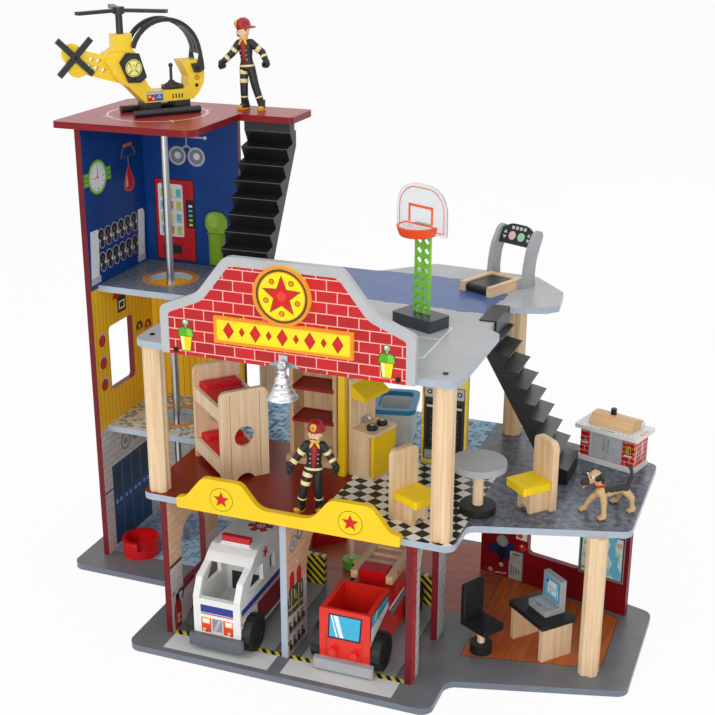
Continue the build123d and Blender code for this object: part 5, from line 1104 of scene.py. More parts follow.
def carriage_lamp(x):
    """Shapes of one printed wall lamp: knob, neck, cap and a lit body, each over its shadow."""
    body = [(x - 7, 395.5), (x + 7, 395.5), (x + 4.8, 379), (x - 4.8, 379)]
    cap = [
        (x - 9, 395), (x + 9, 395), (x + 7.6, 403.5), (x + 4, 405), (x - 4, 405), (x - 7.6, 403.5)]
    around = [(u + (0.8 if u > x else -0.8), v) for u, v in cap + body]
    return [
        (LAMP_SHADOW, disc(x, 411, 4.0), 1), (LAMP_SHADOW, rect(x - 1.7, 403, x + 1.7, 409), 1),
        (LAMP_SHADOW, [(u, v + (0.8 if v > 400 else -0.8)) for u, v in around[:len(cap)]], 1),
        (LAMP_SHADOW, [(u, v + (0 if v > 390 else -0.8)) for u, v in around[len(cap):]], 1),
        ("#9DBF8B", disc(x, 411, 3.3), 2), ("#E8F4E0", disc(x - 1, 412, 1.4), 3),
        ("#A9B4A4", rect(x - 1.0, 404, x + 1.0, 408.4), 2), (LAMP_GREEN, cap, 2),
        ("#7DC63C", [(x + 1, 395.6), (x + 8, 395.6), (x + 6.8, 403), (x + 1, 404.4)], 3),
        (LAMP_YELLOW, body, 2),
        ("#FBF3B0", [(x - 6.2, 394.6), (x - 2.4, 394.6), (x - 2.0, 380), (x - 4.4, 380)], 3)]


prints("sign_brick_print", sign_face, [(BRICKWORK, bricks, 0)])
prints("sign_lamp_prints", sign_face, carriage_lamp(51.5) + carriage_lamp(280.5))
field_face = face_of(ROOM, "front", (0, FIELD_FACE, 0))
MEDAL = (SIGN_MIDDLE, 453.5)
OLIVE, FLAG_RED, FIELD_YELLOW, EDGE_ORANGE = "#4B4A22", "#CF1A1E", "#F6DC10", "#F08A1E"
medal = [
    (OLIVE, disc(*MEDAL, 29.2, 60), 0), (EDGE_ORANGE, disc(*MEDAL, 26.6, 60), 1),
    (FIELD_YELLOW, disc(*MEDAL, 25.6, 60), 2), (OLIVE, star(*MEDAL, 23.2, 9.9, 5), 3),
    (FLAG_RED, star(*MEDAL, 21.4, 9.0, 5), 4), ("#E2402A", disc(*MEDAL, 5.2), 5)]
for i in range(5):
    turn = math.radians(36 + 72 * i)
    dot = (MEDAL[0] + 18.6 * math.sin(turn), MEDAL[1] + 18.6 * math.cos(turn))
    medal += [(OLIVE, disc(*dot, 3.1, 20), 3), (EDGE_ORANGE, disc(*dot, 2.2, 20), 4)]
prints("medallion_print", field_face, medal)
row = []
for i in range(9):
    x, z = 104.0 + 15.5 * i, 408.75
    wide, tall = (2.6, 4.4) if i % 2 else (5.6, 8.6)
    for code, across, up, layer in (("#7D1410", wide + 0.8, tall + 1.1, 0),
                                    (FLAG_RED, wide, tall, 1)):
        row.append((code, [(x - across, z), (x, z - up), (x + across, z), (x, z + up)], layer))
prints("plaque_print", field_face, row)
print("sign printed with", len(bricks), "outline points")

# %% [markdown]
# ## The balcony rail and the tower walls
# The rail carries two thin round outlines. The tower's walls are a gymnasium on the top storey,
# boards with signal lamps on the middle one, and a locker room below: pictures that are printed
# flat, so each one here is a stack of flat shapes whose places are measured in the photograph.
# %% Rail and tower prints
RAIL_FACE, TOWER_SIDE_FACE, TOWER_BACK_FACE = -8.0, -162.0, 283.5
DULL_GOLD = "#8C7A14"
rail_face = face_of(ROOM, "front", (0, RAIL_FACE, 0))
outline_discs = []
for x in (83.0, 238.0):
    outline_discs += [
        (DULL_GOLD, disc(x, 202, 14.4, 48), 0), ("#F5CF0A", disc(x, 202, 13.5, 48), 1),
        (DULL_GOLD, star(x, 202, 10.6, 4.6, 5), 2), (FLAG_RED, star(x, 202, 9.6, 4.1, 5), 3)]
prints("rail_disc_prints", rail_face, outline_discs)

side_face = face_of(ROOM, "right", (TOWER_SIDE_FACE, 0, 0))
back_face = face_of(ROOM, "front", (0, TOWER_BACK_FACE, 0))
WALL_WHITE, IRON, PALE_GREY = "#E4E7EE", "#2C2A2C", "#C6CAD2"
CLOCK = (171.0, 514.0)
gym = [("#79C234", rect(140.0, z, 202.0, z + 4.6), 0)        # the striped wings of the clock
       for z in (506.5 + 5.6 * i for i in range(3))]
gym += [
    ("#5F9A28", disc(*CLOCK, 21.6, 60), 1), ("#93D44A", disc(*CLOCK, 20.4, 60), 2),
    ("#EDEFF3", disc(*CLOCK, 17.2, 60), 3)]
gym += [(IRON, ray(*CLOCK, 13.2, 15.6, 30 * i, 0.6 if i % 3 else 1.4), 4) for i in range(12)]
gym += [
    (IRON, strip(*CLOCK, CLOCK[0] + 1, CLOCK[1] + 12, 0.9), 4),
    (FLAG_RED, strip(CLOCK[0] + 2, CLOCK[1], CLOCK[0] - 8, CLOCK[1] - 1, 0.9), 5),
    (FLAG_RED, disc(*CLOCK, 1.6, 16), 6)]
# The speed bag hangs by a cord under its bracket.
BAG = 245.5
gym += [
    ("#8C8F94", strip(BAG - 9.5, 541, BAG - 17, 527, 1.6), 0),
    ("#8C8F94", strip(BAG + 9.5, 539, BAG + 19, 526, 1.6), 0),
    ("#5C4A44", rect(BAG - 19, 524.5, BAG + 20, 527.5), 1),
    ("#C9752E", rect(BAG - 11, 538, BAG + 10.5, 542.5), 1),
    ("#A9ABB0", strip(BAG, 525, BAG, 512, 1.4), 1)]
drop = [(BAG + u, v) for u, v in (
    (0, 515), (-3.5, 508), (-8.2, 499), (-11, 491.5), (-9.8, 486), (-6, 482.6), (0, 481.5),
    (6, 482.6), (9.8, 486), (11, 491.5), (8.2, 499), (3.5, 508))]
gym += [
    ("#E08A86", scaled(drop, BAG, 498, 1.12, 1.05), 2), ("#CC1F26", drop, 3),
    ("#F0A29C", [(BAG - 5.5 + (u - BAG) * 0.2, 496 + (v - 497) * 0.62) for u, v in drop], 4)]
# Two rows of six hand weights between the posts of a rack.
gym += [
    (WALL_WHITE, [(141.5, 383), (160, 385), (165.5, 444), (163, 450), (146, 450)], 0),
    (WALL_WHITE, [(258, 384), (274.5, 383), (279, 446), (275, 452), (262.5, 452)], 0),
    ("#B9BEC9", rect(141.5, 382.5, 164, 391), 1), ("#B9BEC9", rect(256, 382.5, 276, 391), 1)]
for level, lift in enumerate((441.5, 411.5)):
    shelf = [(164, lift - 9), (258, lift - 7), (258, lift - 5), (164, lift - 7)]
    gym.append((PALE_GREY, shelf, 1))
    for i in range(6):
        u = 170.0 + 16.2 * i
        v = lift + 0.5 * i
        gym += [
            (PALE_GREY, disc(u, v, 7.6, 24), 2), ("#171416", disc(u, v, 6.7, 24), 3),
            ("#4E4340", disc(u + 0.8, v - 1.0, 3.6, 20), 4),
            (PALE_GREY, disc(u + 2.2, v - 11.8, 6.2, 24), 2),
            ("#3B322F", disc(u + 2.2, v - 11.8, 5.4, 24), 3),
            (WALL_WHITE, [(u + 7.2, v - 3), (u + 9, v - 7), (u + 5.6, v - 7)], 4)]
prints("gym_side_wall_prints", side_face, gym)

wall = []
for x in (-111.5, -84.5):              # the twin spotlights on their yoke
    wall += [
        ("#8D939F", disc(x, 523, 12.6, 44), 1), ("#C3C8D1", disc(x, 523, 11.6, 44), 2),
        ("#7B818D", disc(x, 523, 9.9, 44), 3), ("#D5D9DE", disc(x + 0.6, 523.6, 4.6, 30), 4)]
wall += [
    ("#B4BAC6", strip(-98, 549, -98, 534, 1.4), 0), ("#B4BAC6", rect(-100, 547, -71, 549.4), 0),
    ("#D5D9DE", disc(-71, 548.2, 2.4, 20), 1), ("#A7ADB8", strip(-106, 532, -98, 537, 2.6), 0),
    ("#A7ADB8", strip(-90, 532, -98, 537, 2.6), 0)]
# The snack machine: a red cabinet with a window on four shelves, a tray and a panel of keys.
wall += [
    ("#2B1416", rect(-148, 382.6, -89.2, 492.4), 0), ("#C31F28", rect(-146.2, 384, -91, 490.8), 1),
    ("#E3E5EA", rounded(-142.5, 415, -106.5, 485, 3), 2),
    ("#23262B", rect(-102.5, 428, -91, 466), 3), ("#2A2B2F", rounded(-138, 392, -111, 404, 2), 3)]
for i in range(12):
    u, z = -140.0 + 11.2 * (i % 3), 419.5 + 16.5 * (i // 3)
    code = ("#5CC3C0", "#E3D845", "#B9D34A", "#DD7B3A")[(i * 3 + i // 3) % 4]
    wall += [("#9AA0AA", rect(u, z - 1.6, u + 9.4, z - 0.6), 3),
             (code, rect(u + 1.2, z, u + 8.2, z + 9.6), 3)]
for i, code in enumerate(("#E8ECEF", "#5CC3C0", "#5CC3C0", "#B9D34A", "#E3D845")):
    wall.append((code, rect(-98.6, 456 - 6.2 * i, -93.2, 459 - 6.2 * i), 4))
# The standing punch bag.
wall += [
    ("#6E9620", rounded(-71, 382, -47.5, 428, 1), 1),
    ("#7FA82B", rounded(-68, 382, -55, 428, 1), 2),
    ("#86AE2F", rounded(-75, 423, -43.5, 453, 13, 8), 3),
    ("#9DC24B", rounded(-71, 432, -58, 450, 6, 6), 4), ("#5E841B", rect(-73, 423, -45.5, 425), 4)]
prints("gym_back_wall_prints", back_face, wall)

board = []
for z in (305.5, 275.5, 246.0):        # the three signal lamps
    board += [
        ("#B9BBC2", disc(157.3, z + 1.6, 8.8, 34), 0), ("#8A1A20", disc(156.2, z, 7.8, 34), 1),
        ("#C5262C", disc(156.2, z + 0.4, 6.8, 34), 2)]
board += [
    ("#26201F", rect(197.5, 330, 219, 353), 0),
    ("#B92229", [(186, 352), (197, 366), (221, 366), (221, 354), (197, 350)], 1),
    ("#E8E6E0", rect(201, 334, 215.5, 345), 2), ("#26201F", rect(203, 336, 213.5, 343), 3)]
for u, z, code in ((250.0, 293.0, "#3A2A22"), (272.0, 289.0, "#8E2018")):   # hats on pegs
    dome = [
        (u - 9, z), (u - 8, z + 6), (u - 4, z + 10), (u + 4, z + 10), (u + 8, z + 6), (u + 9, z)]
    board += [
        (code, dome, 0), ("#B98A3A", rect(u - 11, z - 2.4, u + 11, z), 1),
        ("#D9B04A", disc(u, z + 3.6, 2.8, 16), 1)]
prints("signal_lamp_prints", side_face, board)

lockers = [("#16324F", rect(159, 14, 256, 129), 0)]
for i in range(4):
    u = 160.2 + 24.1 * i
    lockers += [
        ("#2F5277", rect(u, 15, u + 22.7, 128), 1),
        ("#28466A", rect(u + 1.2, 16, u + 21.5, 58), 2),
        ("#31465E", rect(u + 1.2, 84, u + 21.5, 127), 2),
        ("#1F4F8F", rect(u, 66, u + 22.7, 82), 2)]
    lockers += [("#5F86B5", rect(u + 22.2, 15, u + 23.2, 128), 3)]
    lockers += [
        ("#1B2E45", rect(u + 5, 108 + 3.4 * k, u + 17.5, 109.4 + 3.4 * k), 3) for k in range(4)]
    for du in (6.5, 16.5):
        lockers += [
            ("#C9D3E2", disc(u + du, 74.5, 2.7, 18), 3),
            ("#1F4F8F", disc(u + du, 74.5, 1.5, 14), 4)]
lockers += [
    ("#9A938E", disc(197, 151, 12.5, 40), 0), ("#D6CDC8", disc(197, 151, 8.6, 40), 1),
    ("#9A938E", disc(197, 151, 5.0, 30), 2), ("#8A837E", disc(223, 154, 9.5, 34), 0),
    ("#D6CDC8", disc(223, 154, 5.6, 30), 1), ("#5A5552", rect(138.8, 96, 158.5, 98.5), 0)]
prints("locker_prints", side_face, lockers)
print("tower printed")

# %% [markdown]
# ## The bays and the office
# The bay walls carry a hose reel, fire coats and boots on the middle wall and an extinguisher on
# the left one. The office wall has a map of rivers and blocks that is nowhere in particular.
# %% Bay and office prints
BAY_LEFT_FACE, BAY_CENTRE_FACE = 8.0, 158.0
left_bay = face_of(ROOM, "right", (BAY_LEFT_FACE, 0, 0))
shapes = [
    ("#33302F", rect(0.2, 93.2, 29.5, 97.0), 0),
    ("#8E1A20", [(27, 50), (60, 52), (60, 58), (27, 56)], 0),
    ("#8E1A20", [(2.5, 55), (9, 58), (9, 60.5), (2.5, 57.5)], 0)]
bottle = [(7.5, 3), (21, 3), (22.5, 28), (21.5, 40), (17.5, 45), (11.5, 45), (8.0, 40), (6.8, 28)]
shapes += [
    ("#5B0F12", scaled(bottle, 14.5, 24, 1.12, 1.05), 1), ("#B51E22", bottle, 2),
    ("#D9474A", [(9, 6), (11.5, 6), (12, 36), (9.5, 36)], 3),
    ("#E9C9A0", rect(12.5, 14, 19.5, 26), 3), ("#7A1216", rect(12.5, 19, 19.5, 20.6), 4),
    ("#232122", rounded(10.5, 44.5, 19, 52.5, 1.5), 2),
    ("#232122", strip(11, 52, 23, 56.5, 2.6), 2)]
hose = [(21, 53.5), (26, 55.5), (30, 52.5), (29.2, 46), (25.5, 42)]
shapes += [("#232122", strip(*a, *b, 3.0), 3) for a, b in zip(hose[:-1], hose[1:])]
prints("extinguisher_print", left_bay, shapes)

right_of_centre = face_of(ROOM, "right", (BAY_CENTRE_FACE, 0, 0))
REEL, COAT, COAT_DARK, BRAID = "#8E8D8C", "#55504A", "#37332F", "#CDBB6E"
shapes = [
    (REEL, disc(20, 147.5, 10.6, 36), 0), ("#C9C2BE", disc(20, 147.5, 7.4, 36), 1),
    (REEL, disc(20, 147.5, 4.4, 28), 2), ("#77716D", disc(39, 152, 8.2, 30), 0),
    ("#CDB9AC", disc(39, 152, 4.6, 26), 1), ("#E3DDD9", rect(28, 118, 34, 121), 0)]
for u, z in ((14.5, 101.0), (35.0, 99.0)):                     # two red caps on their pegs
    cap = [
        (u - 6.5, z), (u - 6.2, z + 8), (u - 2, z + 12.5), (u + 3.5, z + 12), (u + 7, z + 6),
        (u + 6.5, z - 6), (u, z - 8.5), (u - 6, z - 6)]
    shapes += [("#8F1218", cap, 2), ("#D81E27", scaled(cap, u, z + 2, 0.84, 0.86), 3)]
    coat = [
        (u - 9, z - 6), (u + 10, z - 8), (u + 12.5, z - 22), (u + 11, z - 44), (u - 12, z - 40),
        (u - 12.5, z - 20)]
    hem = [(u - 11.5, z - 33), (u + 10.5, z - 37), (u + 10.5, z - 34.6), (u - 11.5, z - 30.6)]
    shapes += [
        (COAT_DARK, coat, 0), (COAT, scaled(coat, u, z - 25, 0.86, 0.9), 1),
        (BRAID, strip(u - 1, z - 9, u - 2, z - 40, 1.4), 4), (BRAID, hem, 4),
        (BRAID, strip(u - 10.5, z - 14, u - 7, z - 27, 1.2), 4),
        ("#E6DDB2", strip(u + 6, z - 12, u + 8.5, z - 26, 1.2), 4)]
for z, tone in ((41.0, "#3A332E"), (17.0, "#2E2925")):         # two shelves of folded gear
    shapes += [("#8A8580", rect(2.5, z - 7.0, 52, z - 4.8), 0)]
    for i in range(4):
        u = 4.5 + 12.0 * i
        boot = [
            (u, z - 4.8), (u + 10.5, z - 4.8), (u + 10.5, z + 0.5), (u + 6, z + 3),
            (u + 5.2, z + 10.5), (u, z + 10.5)]
        shapes += [
            (tone, boot, 1), (BRAID, rect(u + 0.4, z + 6.6, u + 5.0, z + 8.0), 2),
            ("#A8945A", rect(u, z - 4.8, u + 10.5, z - 3.6), 2)]
shapes += [("#A01A20", rect(0.4, 24, 3.4, 33), 3), ("#E9E6E2", rect(0.9, 29, 2.9, 32), 4)]
prints("coat_rack_prints", right_of_centre, shapes)

office_face = face_of(OFFICE_WALL, "front", (0, -0.02, 0))
shapes = [
    ("#1E2A6B", [(9, 62), (47, 76), (47, 108), (9, 108)], 0),
    ("#182257", [(11, 40), (30, 36), (47, 31), (47, 60), (11, 50)], 0),
    ("#3C4A8F", rect(16, 88, 40, 90), 1), ("#6E7076", disc(30.5, 59, 8.6, 32), 2),
    ("#8B8D92", disc(30.5, 59, 7.2, 32), 3), ("#14131A", rounded(24, 34, 36, 50, 4), 2),
    ("#14131A", strip(30, 34, 30, 22, 5), 1), ("#A6A39E", disc(30.4, 24.5, 3.0, 20), 3),
    ("#E8E2DA", rect(50, 68, 65.5, 80), 0), ("#E8E2DA", rect(50, 84, 65.5, 110), 0),
    ("#D8422E", disc(55, 74, 4.4, 22), 1), ("#C2272D", disc(60, 57.5, 5.2, 26), 1),
    ("#E8E2DA", disc(58.5, 59.5, 1.4, 16), 2), ("#2B3C8A", disc(57.5, 52, 2.4, 18), 2),
    ("#8C8983", rect(41, 8.6, 61, 49.6), 0), ("#A5A29C", rect(42.4, 10, 59.6, 48.2), 1),
    ("#4C5A48", rect(46, 43.5, 56, 46.2), 2), ("#B0403C", strip(6, 13, 22, 9.5, 1.4), 1),
    ("#9C9A96", disc(15, 13, 3.4, 20), 1), ("#B7B4AE", strip(22, 11, 38, 14, 1.6), 1),
    ("#B0403C", disc(33, 11.8, 2.4, 18), 1)]
for i in range(4):
    shapes += [
        ("#7C7973", rect(44 + 3.6 * i, 14 + 1.5 * i, 46.2 + 3.6 * i, 30 - 2 * i), 2),
        ("#8C8983", rect(44.5, 33 + 2.2 * i, 57.5, 34.0 + 2.2 * i), 2)]
for layer, (code, gap) in enumerate((("#8F9699", 0), ("#2E3133", 1.2), ("#CFE0D6", 3))):
    shapes.append((code, rect(137.6 + gap, 50 + gap, 196.6 - gap, 112 - gap), layer))   # the map
river = [
    (172, 109), (178, 98), (174, 86), (181, 74), (178, 63), (184, 53.6), (193.2, 53.6), (193, 64),
    (188, 72), (190, 84), (184, 95), (186, 109)]
shapes += [
    ("#6CB8D8", river, 3),
    ("#8FCBE4", [(174.5, 54), (182, 57), (180, 62), (175, 66), (171, 60)], 3)]
blocks = [
    (144, 58), (151, 66), (146, 76), (155, 84), (163, 60), (160, 74), (146, 92), (165, 92),
    (156, 100), (168, 104), (188, 88), (189, 101), (163, 54.5)]
for i, (u, z) in enumerate(blocks):
    code = ("#7FBF73", "#E3D48A", "#9ED0A8", "#D9A79A")[i % 4]
    shapes.append((code, rounded(u - 3.6, z - 2.2 - i % 3, u + 3.2, z + 2.4, 1.2, 3), 4))
for a, b in (
        ((141, 70), (176, 80)), ((141, 88), (172, 84)), ((158, 53.4), (152, 108)),
        ((141, 97), (170, 100))):
    shapes.append(("#F2F1EA", strip(*a, *b, 0.9), 5))
prints("office_wall_prints", office_face, shapes)
print("bays and office printed")

# %% [markdown]
# ## The oven wall, the vehicles and the helicopter
# The oven is a print on a wall of yellow tiles. The ambulance and the fire truck carry printed
# panels on their sides, nose and roof, and the back wall of the ambulance's cab has a dark sheet
# of painted shade; on the truck the windows are prints too, with the two pale glints that a toy
# maker draws on glass.
# %% Vehicle and kitchen prints
OVEN_WALL_FACE, AMBULANCE_NOSE, CAB_WALL_FACE, AMBULANCE_ROOF = 194.0, -18.0, 62.0, 121.0
TRUCK_NOSE = -2.0
oven_face = face_of(ROOM, "front", (0, OVEN_WALL_FACE, 0))
shapes = []
for i in range(6):
    for k in range(18):
        u, z = 253.6 + 9.25 * i, 191 + 10 * k
        tone = ("#F2CE3A", "#F6DC5E", "#F0B429", "#EDA93A")[(i * 5 + k * 3 + (i * k) % 4) % 4]
        shapes.append((tone, rect(u, z, u + 8.6, z + 9.4), 0))
shapes += [
    ("#3C3A38", rect(255.5, 196, 306, 292), 1), ("#B9BCBE", rect(256.5, 277, 305, 291), 2),
    ("#1B1A1A", rect(259, 212, 302.5, 272), 2), ("#C9CCCE", rect(259, 264, 302.5, 267), 3),
    ("#A9ACAE", rect(257, 197, 304.5, 208), 2), ("#2C2A2A", rect(262, 217, 299.5, 258), 3)]
for u in (262.5, 272, 290, 299.5):
    shapes += [("#3C3A38", disc(u, 284, 3.2, 22), 3), ("#D9DBDD", disc(u, 284, 1.3, 14), 4)]
shapes += [("#7E7A76", rect(264, 222 + 7 * k, 297.5, 223 + 7 * k), 4) for k in range(5)]
shapes += [
    ("#E9EAEA", rect(274.5, 279.5, 287, 288.5), 3), ("#4A4C4E", rect(276, 281, 285.5, 287), 4)]
prints("oven_wall_print", oven_face, shapes)
WHITE_INK, NAVY, RED_INK, DARK_RED = "#EDEEF0", "#2B3F8C", "#C62B2E", "#8E1B22"
nose = face_of(ROOM, "front", (0, AMBULANCE_NOSE, 0))
shapes = [
    (NAVY, rect(56.2, 58.4, 98, 68.2), 0), (RED_INK, rect(56.2, 56.0, 98, 57.6), 0),
    (WHITE_INK, rect(56.2, 31.5, 98, 55.6), 0), ("#D8432C", rect(56.6, 32.6, 69.6, 51.8), 1),
    ("#D8432C", rect(84.8, 32.6, 97.6, 51.8), 1), ("#8E8C98", rect(70.6, 35, 83.8, 51.8), 1),
    ("#B7B5BE", [(72, 36), (76, 36), (82.6, 50.6), (78.6, 50.6)], 2),
    ("#C9C7CC", rect(70, 31.8, 84.4, 34.4), 1)]
for u in (57.6, 86.8):
    shapes += [
        ("#E9A24A", rect(u, 43.6, u + 10.4, 51.4), 2),
        ("#F9EFC0", rect(u + 0.9, 44.5, u + 9.5, 50.5), 3),
        ("#FFFDF0", disc(u + 5.2, 47.5, 2.2, 16), 4)]
for u in (57, 88.8):
    shapes += [
        ("#E9C24A", disc(u + 3.4, 35.2, 2.5, 18), 2), ("#C62B2E", disc(u + 6.2, 34.0, 1.9, 16), 3)]
prints("ambulance_nose_print", nose, shapes, "ambulance")
for side, x in (("right", 107.0), ("left", 47.0)):
    flank = face_of(ROOM, side, (x, 0, 0))
    shapes = [
        (NAVY, rect(-14.5, 58.8, 143, 67), 0), (WHITE_INK, rect(-14.5, 57.4, 143, 58.8), 0),
        (RED_INK, rect(-14.5, 55.6, 143, 57.4), 0), (WHITE_INK, rect(-12, 54.6, 143, 55.6), 0),
        (DARK_RED, [(31, 24), (102, 24), (102, 54.4), (28, 54.4)], 0),
        ("#E9C24A", rect(-14.6, 51.4, -12.0, 55.4), 1), ("#C62B2E", rect(-14.6, 47, -12.4, 51), 1)]
    shapes += [(RED_INK, ray(54, 110, 7, -7, 60 * i, 3.2), i) for i in range(3)]
    prints("ambulance_side_print_" + side, flank, shapes, "ambulance")
cab_wall = face_of(ROOM, "front", (0, CAB_WALL_FACE, 0))
# A dark sheet on the back wall of the cab, seen through the windscreen: painted shade inside the
# cab.
prints("ambulance_cab_wall_painted_shade", cab_wall, [("#3B3638", rect(58, 46.2, 98, 71), 0)], "ambulance")
roof_face = face_of(ROOM, "up", (0, 0, AMBULANCE_ROOF))
shapes = [("#B5242C", ray(84, 92, 15.5, -15.5, 60 * i + 21, 8.6), i) for i in range(3)]
shapes += [
    ("#F1F1F1", disc(84, 92, 5.0, 34), 3), ("#B5242C", disc(84, 92, 3.6, 30), 4),
    ("#F1F1F1", disc(84, 92, 1.6, 20), 5)]
prints("ambulance_roof_print", roof_face, shapes, "ambulance")
glass = face_of(ROOM, "front", (0, TRUCK_NOSE, 0))
GLASS_BLUE, GLASS_EDGE, GLINT = "#44B4D8", "#15181C", "#E9F8FD"
shapes = [
    (GLASS_EDGE, [(208.4, 49), (248, 49), (250.4, 80.9), (209.8, 80.9)], 0),
    (GLASS_BLUE, [(210.2, 51), (246.2, 51), (248.4, 79.2), (211.6, 79.2)], 1),
    (GLINT, [(223, 51.4), (228, 51.4), (221, 78.9), (215.8, 78.9)], 2),
    (GLINT, [(218.6, 51.4), (220.6, 51.4), (214, 78.9), (212.4, 78.9)], 2),
    ("#8C120F", rect(206.6, 18, 207.2, 54), 0), ("#8C120F", rect(249.6, 18, 250.2, 54), 0)]
prints("truck_windscreen_print", glass, shapes, "truck")
for side, x in (("right", 259.5), ("left", 198.5)):
    flank = face_of(ROOM, side, (x, 0, 0))
    door = [(1.6, 51.8), (3.6, 48.2), (60.6, 64.8), (60.6, 71.5), (28, 70.0), (2.4, 68.4)]
    shapes = [
        (GLASS_EDGE, [(0.5, 50), (3, 46), (62, 63.4), (62, 81.6), (5, 83.6), (1.0, 70)], 0),
        (WHITE_INK, door, 1),
        (GLASS_BLUE, [(3, 69.8), (26, 71.6), (59.4, 73.2), (59.4, 80.4), (6, 82.4)], 1),
        (GLINT, [(12, 71.4), (17, 71.8), (25, 81.2), (20, 81.5)], 2),
        ("#F0A33C", [(0, 47), (4, 44.4), (4, 52), (0, 54)], 2),
        (RED_INK, rect(27, 66.2, 28.2, 70.0), 2), ("#8C120F", rect(4, 36, 5, 44), 0),
        (WHITE_INK, rect(64, 57, 118, 60.5), 0), ("#2A2D33", rect(66, 45.5, 130, 55.5), 0)]
    for i in range(5):
        u = 73.0 + 12.2 * i
        shapes += [
            ("#A9AEB5", disc(u, 50.5, 4.3, 24), 1), ("#2A2D33", disc(u, 50.5, 2.9, 20), 2),
            ("#D5D8DC", disc(u, 50.5, 1.2, 14), 3), ("#8F949C", rect(u + 5, 47, u + 7.4, 54), 1)]
    prints("truck_side_print_" + side, flank, shapes, "truck")

# The helicopter: an outlined disc on each plate, a sticker and four slots on the hull.
for side, y in (("front", -15.5), ("back", 15.5)):
    plate = face_of(HELICOPTER, side, (0, y, 0))
    middle = (-41.0, 57.8)
    rim = [(-57.4, 65), (-48.8, 75.2), (-33.4, 73.6), (-25.4, 46.2), (-33.4, 41), (-47.4, 41.8)]
    panel = [
        (-56.2, 64.8), (-48.2, 73.8), (-34.4, 72.4), (-26.8, 46.8), (-33.8, 42.2), (-46.8, 43.0)]
    shapes = [
        ("#1B1B1D", rim, 0), ("#2F3033", panel, 1),
        ("#E9E35A", disc(*middle, 10.4, 44), 2), ("#3A3A2A", disc(*middle, 9.4, 44), 3),
        ("#F2EE8E", disc(*middle, 8.8, 44), 4)]
    shapes += [("#7E7A3A", ray(*middle, 4, 8.8, 45 - 90 * i, 1.4), 5) for i in range(4)]
    shapes += [
        ("#3A3A2A", star(*middle, 5.4, 2.4, 5), 5), ("#F2EE8E", star(*middle, 4.4, 1.9, 5), 6)]
    prints("helicopter_plate_print_" + side, plate, shapes)
    hull = face_of(HELICOPTER, side, (0, y * 12.0 / 15.5, 0))
    shapes = [
        ("#6E7480", rect(-24.5, 16.2, -3.5, 27.6), 0), ("#C9CED6", rect(-24, 24.6, -4, 27.0), 1),
        ("#CC3A2E", rect(-24, 16.8, -14.4, 24.2), 1), ("#2C6FA8", rect(-13.2, 16.8, -4, 24.2), 1),
        ("#F0C7B8", rect(-22.6, 20.6, -19.4, 23.2), 2),
        ("#E7E9EE", rect(-17.6, 18, -15.6, 20.4), 2), ("#9CC4E4", rect(-12, 19.6, -5.4, 21.0), 2),
        ("#E3D23A", rect(-9.6, 21.4, -7.6, 23.6), 2), ("#7A1E18", disc(-20.4, 18.6, 1.1, 14), 2),
        ("#0F3C66", disc(-10.6, 18.2, 1.0, 14), 2)]
    shapes += [
        ("#1C1A12", rounded(u, 17.6, u + 1.7, 23.4, 0.8, 3), 1) for u in (8.6, 12.6, 16.6, 20.6)]
    prints("helicopter_hull_print_" + side, hull, shapes)
print("vehicles and helicopter printed")

# %% [markdown]
# ## Grill, desk computer and treadmill
# Small prints that the eye reads at arm's length: the grey doors and tools of the grill, the
# computer's screen, and the dials of the treadmill.
# %% Furniture prints
grill_front = face_of(GRILL, "front", (0, 0, 0))
shapes = [
    ("#7E8082", rect(11.6, 6.4, 56.4, 41.6), 0), ("#B4B7BA", rect(12.4, 7.0, 33.8, 41), 1),
    ("#B4B7BA", rect(34.4, 7.0, 55.6, 41), 1), ("#C9CCCE", rect(13.4, 8.2, 15.4, 39.8), 2),
    ("#4C4E52", rounded(30.2, 16, 31.8, 34, 0.7), 2),
    ("#4C4E52", rounded(36.4, 16, 38.0, 34, 0.7), 2), ("#D9DBDD", rect(30.7, 17, 31.1, 33), 3),
    ("#D9DBDD", rect(36.9, 17, 37.3, 33), 3), (WHITE_INK, rect(2.0, 22, 10, 23.6), 1),
    ("#5A5C60", rect(4.2, 23.8, 6.0, 29.5), 1), ("#B9BCC0", rect(6.8, 23.8, 8.4, 27.5), 1),
    ("#20201F", rect(59.4, 21.6, 68.6, 34.4), 1), ("#C8A12E", rect(60.4, 22.6, 67.6, 33.4), 2),
    ("#7BA83A", rect(62, 24, 64.0, 32), 3), ("#B0301F", rect(64.6, 24, 66.6, 31), 3),
    (WHITE_INK, rect(59, 19.6, 69, 21.2), 1)]
prints("grill_front_print", grill_front, shapes)
grill_side = face_of(GRILL, "right", (71.7, 0, 0))
prints("grill_side_print", grill_side, [
    ("#E9C03A", [(2, 8), (4.6, 8), (8.4, 34), (6.6, 34)], 1),
    ("#F4E3A0", [(3, 10), (4, 10), (7.6, 32), (7.0, 32)], 2),
    (WHITE_INK, rect(20, 18, 22, 31), 1), ("#C9CCD0", rect(18.2, 28, 23.8, 33), 1),
    ("#7A1216", rect(30, 12, 31, 26), 1)])
grill_top = face_of(GRILL, "up", (0, 0, 47.0))
dots = [("#2C2C2E", disc(2.0 + 6.2 * i, -3.4, 0.8, 12), 0) for i in range(12) if not 4 <= i <= 7]
dots.append(("#2C2C2E", rounded(26.4, -4.1, 46.8, -2.6, 0.7), 0))
dots += [("#B7552E", rounded(73.5, 8, 76.6, 26, 1.0), 0), ("#E9C9A0", rect(74.2, 10, 75.9, 24), 1)]
prints("grill_counter_print", grill_top, dots)
screen = face_of(DESK, "front", (0, 32.0, 0))
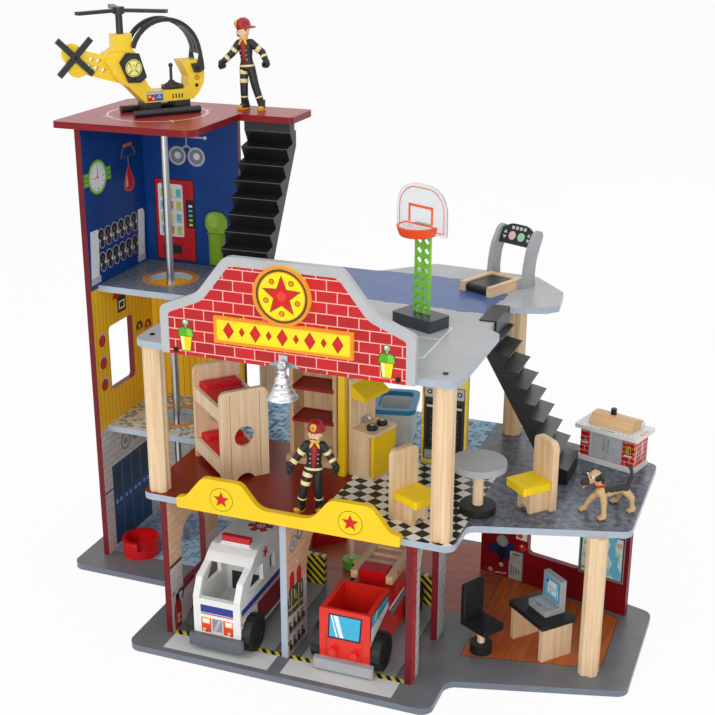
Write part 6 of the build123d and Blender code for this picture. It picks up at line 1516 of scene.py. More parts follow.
shapes = [
    ("#3E86A8", rounded(18.5, 60, 47.5, 86.5, 1.2), 0),
    ("#63B7D6", rect(19.6, 61.2, 46.4, 85.4), 1), ("#DCE6EC", rect(25.5, 66, 41.5, 82.5), 2),
    ("#22405A", disc(24.6, 80.6, 2.2, 16), 3), ("#B7D9E8", rect(43, 63, 45.2, 76), 2),
    ("#9AA8B2", rect(28, 75, 39, 76.4), 3), ("#9AA8B2", rect(28, 71.4, 39, 72.8), 3),
    ("#C98A9A", rect(28, 67.6, 33, 69.4), 3)]
prints("computer_screen_print", screen, shapes)
keys = face_of(DESK, "up", (0, 0, 57.0))
shapes = [("#8C8F93", rounded(19.5, 17.5, 46.5, 29, 0.8), 0)]
for k in range(4):
    for i in range(10):
        u, z = 20.4 + 2.58 * i, 18.2 + 2.65 * k
        shapes.append(("#C4C6C9", rect(u, z, u + 2.1, z + 2.1), 1))
shapes.append(("#7A7D81", rounded(29, 13.4, 37, 16.4, 0.6), 0))
prints("computer_keys_print", keys, shapes)
LEAN = Matrix.Rotation(math.radians(-23.0), 4, "X")
dial_face = face_of(TREADMILL @ Matrix.Translation((0, 73.4, 48.0)) @ LEAN, "front", (0, 0, 0))
shapes = []
for u, ring_code, code in ((17.6, "#C99AA4", "#E3BFC6"), (31.6, "#7FB78C", "#A8D6B0")):
    shapes += [
        (ring_code, disc(u, 10.6, 5.6, 34), 0), (code, disc(u, 10.6, 4.6, 34), 1),
        (ring_code, disc(u, 10.6, 2.6, 26), 2), (code, disc(u, 10.6, 1.8, 22), 3)]
for i in range(4):
    shapes += [
        ("#D9DADC", rect(14.4 + 6.1 * i, 19.0, 18.2 + 6.1 * i, 22.8), 0),
        ("#8F9196", rect(15.5 + 6.1 * i, 20.0, 17.1 + 6.1 * i, 21.6), 1)]
for u in (6.4, 42.6):
    shapes += [
        ("#BFC6CA", [(u - 2.6, 12.6), (u + 2.6, 12.6), (u, 17.2)], 0),
        ("#BFC6CA", [(u - 2.6, 9.6), (u, 5.0), (u + 2.6, 9.6)], 0)]
prints("treadmill_dial_print", dial_face, shapes)
print("furniture printed")

# %% [markdown]
# ## Rubber figures
# The two firefighters are soft PVC moulded over a wire, about as tall as a hand is long. CAD has
# them as plain bars, so they are made again here. A limb is a ring of points swept along a bent
# line with a radius at each point, which gives the soft swellings of a moulded sleeve. The head
# and the coat are lofts, rings of different width and depth stacked on each other, and the
# reflective bands are short sleeves that stand a little proud of the cloth, as in the mould.
# %% Sweeps and lofts for moulded rubber
CAP_DEGREES = (35, 62, 82)             # rings of a round end, by their angle from its rim


def sweep(bm, place, path, finish, around, round_ends=True):
    """A limb along a bent line: path is a list of (x, y, z, radius)."""
    points = [Vector(p[:3]) for p in path]
    radii = [p[3] for p in path]
    if round_ends:
        for end, inner in ((0, 1), (-1, -2)):
            out = (points[end] - points[inner]).normalized()
            cap = [(points[end] + out * radii[end] * math.sin(math.radians(a)),
                    radii[end] * math.cos(math.radians(a))) for a in CAP_DEGREES]
            for point, radius in cap:
                at = 0 if end == 0 else len(points)
                points.insert(at, point)
                radii.insert(at, radius)
    side = None
    rings = []
    for i, point in enumerate(points):
        ahead = points[min(i + 1, len(points) - 1)] - points[max(i - 1, 0)]
        ahead.normalize()
        side = ahead.orthogonal().normalized() if side is None else (
            side - ahead * side.dot(ahead)).normalized()
        up = ahead.cross(side)
        rings.append([bm.verts.new(place @ (point + (
            side * math.cos(2 * math.pi * k / around)
            + up * math.sin(2 * math.pi * k / around)) * radii[i])) for k in range(around)])
    rings_to_skin(bm, rings, finish)


def loft(bm, place, levels, finish, around):
    """Stacked ovals: each level is (x, y, z, half depth, half width)."""
    rings = [[bm.verts.new(place @ Vector((x + depth * math.cos(2 * math.pi * k / around),
                                           y + width * math.sin(2 * math.pi * k / around), z)))
              for k in range(around)] for x, y, z, depth, width in levels]
    rings_to_skin(bm, rings, finish)


def ball(bm, place, x, y, z, rx, ry, rz, finish, count=8):
    """An egg, as a loft of its own circles."""
    levels = [(x, y, z + rz * math.sin(math.radians(a)), rx * math.cos(math.radians(a)),
               ry * math.cos(math.radians(a)))
              for a in (-88 + 176 * i / count for i in range(count + 1))]
    loft(bm, place, levels, finish, 14)


FIGURE_FINISHES = [
    moulded("soft_pvc_black", "#17171A", 0.5, 1.0, 0.05),
    moulded("soft_pvc_cream_bands", "#E9D9A0", 0.55, 0.8, 0.04),
    moulded("soft_pvc_skin", "#EBC79C", 0.5, 1.2, 0.02),
    moulded("soft_pvc_helmet_red", "#A3141C", 0.3, 1.0, 0.02),
    moulded("soft_pvc_yellow", "#EDBE2A", 0.45, 0.9, 0.04),
    moulded("soft_pvc_shirt_red", "#A51F1C", 0.6, 0.8, 0.05),
    moulded("soft_pvc_boot_yellow", "#E3A72C", 0.5, 1.0, 0.03),
    moulded("soft_pvc_face_black", "#1A1310", 0.6, 1.0, 0.02),
    moulded("soft_pvc_silver", "#B9BBBE", 0.4, 1.0, 0.02),
    moulded("soft_pvc_eye_white", "#F0EFEA", 0.3, 1.0, 0.0),
]
BLACK, BAND, SKIN, HELMET, YELLOW, SHIRT, TOE, DARK, CLASP, WHITE = range(10)


def between(a, b, share):
    """A point and radius part of the way along a limb."""
    return tuple(a[i] + (b[i] - a[i]) * share for i in range(4))


def banded_limb(bm, place, path, bands):
    """A sleeve or trouser leg with raised bands: bands are (segment, from, to) shares."""
    sweep(bm, place, path, BLACK, 14)
    for segment, start, stop in bands:
        low, high = [between(path[segment], path[segment + 1], share) for share in (start, stop)]
        swell = [(*p[:3], p[3] + rise) for p, rise in (
            (low, 0.1), (between(low, high, 0.12), 0.5), (between(low, high, 0.88), 0.5),
            (high, 0.1))]
        sweep(bm, place, swell, BAND, 16, False)


def glove(bm, place, side, hand):
    """A half closed hand: a palm, four curled fingers and a thumb."""
    x, y, z = hand
    ball(bm, place, x, y, z, 4.6, 3.7, 4.8, BLACK)
    for i in range(4):
        fx = x - 3.3 + i * 2.2
        finger = [
            (fx, y + side * 1.6, z - 2.6, 1.5), (fx + 0.4, y - side * 0.2, z - 5.6, 1.5),
            (fx + 0.6, y - side * 3.0, z - 4.6, 1.4), (fx + 0.4, y - side * 3.6, z - 2.2, 1.2)]
        sweep(bm, place, finger, BLACK, 8)
    thumb = [(x + 3.2, y - side * 1.0, z + 1.5, 1.5), (x + 5.8, y - side * 2.4, z - 1.4, 1.35)]
    sweep(bm, place, thumb, BLACK, 8)


def head(bm, place):
    """Face with brows, eyes, nose, moustache and chin under a ridged helmet."""
    loft(bm, place, [(0.6, 0, 84.0, 3.4, 3.6), (1.0, 0, 86.4, 4.6, 4.4), (1.6, 0, 88.0, 5.9, 5.2),
                     (1.2, 0, 90.5, 6.7, 6.2), (0.7, 0, 93.5, 6.9, 6.8), (0.2, 0, 97.0, 7.0, 7.0),
                     (0, 0, 101.0, 6.4, 6.6), (0, 0, 104.0, 3.0, 3.0)], SKIN, 22)
    ball(bm, place, 8.2, 0, 92.4, 1.7, 1.4, 1.9, SKIN, 6)
    for side in (-1, 1):
        ball(bm, place, 0.2, side * 6.9, 92.6, 1.6, 0.9, 2.2, SKIN, 6)
        ball(bm, place, 6.7, side * 2.5, 94.8, 0.8, 1.3, 1.2, WHITE, 6)
        ball(bm, place, 7.3, side * 2.3, 94.7, 0.5, 0.62, 0.75, DARK, 6)
        sweep(bm, place, [(7.5, side * 1.1, 96.2, 0.45), (7.1, side * 2.8, 97.1, 0.5),
                          (6.1, side * 4.3, 96.6, 0.35)], DARK, 8)
        sweep(bm, place, [(8.2, side * 0.4, 90.4, 0.6), (7.7, side * 2.0, 90.1, 0.65),
                          (6.7, side * 3.5, 89.2, 0.35)], DARK, 8)
        sweep(bm, place, [(0.5, side * 6.6, 97.5, 1.1), (0.2, side * 6.9, 94.6, 0.7)], DARK, 8)
    brim_and_dome = [
        (-3.2, 0, 97.0, 11.4, 9.6), (-3.4, 0, 97.9, 12.2, 10.4), (-1.9, 0, 98.9, 10.8, 9.6),
        (0, 0, 99.6, 8.9, 8.6), (0, 0, 103.0, 8.3, 8.0), (0, 0, 106.2, 6.9, 6.6),
        (0, 0, 108.4, 4.3, 4.1), (0, 0, 109.2, 1.6, 1.5)]
    loft(bm, place, brim_and_dome, HELMET, 28)
    for turn in range(6):
        angle = math.radians(60 * turn + 30)
        c, s = math.cos(angle), math.sin(angle)
        ridge = [
            (8.6 * c, 8.2 * s, 99.8, 0.5), (8.1 * c, 7.8 * s, 103.2, 0.5),
            (6.6 * c, 6.3 * s, 106.6, 0.45), (2.4 * c, 2.3 * s, 109.2, 0.35)]
        sweep(bm, place, ridge, HELMET, 6)
    shield = [(9.2, 0, 99.4, 0.9, 1.2), (9.4, 0, 101.4, 0.9, 3.0), (9.0, 0, 104.8, 0.9, 3.4),
              (8.0, 0, 107.4, 0.9, 2.2)]
    loft(bm, place, shield, YELLOW, 14)
    for dy, dz in ((0, 0), (-1.5, 0), (1.5, 0), (0, 1.6), (0, -1.6)):
        ball(bm, place, 10.0 - dz * 0.15, dy, 103.2 + dz, 0.5, 0.75, 0.75, HELMET, 4)


HIP_HEIGHT, NECK_HEIGHT, HEAD_SIZE = 52.0, 84.0, 1.06


def firefighter(name, place, lean, look, limbs):
    """One figure in a coat with reflective bands: limbs holds, for each side, where the elbow, the
    wrist, the knee and the ankle are and how far the foot turns out."""
    bm = bmesh.new()
    stance = place
    place = stance @ Matrix.Translation((0, 0, HIP_HEIGHT)) @ Matrix.Rotation(
        math.radians(lean), 4, "X") @ Matrix.Translation((0, 0, -HIP_HEIGHT))
    for side, (elbow, wrist, knee, ankle, toes_out) in limbs.items():
        hip, knee, ankle = (0, side * 4.6, 53.0, 5.6), (*knee, 4.9), (*ankle, 4.3)
        shin = between(knee, ankle, 0.62)
        thigh_bands = [(0, 0.42, 0.86), (1, 0.30, 0.72)] if side < 0 else []
        banded_limb(bm, stance, [hip, between(hip, knee, 0.5), knee, shin, ankle],
                    thigh_bands + [(2, 0.84, 0.97)])
        foot = stance @ Matrix.Translation((ankle[0], ankle[1], 0)) @ Matrix.Rotation(
            math.radians(toes_out), 4, "Z")
        loft(bm, foot, [(1.2, 0, 0.0, 8.9, 4.7), (1.2, 0, 1.6, 9.2, 5.0), (1.2, 0, 2.1, 8.9, 4.7)],
             TOE, 22)
        loft(bm, foot, [(0.6, 0, 2.0, 8.2, 4.4), (0.4, 0, 4.6, 7.4, 4.4), (-0.8, 0, 7.6, 5.4, 4.3),
                        (-0.4, 0, 12.5, 4.7, 4.6)], BLACK, 20)
        ball(bm, foot, 6.6, 0, 3.4, 3.7, 4.4, 2.5, TOE)
        shoulder = (0, side * 8.6, 80.5, 5.0)
        banded_limb(bm, place, [shoulder, (*elbow, 4.4), (*wrist, 3.8)],
                    [(0, 0.50, 0.80), (1, 0.45, 0.78)])
        reach = (Vector(wrist) - Vector(elbow)).normalized() * 4.2
        glove(bm, place, side, tuple(Vector(wrist) + reach))
    loft(bm, place, [(0, 0, 47.5, 6.4, 9.6), (0, 0, 50.0, 6.6, 9.8), (0, 0, 58.0, 5.9, 8.4),
                     (0, 0, 64.0, 5.6, 7.9), (0, 0, 72.0, 6.4, 9.4), (0, 0, 79.0, 6.5, 10.6),
                     (0, 0, 83.0, 5.4, 9.0), (0, 0, 85.6, 3.8, 4.6)], BLACK, 26)
    loft(bm, place, [(0, 0, 52.2, 7.0, 10.1), (0, 0, 52.8, 7.4, 10.5), (0, 0, 54.2, 7.2, 10.0),
                     (0, 0, 54.8, 6.7, 9.4)], BAND, 26)
    loft(bm, place, [(3.6, 0, 56.0, 3.0, 2.6), (3.7, 0, 66.0, 3.1, 3.0), (4.2, 0, 76.0, 3.3, 3.9),
                     (3.6, 0, 82.6, 3.0, 3.9)], SHIRT, 16)
    for side in (-1, 1):
        sweep(bm, place, [(2.6, side * 1.2, 85.4, 1.4), (4.6, side * 3.4, 82.6, 1.9),
                          (5.6, side * 5.0, 79.6, 0.9)], YELLOW, 10)
        sweep(bm, place, [(-2.4, side * 2.2, 86.0, 1.5), (1.6, side * 3.9, 85.4, 1.7)], YELLOW, 10)
        for z in (61.0, 66.5, 72.0):
            ball(bm, place, 6.1, side * 4.3, z, 0.8, 1.1, 0.8, CLASP, 4)
    head(bm, place @ Matrix.Translation((0, 0, NECK_HEIGHT)) @ Matrix.Rotation(
        math.radians(look), 4, "Z") @ Matrix.Scale(HEAD_SIZE, 4) @ Matrix.Translation(
        (0, 0, -NECK_HEIGHT)))
    piece = keep(name, bm, FIGURE_FINISHES, "station", True, ["firefighters"])
    print(name, "faces:", len(piece.data.polygons))


firefighter("firefighter_front", stand(181.0, 27.5, STOREY_ONE, -70.0), -3.0, -14.0, {
    -1: ((-1, -17.5, 67), (3, -25, 56), (3, -10.5, 30), (0.5, -15, 6), -38.0),
    1: ((-2, 17.0, 68), (3, 23, 60), (2.5, 4.8, 29), (0, 6.5, 6), 6.0)})
firefighter("firefighter_roof", stand(-10.5, 286.5, ROOF, -96.0), 5.0, -38.0, {
    -1: ((5, -17.0, 69), (13.5, -24.5, 61), (3, -3.5, 29), (1, -4.5, 6), -30.0),
    1: ((-5, 20.5, 68), (-2, 25.5, 60), (1, 11.5, 29), (-1.5, 18.5, 6), 18.0)})

# %% [markdown]
# ## Dog
# The dog is one soft moulding in tan and black. Its limbs are sweeps that run into each other, so
# they are fused: a voxel remesh turns the overlapping skins into one closed skin, and a smoothing
# pass melts the creases as moulded rubber does. The black saddle, muzzle and tail are sprayed on,
# and the finish finds them by where a point lies along the back.
# %% Dog
DOG_VOXEL = 0.55       # in millimetres
MELT_STEPS = 6


def fused(name, bm):
    """One skin from overlapping closed parts, remeshed at a real voxel size."""
    mesh = bpy.data.meshes.new(name)
    bm.to_mesh(mesh)
    bm.free()
    lump = added(name + "_lump", mesh)
    remesh = lump.modifiers.new("fuse", "REMESH")
    remesh.mode, remesh.voxel_size, remesh.use_smooth_shade = "VOXEL", DOG_VOXEL * MM, True
    melt = lump.modifiers.new("melt", "SMOOTH")
    melt.factor, melt.iterations = 0.5, MELT_STEPS
    solid = worked_out(lump)
    bpy.data.objects.remove(lump)
    solid.name = name
    return solid


def dog_coat():
    """Tan rubber with a black saddle, tail and muzzle sprayed on."""
    material, tree, shader, place = blank("soft_pvc_dog_tan_and_black")
    spot = in_mm(tree, place)
    ripple = add(tree, "ShaderNodeTexNoise", {"Vector": spot, "Scale": 0.25, "Detail": 2.0})
    wander = add(tree, "ShaderNodeMath", {0: ripple.outputs["Fac"], 1: 5.0, 2: -2.5},
                 operation="MULTIPLY_ADD").outputs[0]
    height = add(tree, "ShaderNodeMath", {0: along(tree, spot, (0, 0, 1)), 1: wander},
                 operation="ADD").outputs[0]
    back = along(tree, spot, (0.79, 0.61, 0))
    saddle = add(tree, "ShaderNodeMath", {0: step(tree, height, 216.0),
                                          1: step(tree, back, 466.0)},
                 operation="MULTIPLY").outputs[0]
    nose = add(tree, "ShaderNodeMath", {0: back, 1: 449.0}, operation="LESS_THAN").outputs[0]
    nose = add(tree, "ShaderNodeMath", {0: nose, 1: step(tree, height, 222.0)},
               operation="MULTIPLY").outputs[0]
    dark = add(tree, "ShaderNodeMath", {0: saddle, 1: nose}, operation="MAXIMUM").outputs[0]
    sideways = add(tree, "ShaderNodeMath", {0: along(tree, spot, (0.61, -0.79, 0)), 1: 181.0,
                                            2: 6.3}, operation="COMPARE").outputs[0]
    ears = add(tree, "ShaderNodeMath", {0: step(tree, height, 229.0), 1: sideways},
               operation="SUBTRACT").outputs[0]
    dark = add(tree, "ShaderNodeMath", {0: dark, 1: ears}, operation="MAXIMUM").outputs[0]
    tan = mottled(tree, spot, "#C9A877", 0.1, 4.0)
    join(tree, shader, {"Base Color": blended(tree, dark, tan, "#1B1816"), "Roughness": 0.55})
    bumped(tree, shader, spot, 1.2, 0.12)
    return material


dog = bmesh.new()
sweep(dog, ROOM, [(481, 137.5, 215.5, 6.6), (487, 142, 215, 7.0), (494, 147.5, 216, 5.7),
                  (501, 153, 217, 5.6), (506, 157, 216.5, 5.4)], 0, 18)
DOG_LEGS = [
    [(478.5, 139, 213, 4.4), (471, 138.5, 206, 3.7), (467, 138, 199, 3.1), (465, 138, 193.6, 3.3)],
    [(484.5, 135, 213, 4.4), (487, 129, 206, 3.7), (488, 125, 198, 3.0), (489, 122.6, 193.6, 3.3)],
    [(506, 153, 214, 4.9), (513.5, 152.5, 207, 4.0), (514, 154, 199, 2.8), (516, 153, 193.6, 3.2)],
    [(501.5, 159.5, 214, 4.9), (497.5, 165, 207, 4.0), (497, 168, 199, 2.8),
     (494, 171, 193.6, 3.2)]]
for leg in DOG_LEGS:
    sweep(dog, ROOM, leg, 0, 14)
    paw_x, paw_y = leg[-1][0] - 1.6, leg[-1][1] - 1.3
    ball(dog, ROOM, paw_x, paw_y, 192.6, 4.6, 4.3, 2.6, 0)
    for toe in (-1, 0, 1):
        toe_x, toe_y = paw_x - 2.9 + toe * 1.6, paw_y - 2.7 - toe * 1.9
        ball(dog, ROOM, toe_x, toe_y, 191.9, 1.8, 1.8, 1.8, 0, 6)
sweep(dog, ROOM, [(482, 139, 218, 6.0), (479, 138.5, 225, 5.2), (476, 138, 231, 5.6)], 0, 16)
ball(dog, ROOM, 474.5, 137.2, 233.8, 7.8, 7.8, 7.2, 0)
snout = [(471, 134.4, 231.8, 5.2), (466.4, 130.4, 229.6, 4.5), (463.4, 127.8, 228.6, 3.7)]
sweep(dog, ROOM, snout, 0, 14)
for side in (-1, 1):
    ear_x, ear_y = 474 + side * 5.3 + 2.2, 137 - side * 5.3 + 2.2
    ear = [(ear_x, ear_y, 237.6, 2.4), (ear_x + side * 1.8, ear_y - side * 1.8, 234.4, 2.7),
           (ear_x + side * 2.4, ear_y - side * 2.4, 229.6, 1.5)]
    sweep(dog, ROOM, ear, 0, 10)
sweep(dog, ROOM, [(507, 159, 218, 3.0), (510.4, 165.6, 227, 2.3), (509, 168, 234, 2.0),
                  (505, 166.6, 240.4, 1.4)], 0, 12)
dog_mesh = fused("dog_body", dog)
piece_of(dog_mesh, "dog_body", [dog_coat()], "station", ["dog"])
print("dog faces:", len(dog_mesh.polygons))

# %% [markdown]
# The dog's eyes, nose, tongue and collar are separate colours, so they are small pieces of their
# own, pressed into the skin.
# %% Dog's face and collar
DOG_FINISHES = [FIGURE_FINISHES[DARK], moulded("soft_pvc_tongue_pink", "#D4737A", 0.4, 1.0, 0.03),
                moulded("soft_pvc_collar_red", "#B3202A", 0.4, 0.8, 0.03), FIGURE_FINISHES[WHITE]]
bm = bmesh.new()
ball(bm, ROOM, 461.6, 126.2, 230.2, 1.9, 1.9, 1.6, 0)
for side in (-1, 1):
    ball(bm, ROOM, 469.0 + side * 3.4, 132.4 - side * 3.4, 236.0, 1.5, 1.5, 1.7, 3)
    ball(bm, ROOM, 468.2 + side * 3.2, 131.6 - side * 3.2, 235.9, 1.1, 1.1, 1.2, 0)
tongue = [(465.6, 129.0, 226.0, 1.6), (463.8, 127.2, 224.4, 1.5), (463.0, 126.6, 222.4, 1.1)]
sweep(bm, ROOM, tongue, 1, 10)
collar = [(479.4 + 6.3 * math.cos(a), 138.4 + 6.3 * math.sin(a), 223.4 + 1.2 * math.cos(a), 1.25)
          for a in (2 * math.pi * i / 18 for i in range(19))]
sweep(bm, ROOM, collar, 2, 8, False)
keep("dog_face_and_collar", bm, DOG_FINISHES, "station", True)
print("rubber figures and dog made")

# %% [markdown]
# ## Things that repeat: Geometry Nodes
# The treads of the stairs have the same painted highlight along their edges, a grey bar lighter
# than the black plastic, the canopy has ribs at an even spacing and the screw heads are all alike.
# Such repeats are made once and placed by a rule, which is what Geometry Nodes do. Each tree has
# named inputs for its sizes, and `grown` sets them, lets Blender work the tree out, and keeps the
# result as a plain mesh on its body.
# %% Helpers for Geometry Nodes pieces
BAR_SIDES = 10


def node_tree(name, sizes):
    """A geometry tree with one named input for each size; returns the tree and its inputs."""
    tree = bpy.data.node_groups.new(name, "GeometryNodeTree")
    tree.interface.new_socket("Geometry", in_out="OUTPUT", socket_type="NodeSocketGeometry")
    kinds = {int: "NodeSocketInt", tuple: "NodeSocketVector", float: "NodeSocketFloat"}
    for label, size in sizes.items():
        tree.interface.new_socket(label, in_out="INPUT", socket_type=kinds[type(size)])
    return tree, tree.nodes.new("NodeGroupInput").outputs


def closed_off(tree, instances, finish):
    """End a tree: instances become real faces that carry the finish."""
    real = add(tree, "GeometryNodeRealizeInstances", {"Geometry": instances})
    painted = add(tree, "GeometryNodeSetMaterial", {"Geometry": real.outputs[0],
                                                    "Material": finish})
    out = tree.nodes.new("NodeGroupOutput")
    tree.links.new(painted.outputs[0], out.inputs[0])


def grown(name, tree, sizes, finish, place, body):
    """Run a tree on an empty mesh and keep what it makes as a piece of a body."""
    seed = added(name + "_seed", bpy.data.meshes.new(name + "_seed"))
    repeat = seed.modifiers.new("repeat", "NODES")
    repeat.node_group = tree
    for item in tree.interface.items_tree:
        if item.in_out == "INPUT":
            repeat[item.identifier] = sizes[item.name]
    mesh = worked_out(seed)
    bpy.data.objects.remove(seed)
    bm = bmesh.new()
    bm.from_mesh(mesh)
    bmesh.ops.transform(bm, matrix=place, verts=bm.verts)
    bmesh.ops.remove_doubles(bm, verts=bm.verts, dist=0.01 * MM)
    piece = keep(name, bm, [finish], body, True)
    print(name, "faces:", len(piece.data.polygons))


def bars_along(tree, count, offset, spine, radius, finish):
    """Set a round bar that follows a spine on each point of a line, and end the tree."""
    stations = add(tree, "GeometryNodeMeshLine", {"Count": count, "Offset": offset}, mode="OFFSET")
    section = add(tree, "GeometryNodeCurvePrimitiveCircle", {
        "Resolution": BAR_SIDES, "Radius": radius})
    bar = add(tree, "GeometryNodeCurveToMesh", {
        "Curve": spine, "Profile Curve": section.outputs[0], "Fill Caps": True})
    placed = add(tree, "GeometryNodeInstanceOnPoints", {
        "Points": stations.outputs[0], "Instance": bar.outputs[0]})
    closed_off(tree, placed.outputs[0], finish)


# %% [markdown]
# A tread nosing is a thin round bar in a grey lighter than the black stairs, a painted highlight
# on each tread's edge. A mesh line gives the points, one for each tread, a curve line with a round
# profile gives the bar, and both flights use the same tree.
# %% Tread nosings
STEP_RUN, STEP_RISE, STAIR_WIDTH = 10.75, 18.8, 61.0
# Lighter grey than the stairs: a painted highlight on the tread edges.
NOSING_HIGHLIGHT = moulded("painted_highlight_edge_of_black_plastic", "#4A4B4F", 0.35, 1.0, 0.02)
NOSING_SIZES = {"Treads": 9, "Step": (STEP_RUN, 0.0, -STEP_RISE), "Bar Length": STAIR_WIDTH,
                "Bar Radius": 0.55}
nosing_tree, given = node_tree("tread_nosings", NOSING_SIZES)
far_end = add(nosing_tree, "ShaderNodeCombineXYZ", {"Y": given["Bar Length"]})
spine = add(nosing_tree, "GeometryNodeCurvePrimitiveLine", {"End": far_end.outputs[0]})
bars_along(nosing_tree, given["Treads"], given["Step"], spine.outputs[0], given["Bar Radius"],
           NOSING_HIGHLIGHT)
grown("lower_stair_nosings", nosing_tree, NOSING_SIZES, NOSING_HIGHLIGHT,
      stand(336.0 + STEP_RUN, 192.5, STOREY_TWO - 2.0 - STEP_RISE), "station")
grown("upper_stair_nosings", nosing_tree, NOSING_SIZES, NOSING_HIGHLIGHT,
      stand(-3.0, 257.5, STOREY_TWO + 188.0, -90.0), "station")

# %% [markdown]
# The canopy of the helicopter is moulded with raised ribs that run over both arches and down the
# front shell to the hinge. An arc with a round profile is one rib, and a line of points across the
# canopy places it, so the helper for the nosings serves here too.
# %% Canopy ribs
RIB_SIZES = {"Ribs": 2, "Spacing": 16.6, "Arch Radius": 45.3, "Start": math.radians(6.0),
             "Sweep": math.radians(154.0), "Rib Radius": 1.3}
rib_tree, given = node_tree("canopy_ribs", RIB_SIZES)
gap = add(rib_tree, "ShaderNodeCombineXYZ", {"Z": given["Spacing"]})
arch_line = add(rib_tree, "GeometryNodeCurveArc", {
    "Resolution": 48, "Radius": given["Arch Radius"], "Start Angle": given["Start"],
    "Sweep Angle": given["Sweep"]})
bars_along(rib_tree, given["Ribs"], gap.outputs[0], arch_line.outputs[0], given["Rib Radius"],
           PLASTIC["charcoal"])
upright_arc = Matrix.Rotation(math.radians(90.0), 4, "X")   # the arc is drawn flat, then stood up
for name, half_gap, start, sweep_over in (("outer", 11.2, 6.0, 154.0), ("inner", 8.4, 6.0, 154.0),
                                          ("front", 3.0, 4.0, 52.0)):
    sizes = dict(RIB_SIZES, Spacing=2 * half_gap, Start=math.radians(start),
                 Sweep=math.radians(sweep_over))
    grown("canopy_ribs_" + name, rib_tree, sizes, PLASTIC["charcoal"],
          HELICOPTER @ Matrix.Translation((3.5, half_gap, 67.5)) @ upright_arc, "canopy")

# %% [markdown]
# Screw heads sit on the hinge plates and on the nose of the helicopter. The points are listed, and
# the head is a low dome, which is a sphere scaled along its axis.
# %% Screw heads, the lever boot and the red ring
SCREW_SIZES = {"Head Radius": 2.3, "Head Rise": 1.0}


def screw_heads(name, spots, body="station", sizes=SCREW_SIZES):
    """Domed heads at points of the helicopter, as one piece."""
    tree, given = node_tree(name, sizes)
    points = None
    for x, y, z in spots:
        dot = add(tree, "GeometryNodeMeshLine", {"Count": 1, "Start Location": (x, y, z)})
        if points is None:
            points = tree.nodes.new("GeometryNodeJoinGeometry")
        tree.links.new(dot.outputs[0], points.inputs[0])
    dome = add(tree, "GeometryNodeMeshUVSphere", {"Segments": 20, "Rings": 10, "Radius": 1.0})
    scale = add(tree, "ShaderNodeCombineXYZ", {
        "X": given["Head Radius"], "Y": given["Head Rise"], "Z": given["Head Radius"]})
    placed = add(tree, "GeometryNodeInstanceOnPoints", {
        "Points": points.outputs[0], "Instance": dome.outputs[0], "Scale": scale.outputs[0]})
    closed_off(tree, placed.outputs[0], SCREW_METAL)
    grown(name, tree, sizes, SCREW_METAL, HELICOPTER, body)


for side, way in ((-1, "right"), (1, "left")):
    screw_heads("helicopter_screws_" + way,
                [(-40.5, side * 15.6, 45.7), (41.4, side * 12.1, 31.4)])
    screw_heads("canopy_hinge_screws_" + way, [(42.0, side * 15.1, 53.0)],
                sizes=dict(SCREW_SIZES, **{"Head Radius": 2.6}))
    nose_face = face_of(HELICOPTER, "front" if side < 0 else "back", (0, side * 12.0, 0))
    prints("helicopter_ring_print_" + way, nose_face,
           [("#D2321F", disc(42.2, 40.7, 3.3, 30), 0), ("#F8D32F", disc(42.2, 40.7, 2.2, 26), 1),
            ("#D2321F", disc(42.2, 40.7, 1.2, 20), 2)])
screw_heads("tail_hub_screw", [(-109.0, -8.4, 73.5)], "tail_rotor")
boot = bmesh.new()
loft(boot, HELICOPTER, [
    (14, 0, 28.4, 13.0, 7.2), (14, 0, 31.4, 12.6, 6.9), (13.6, 0, 34.0, 9.6, 5.0),
    (13.2, 0, 36.0, 4.8, 3.0), (13.0, 0, 38.4, 2.8, 2.4)], 0, 28)
keep("helicopter_lever_boot", boot, [PLASTIC["charcoal"]], "station", True)
print("helicopter details made")

# %% [markdown]
# The tyres carry knobbly blocks on their shoulders. A block is a cone with four sides and a cut
# top, which is a tapered brick, and a circle of points turned by their index sets twenty-eight of
# them round each wheel. The blocks ride on their axle, so they roll with it.
# %% Tyre blocks
BLOCK_SIZES = {"Blocks": 28, "Ring Radius": 20.3, "Block Foot": 2.0, "Block Head": 1.6,
               "Block Rise": 0.9}
block_tree, given = node_tree("tyre_blocks", BLOCK_SIZES)
ring = add(block_tree, "GeometryNodeMeshCircle", {
    "Vertices": given["Blocks"], "Radius": given["Ring Radius"]})
brick = add(block_tree, "GeometryNodeMeshCone", {
    "Vertices": 4, "Radius Bottom": given["Block Foot"],
    "Radius Top": given["Block Head"], "Depth": given["Block Rise"]})
order = add(block_tree, "GeometryNodeInputIndex")
share = add(block_tree, "ShaderNodeMath", {0: math.tau, 1: given["Blocks"]},
            operation="DIVIDE")
turn = add(block_tree, "ShaderNodeMath", {0: order.outputs[0], 1: share.outputs[0],
                                          2: math.radians(45.0)}, operation="MULTIPLY_ADD")
facing = add(block_tree, "ShaderNodeCombineXYZ", {"Z": turn.outputs[0]})
placed = add(block_tree, "GeometryNodeInstanceOnPoints", {
    "Points": ring.outputs[0], "Instance": brick.outputs[0], "Rotation": facing.outputs[0]})
closed_off(block_tree, placed.outputs[0], PLASTIC["tyre"])
AXLE_HEIGHT = BASE_TOP + 22.5
for vehicle, middle, half, axles in (("ambulance", 77.0, 40.5, (4.5, 128.0)),
                                     ("truck", 229.0, 41.5, (20.0, 138.0))):
    for end, y in zip(("front", "rear"), axles):
        for way, side in (("right", 1), ("left", -1)):
            grown(f"{vehicle}_{end}_tyre_blocks_{way}", block_tree, BLOCK_SIZES, PLASTIC["tyre"],
                  stand(middle + side * half, y, AXLE_HEIGHT) @ Matrix.Rotation(
                      math.radians(side * 90.0), 4, "Y"), f"{vehicle}_{end}_axle")

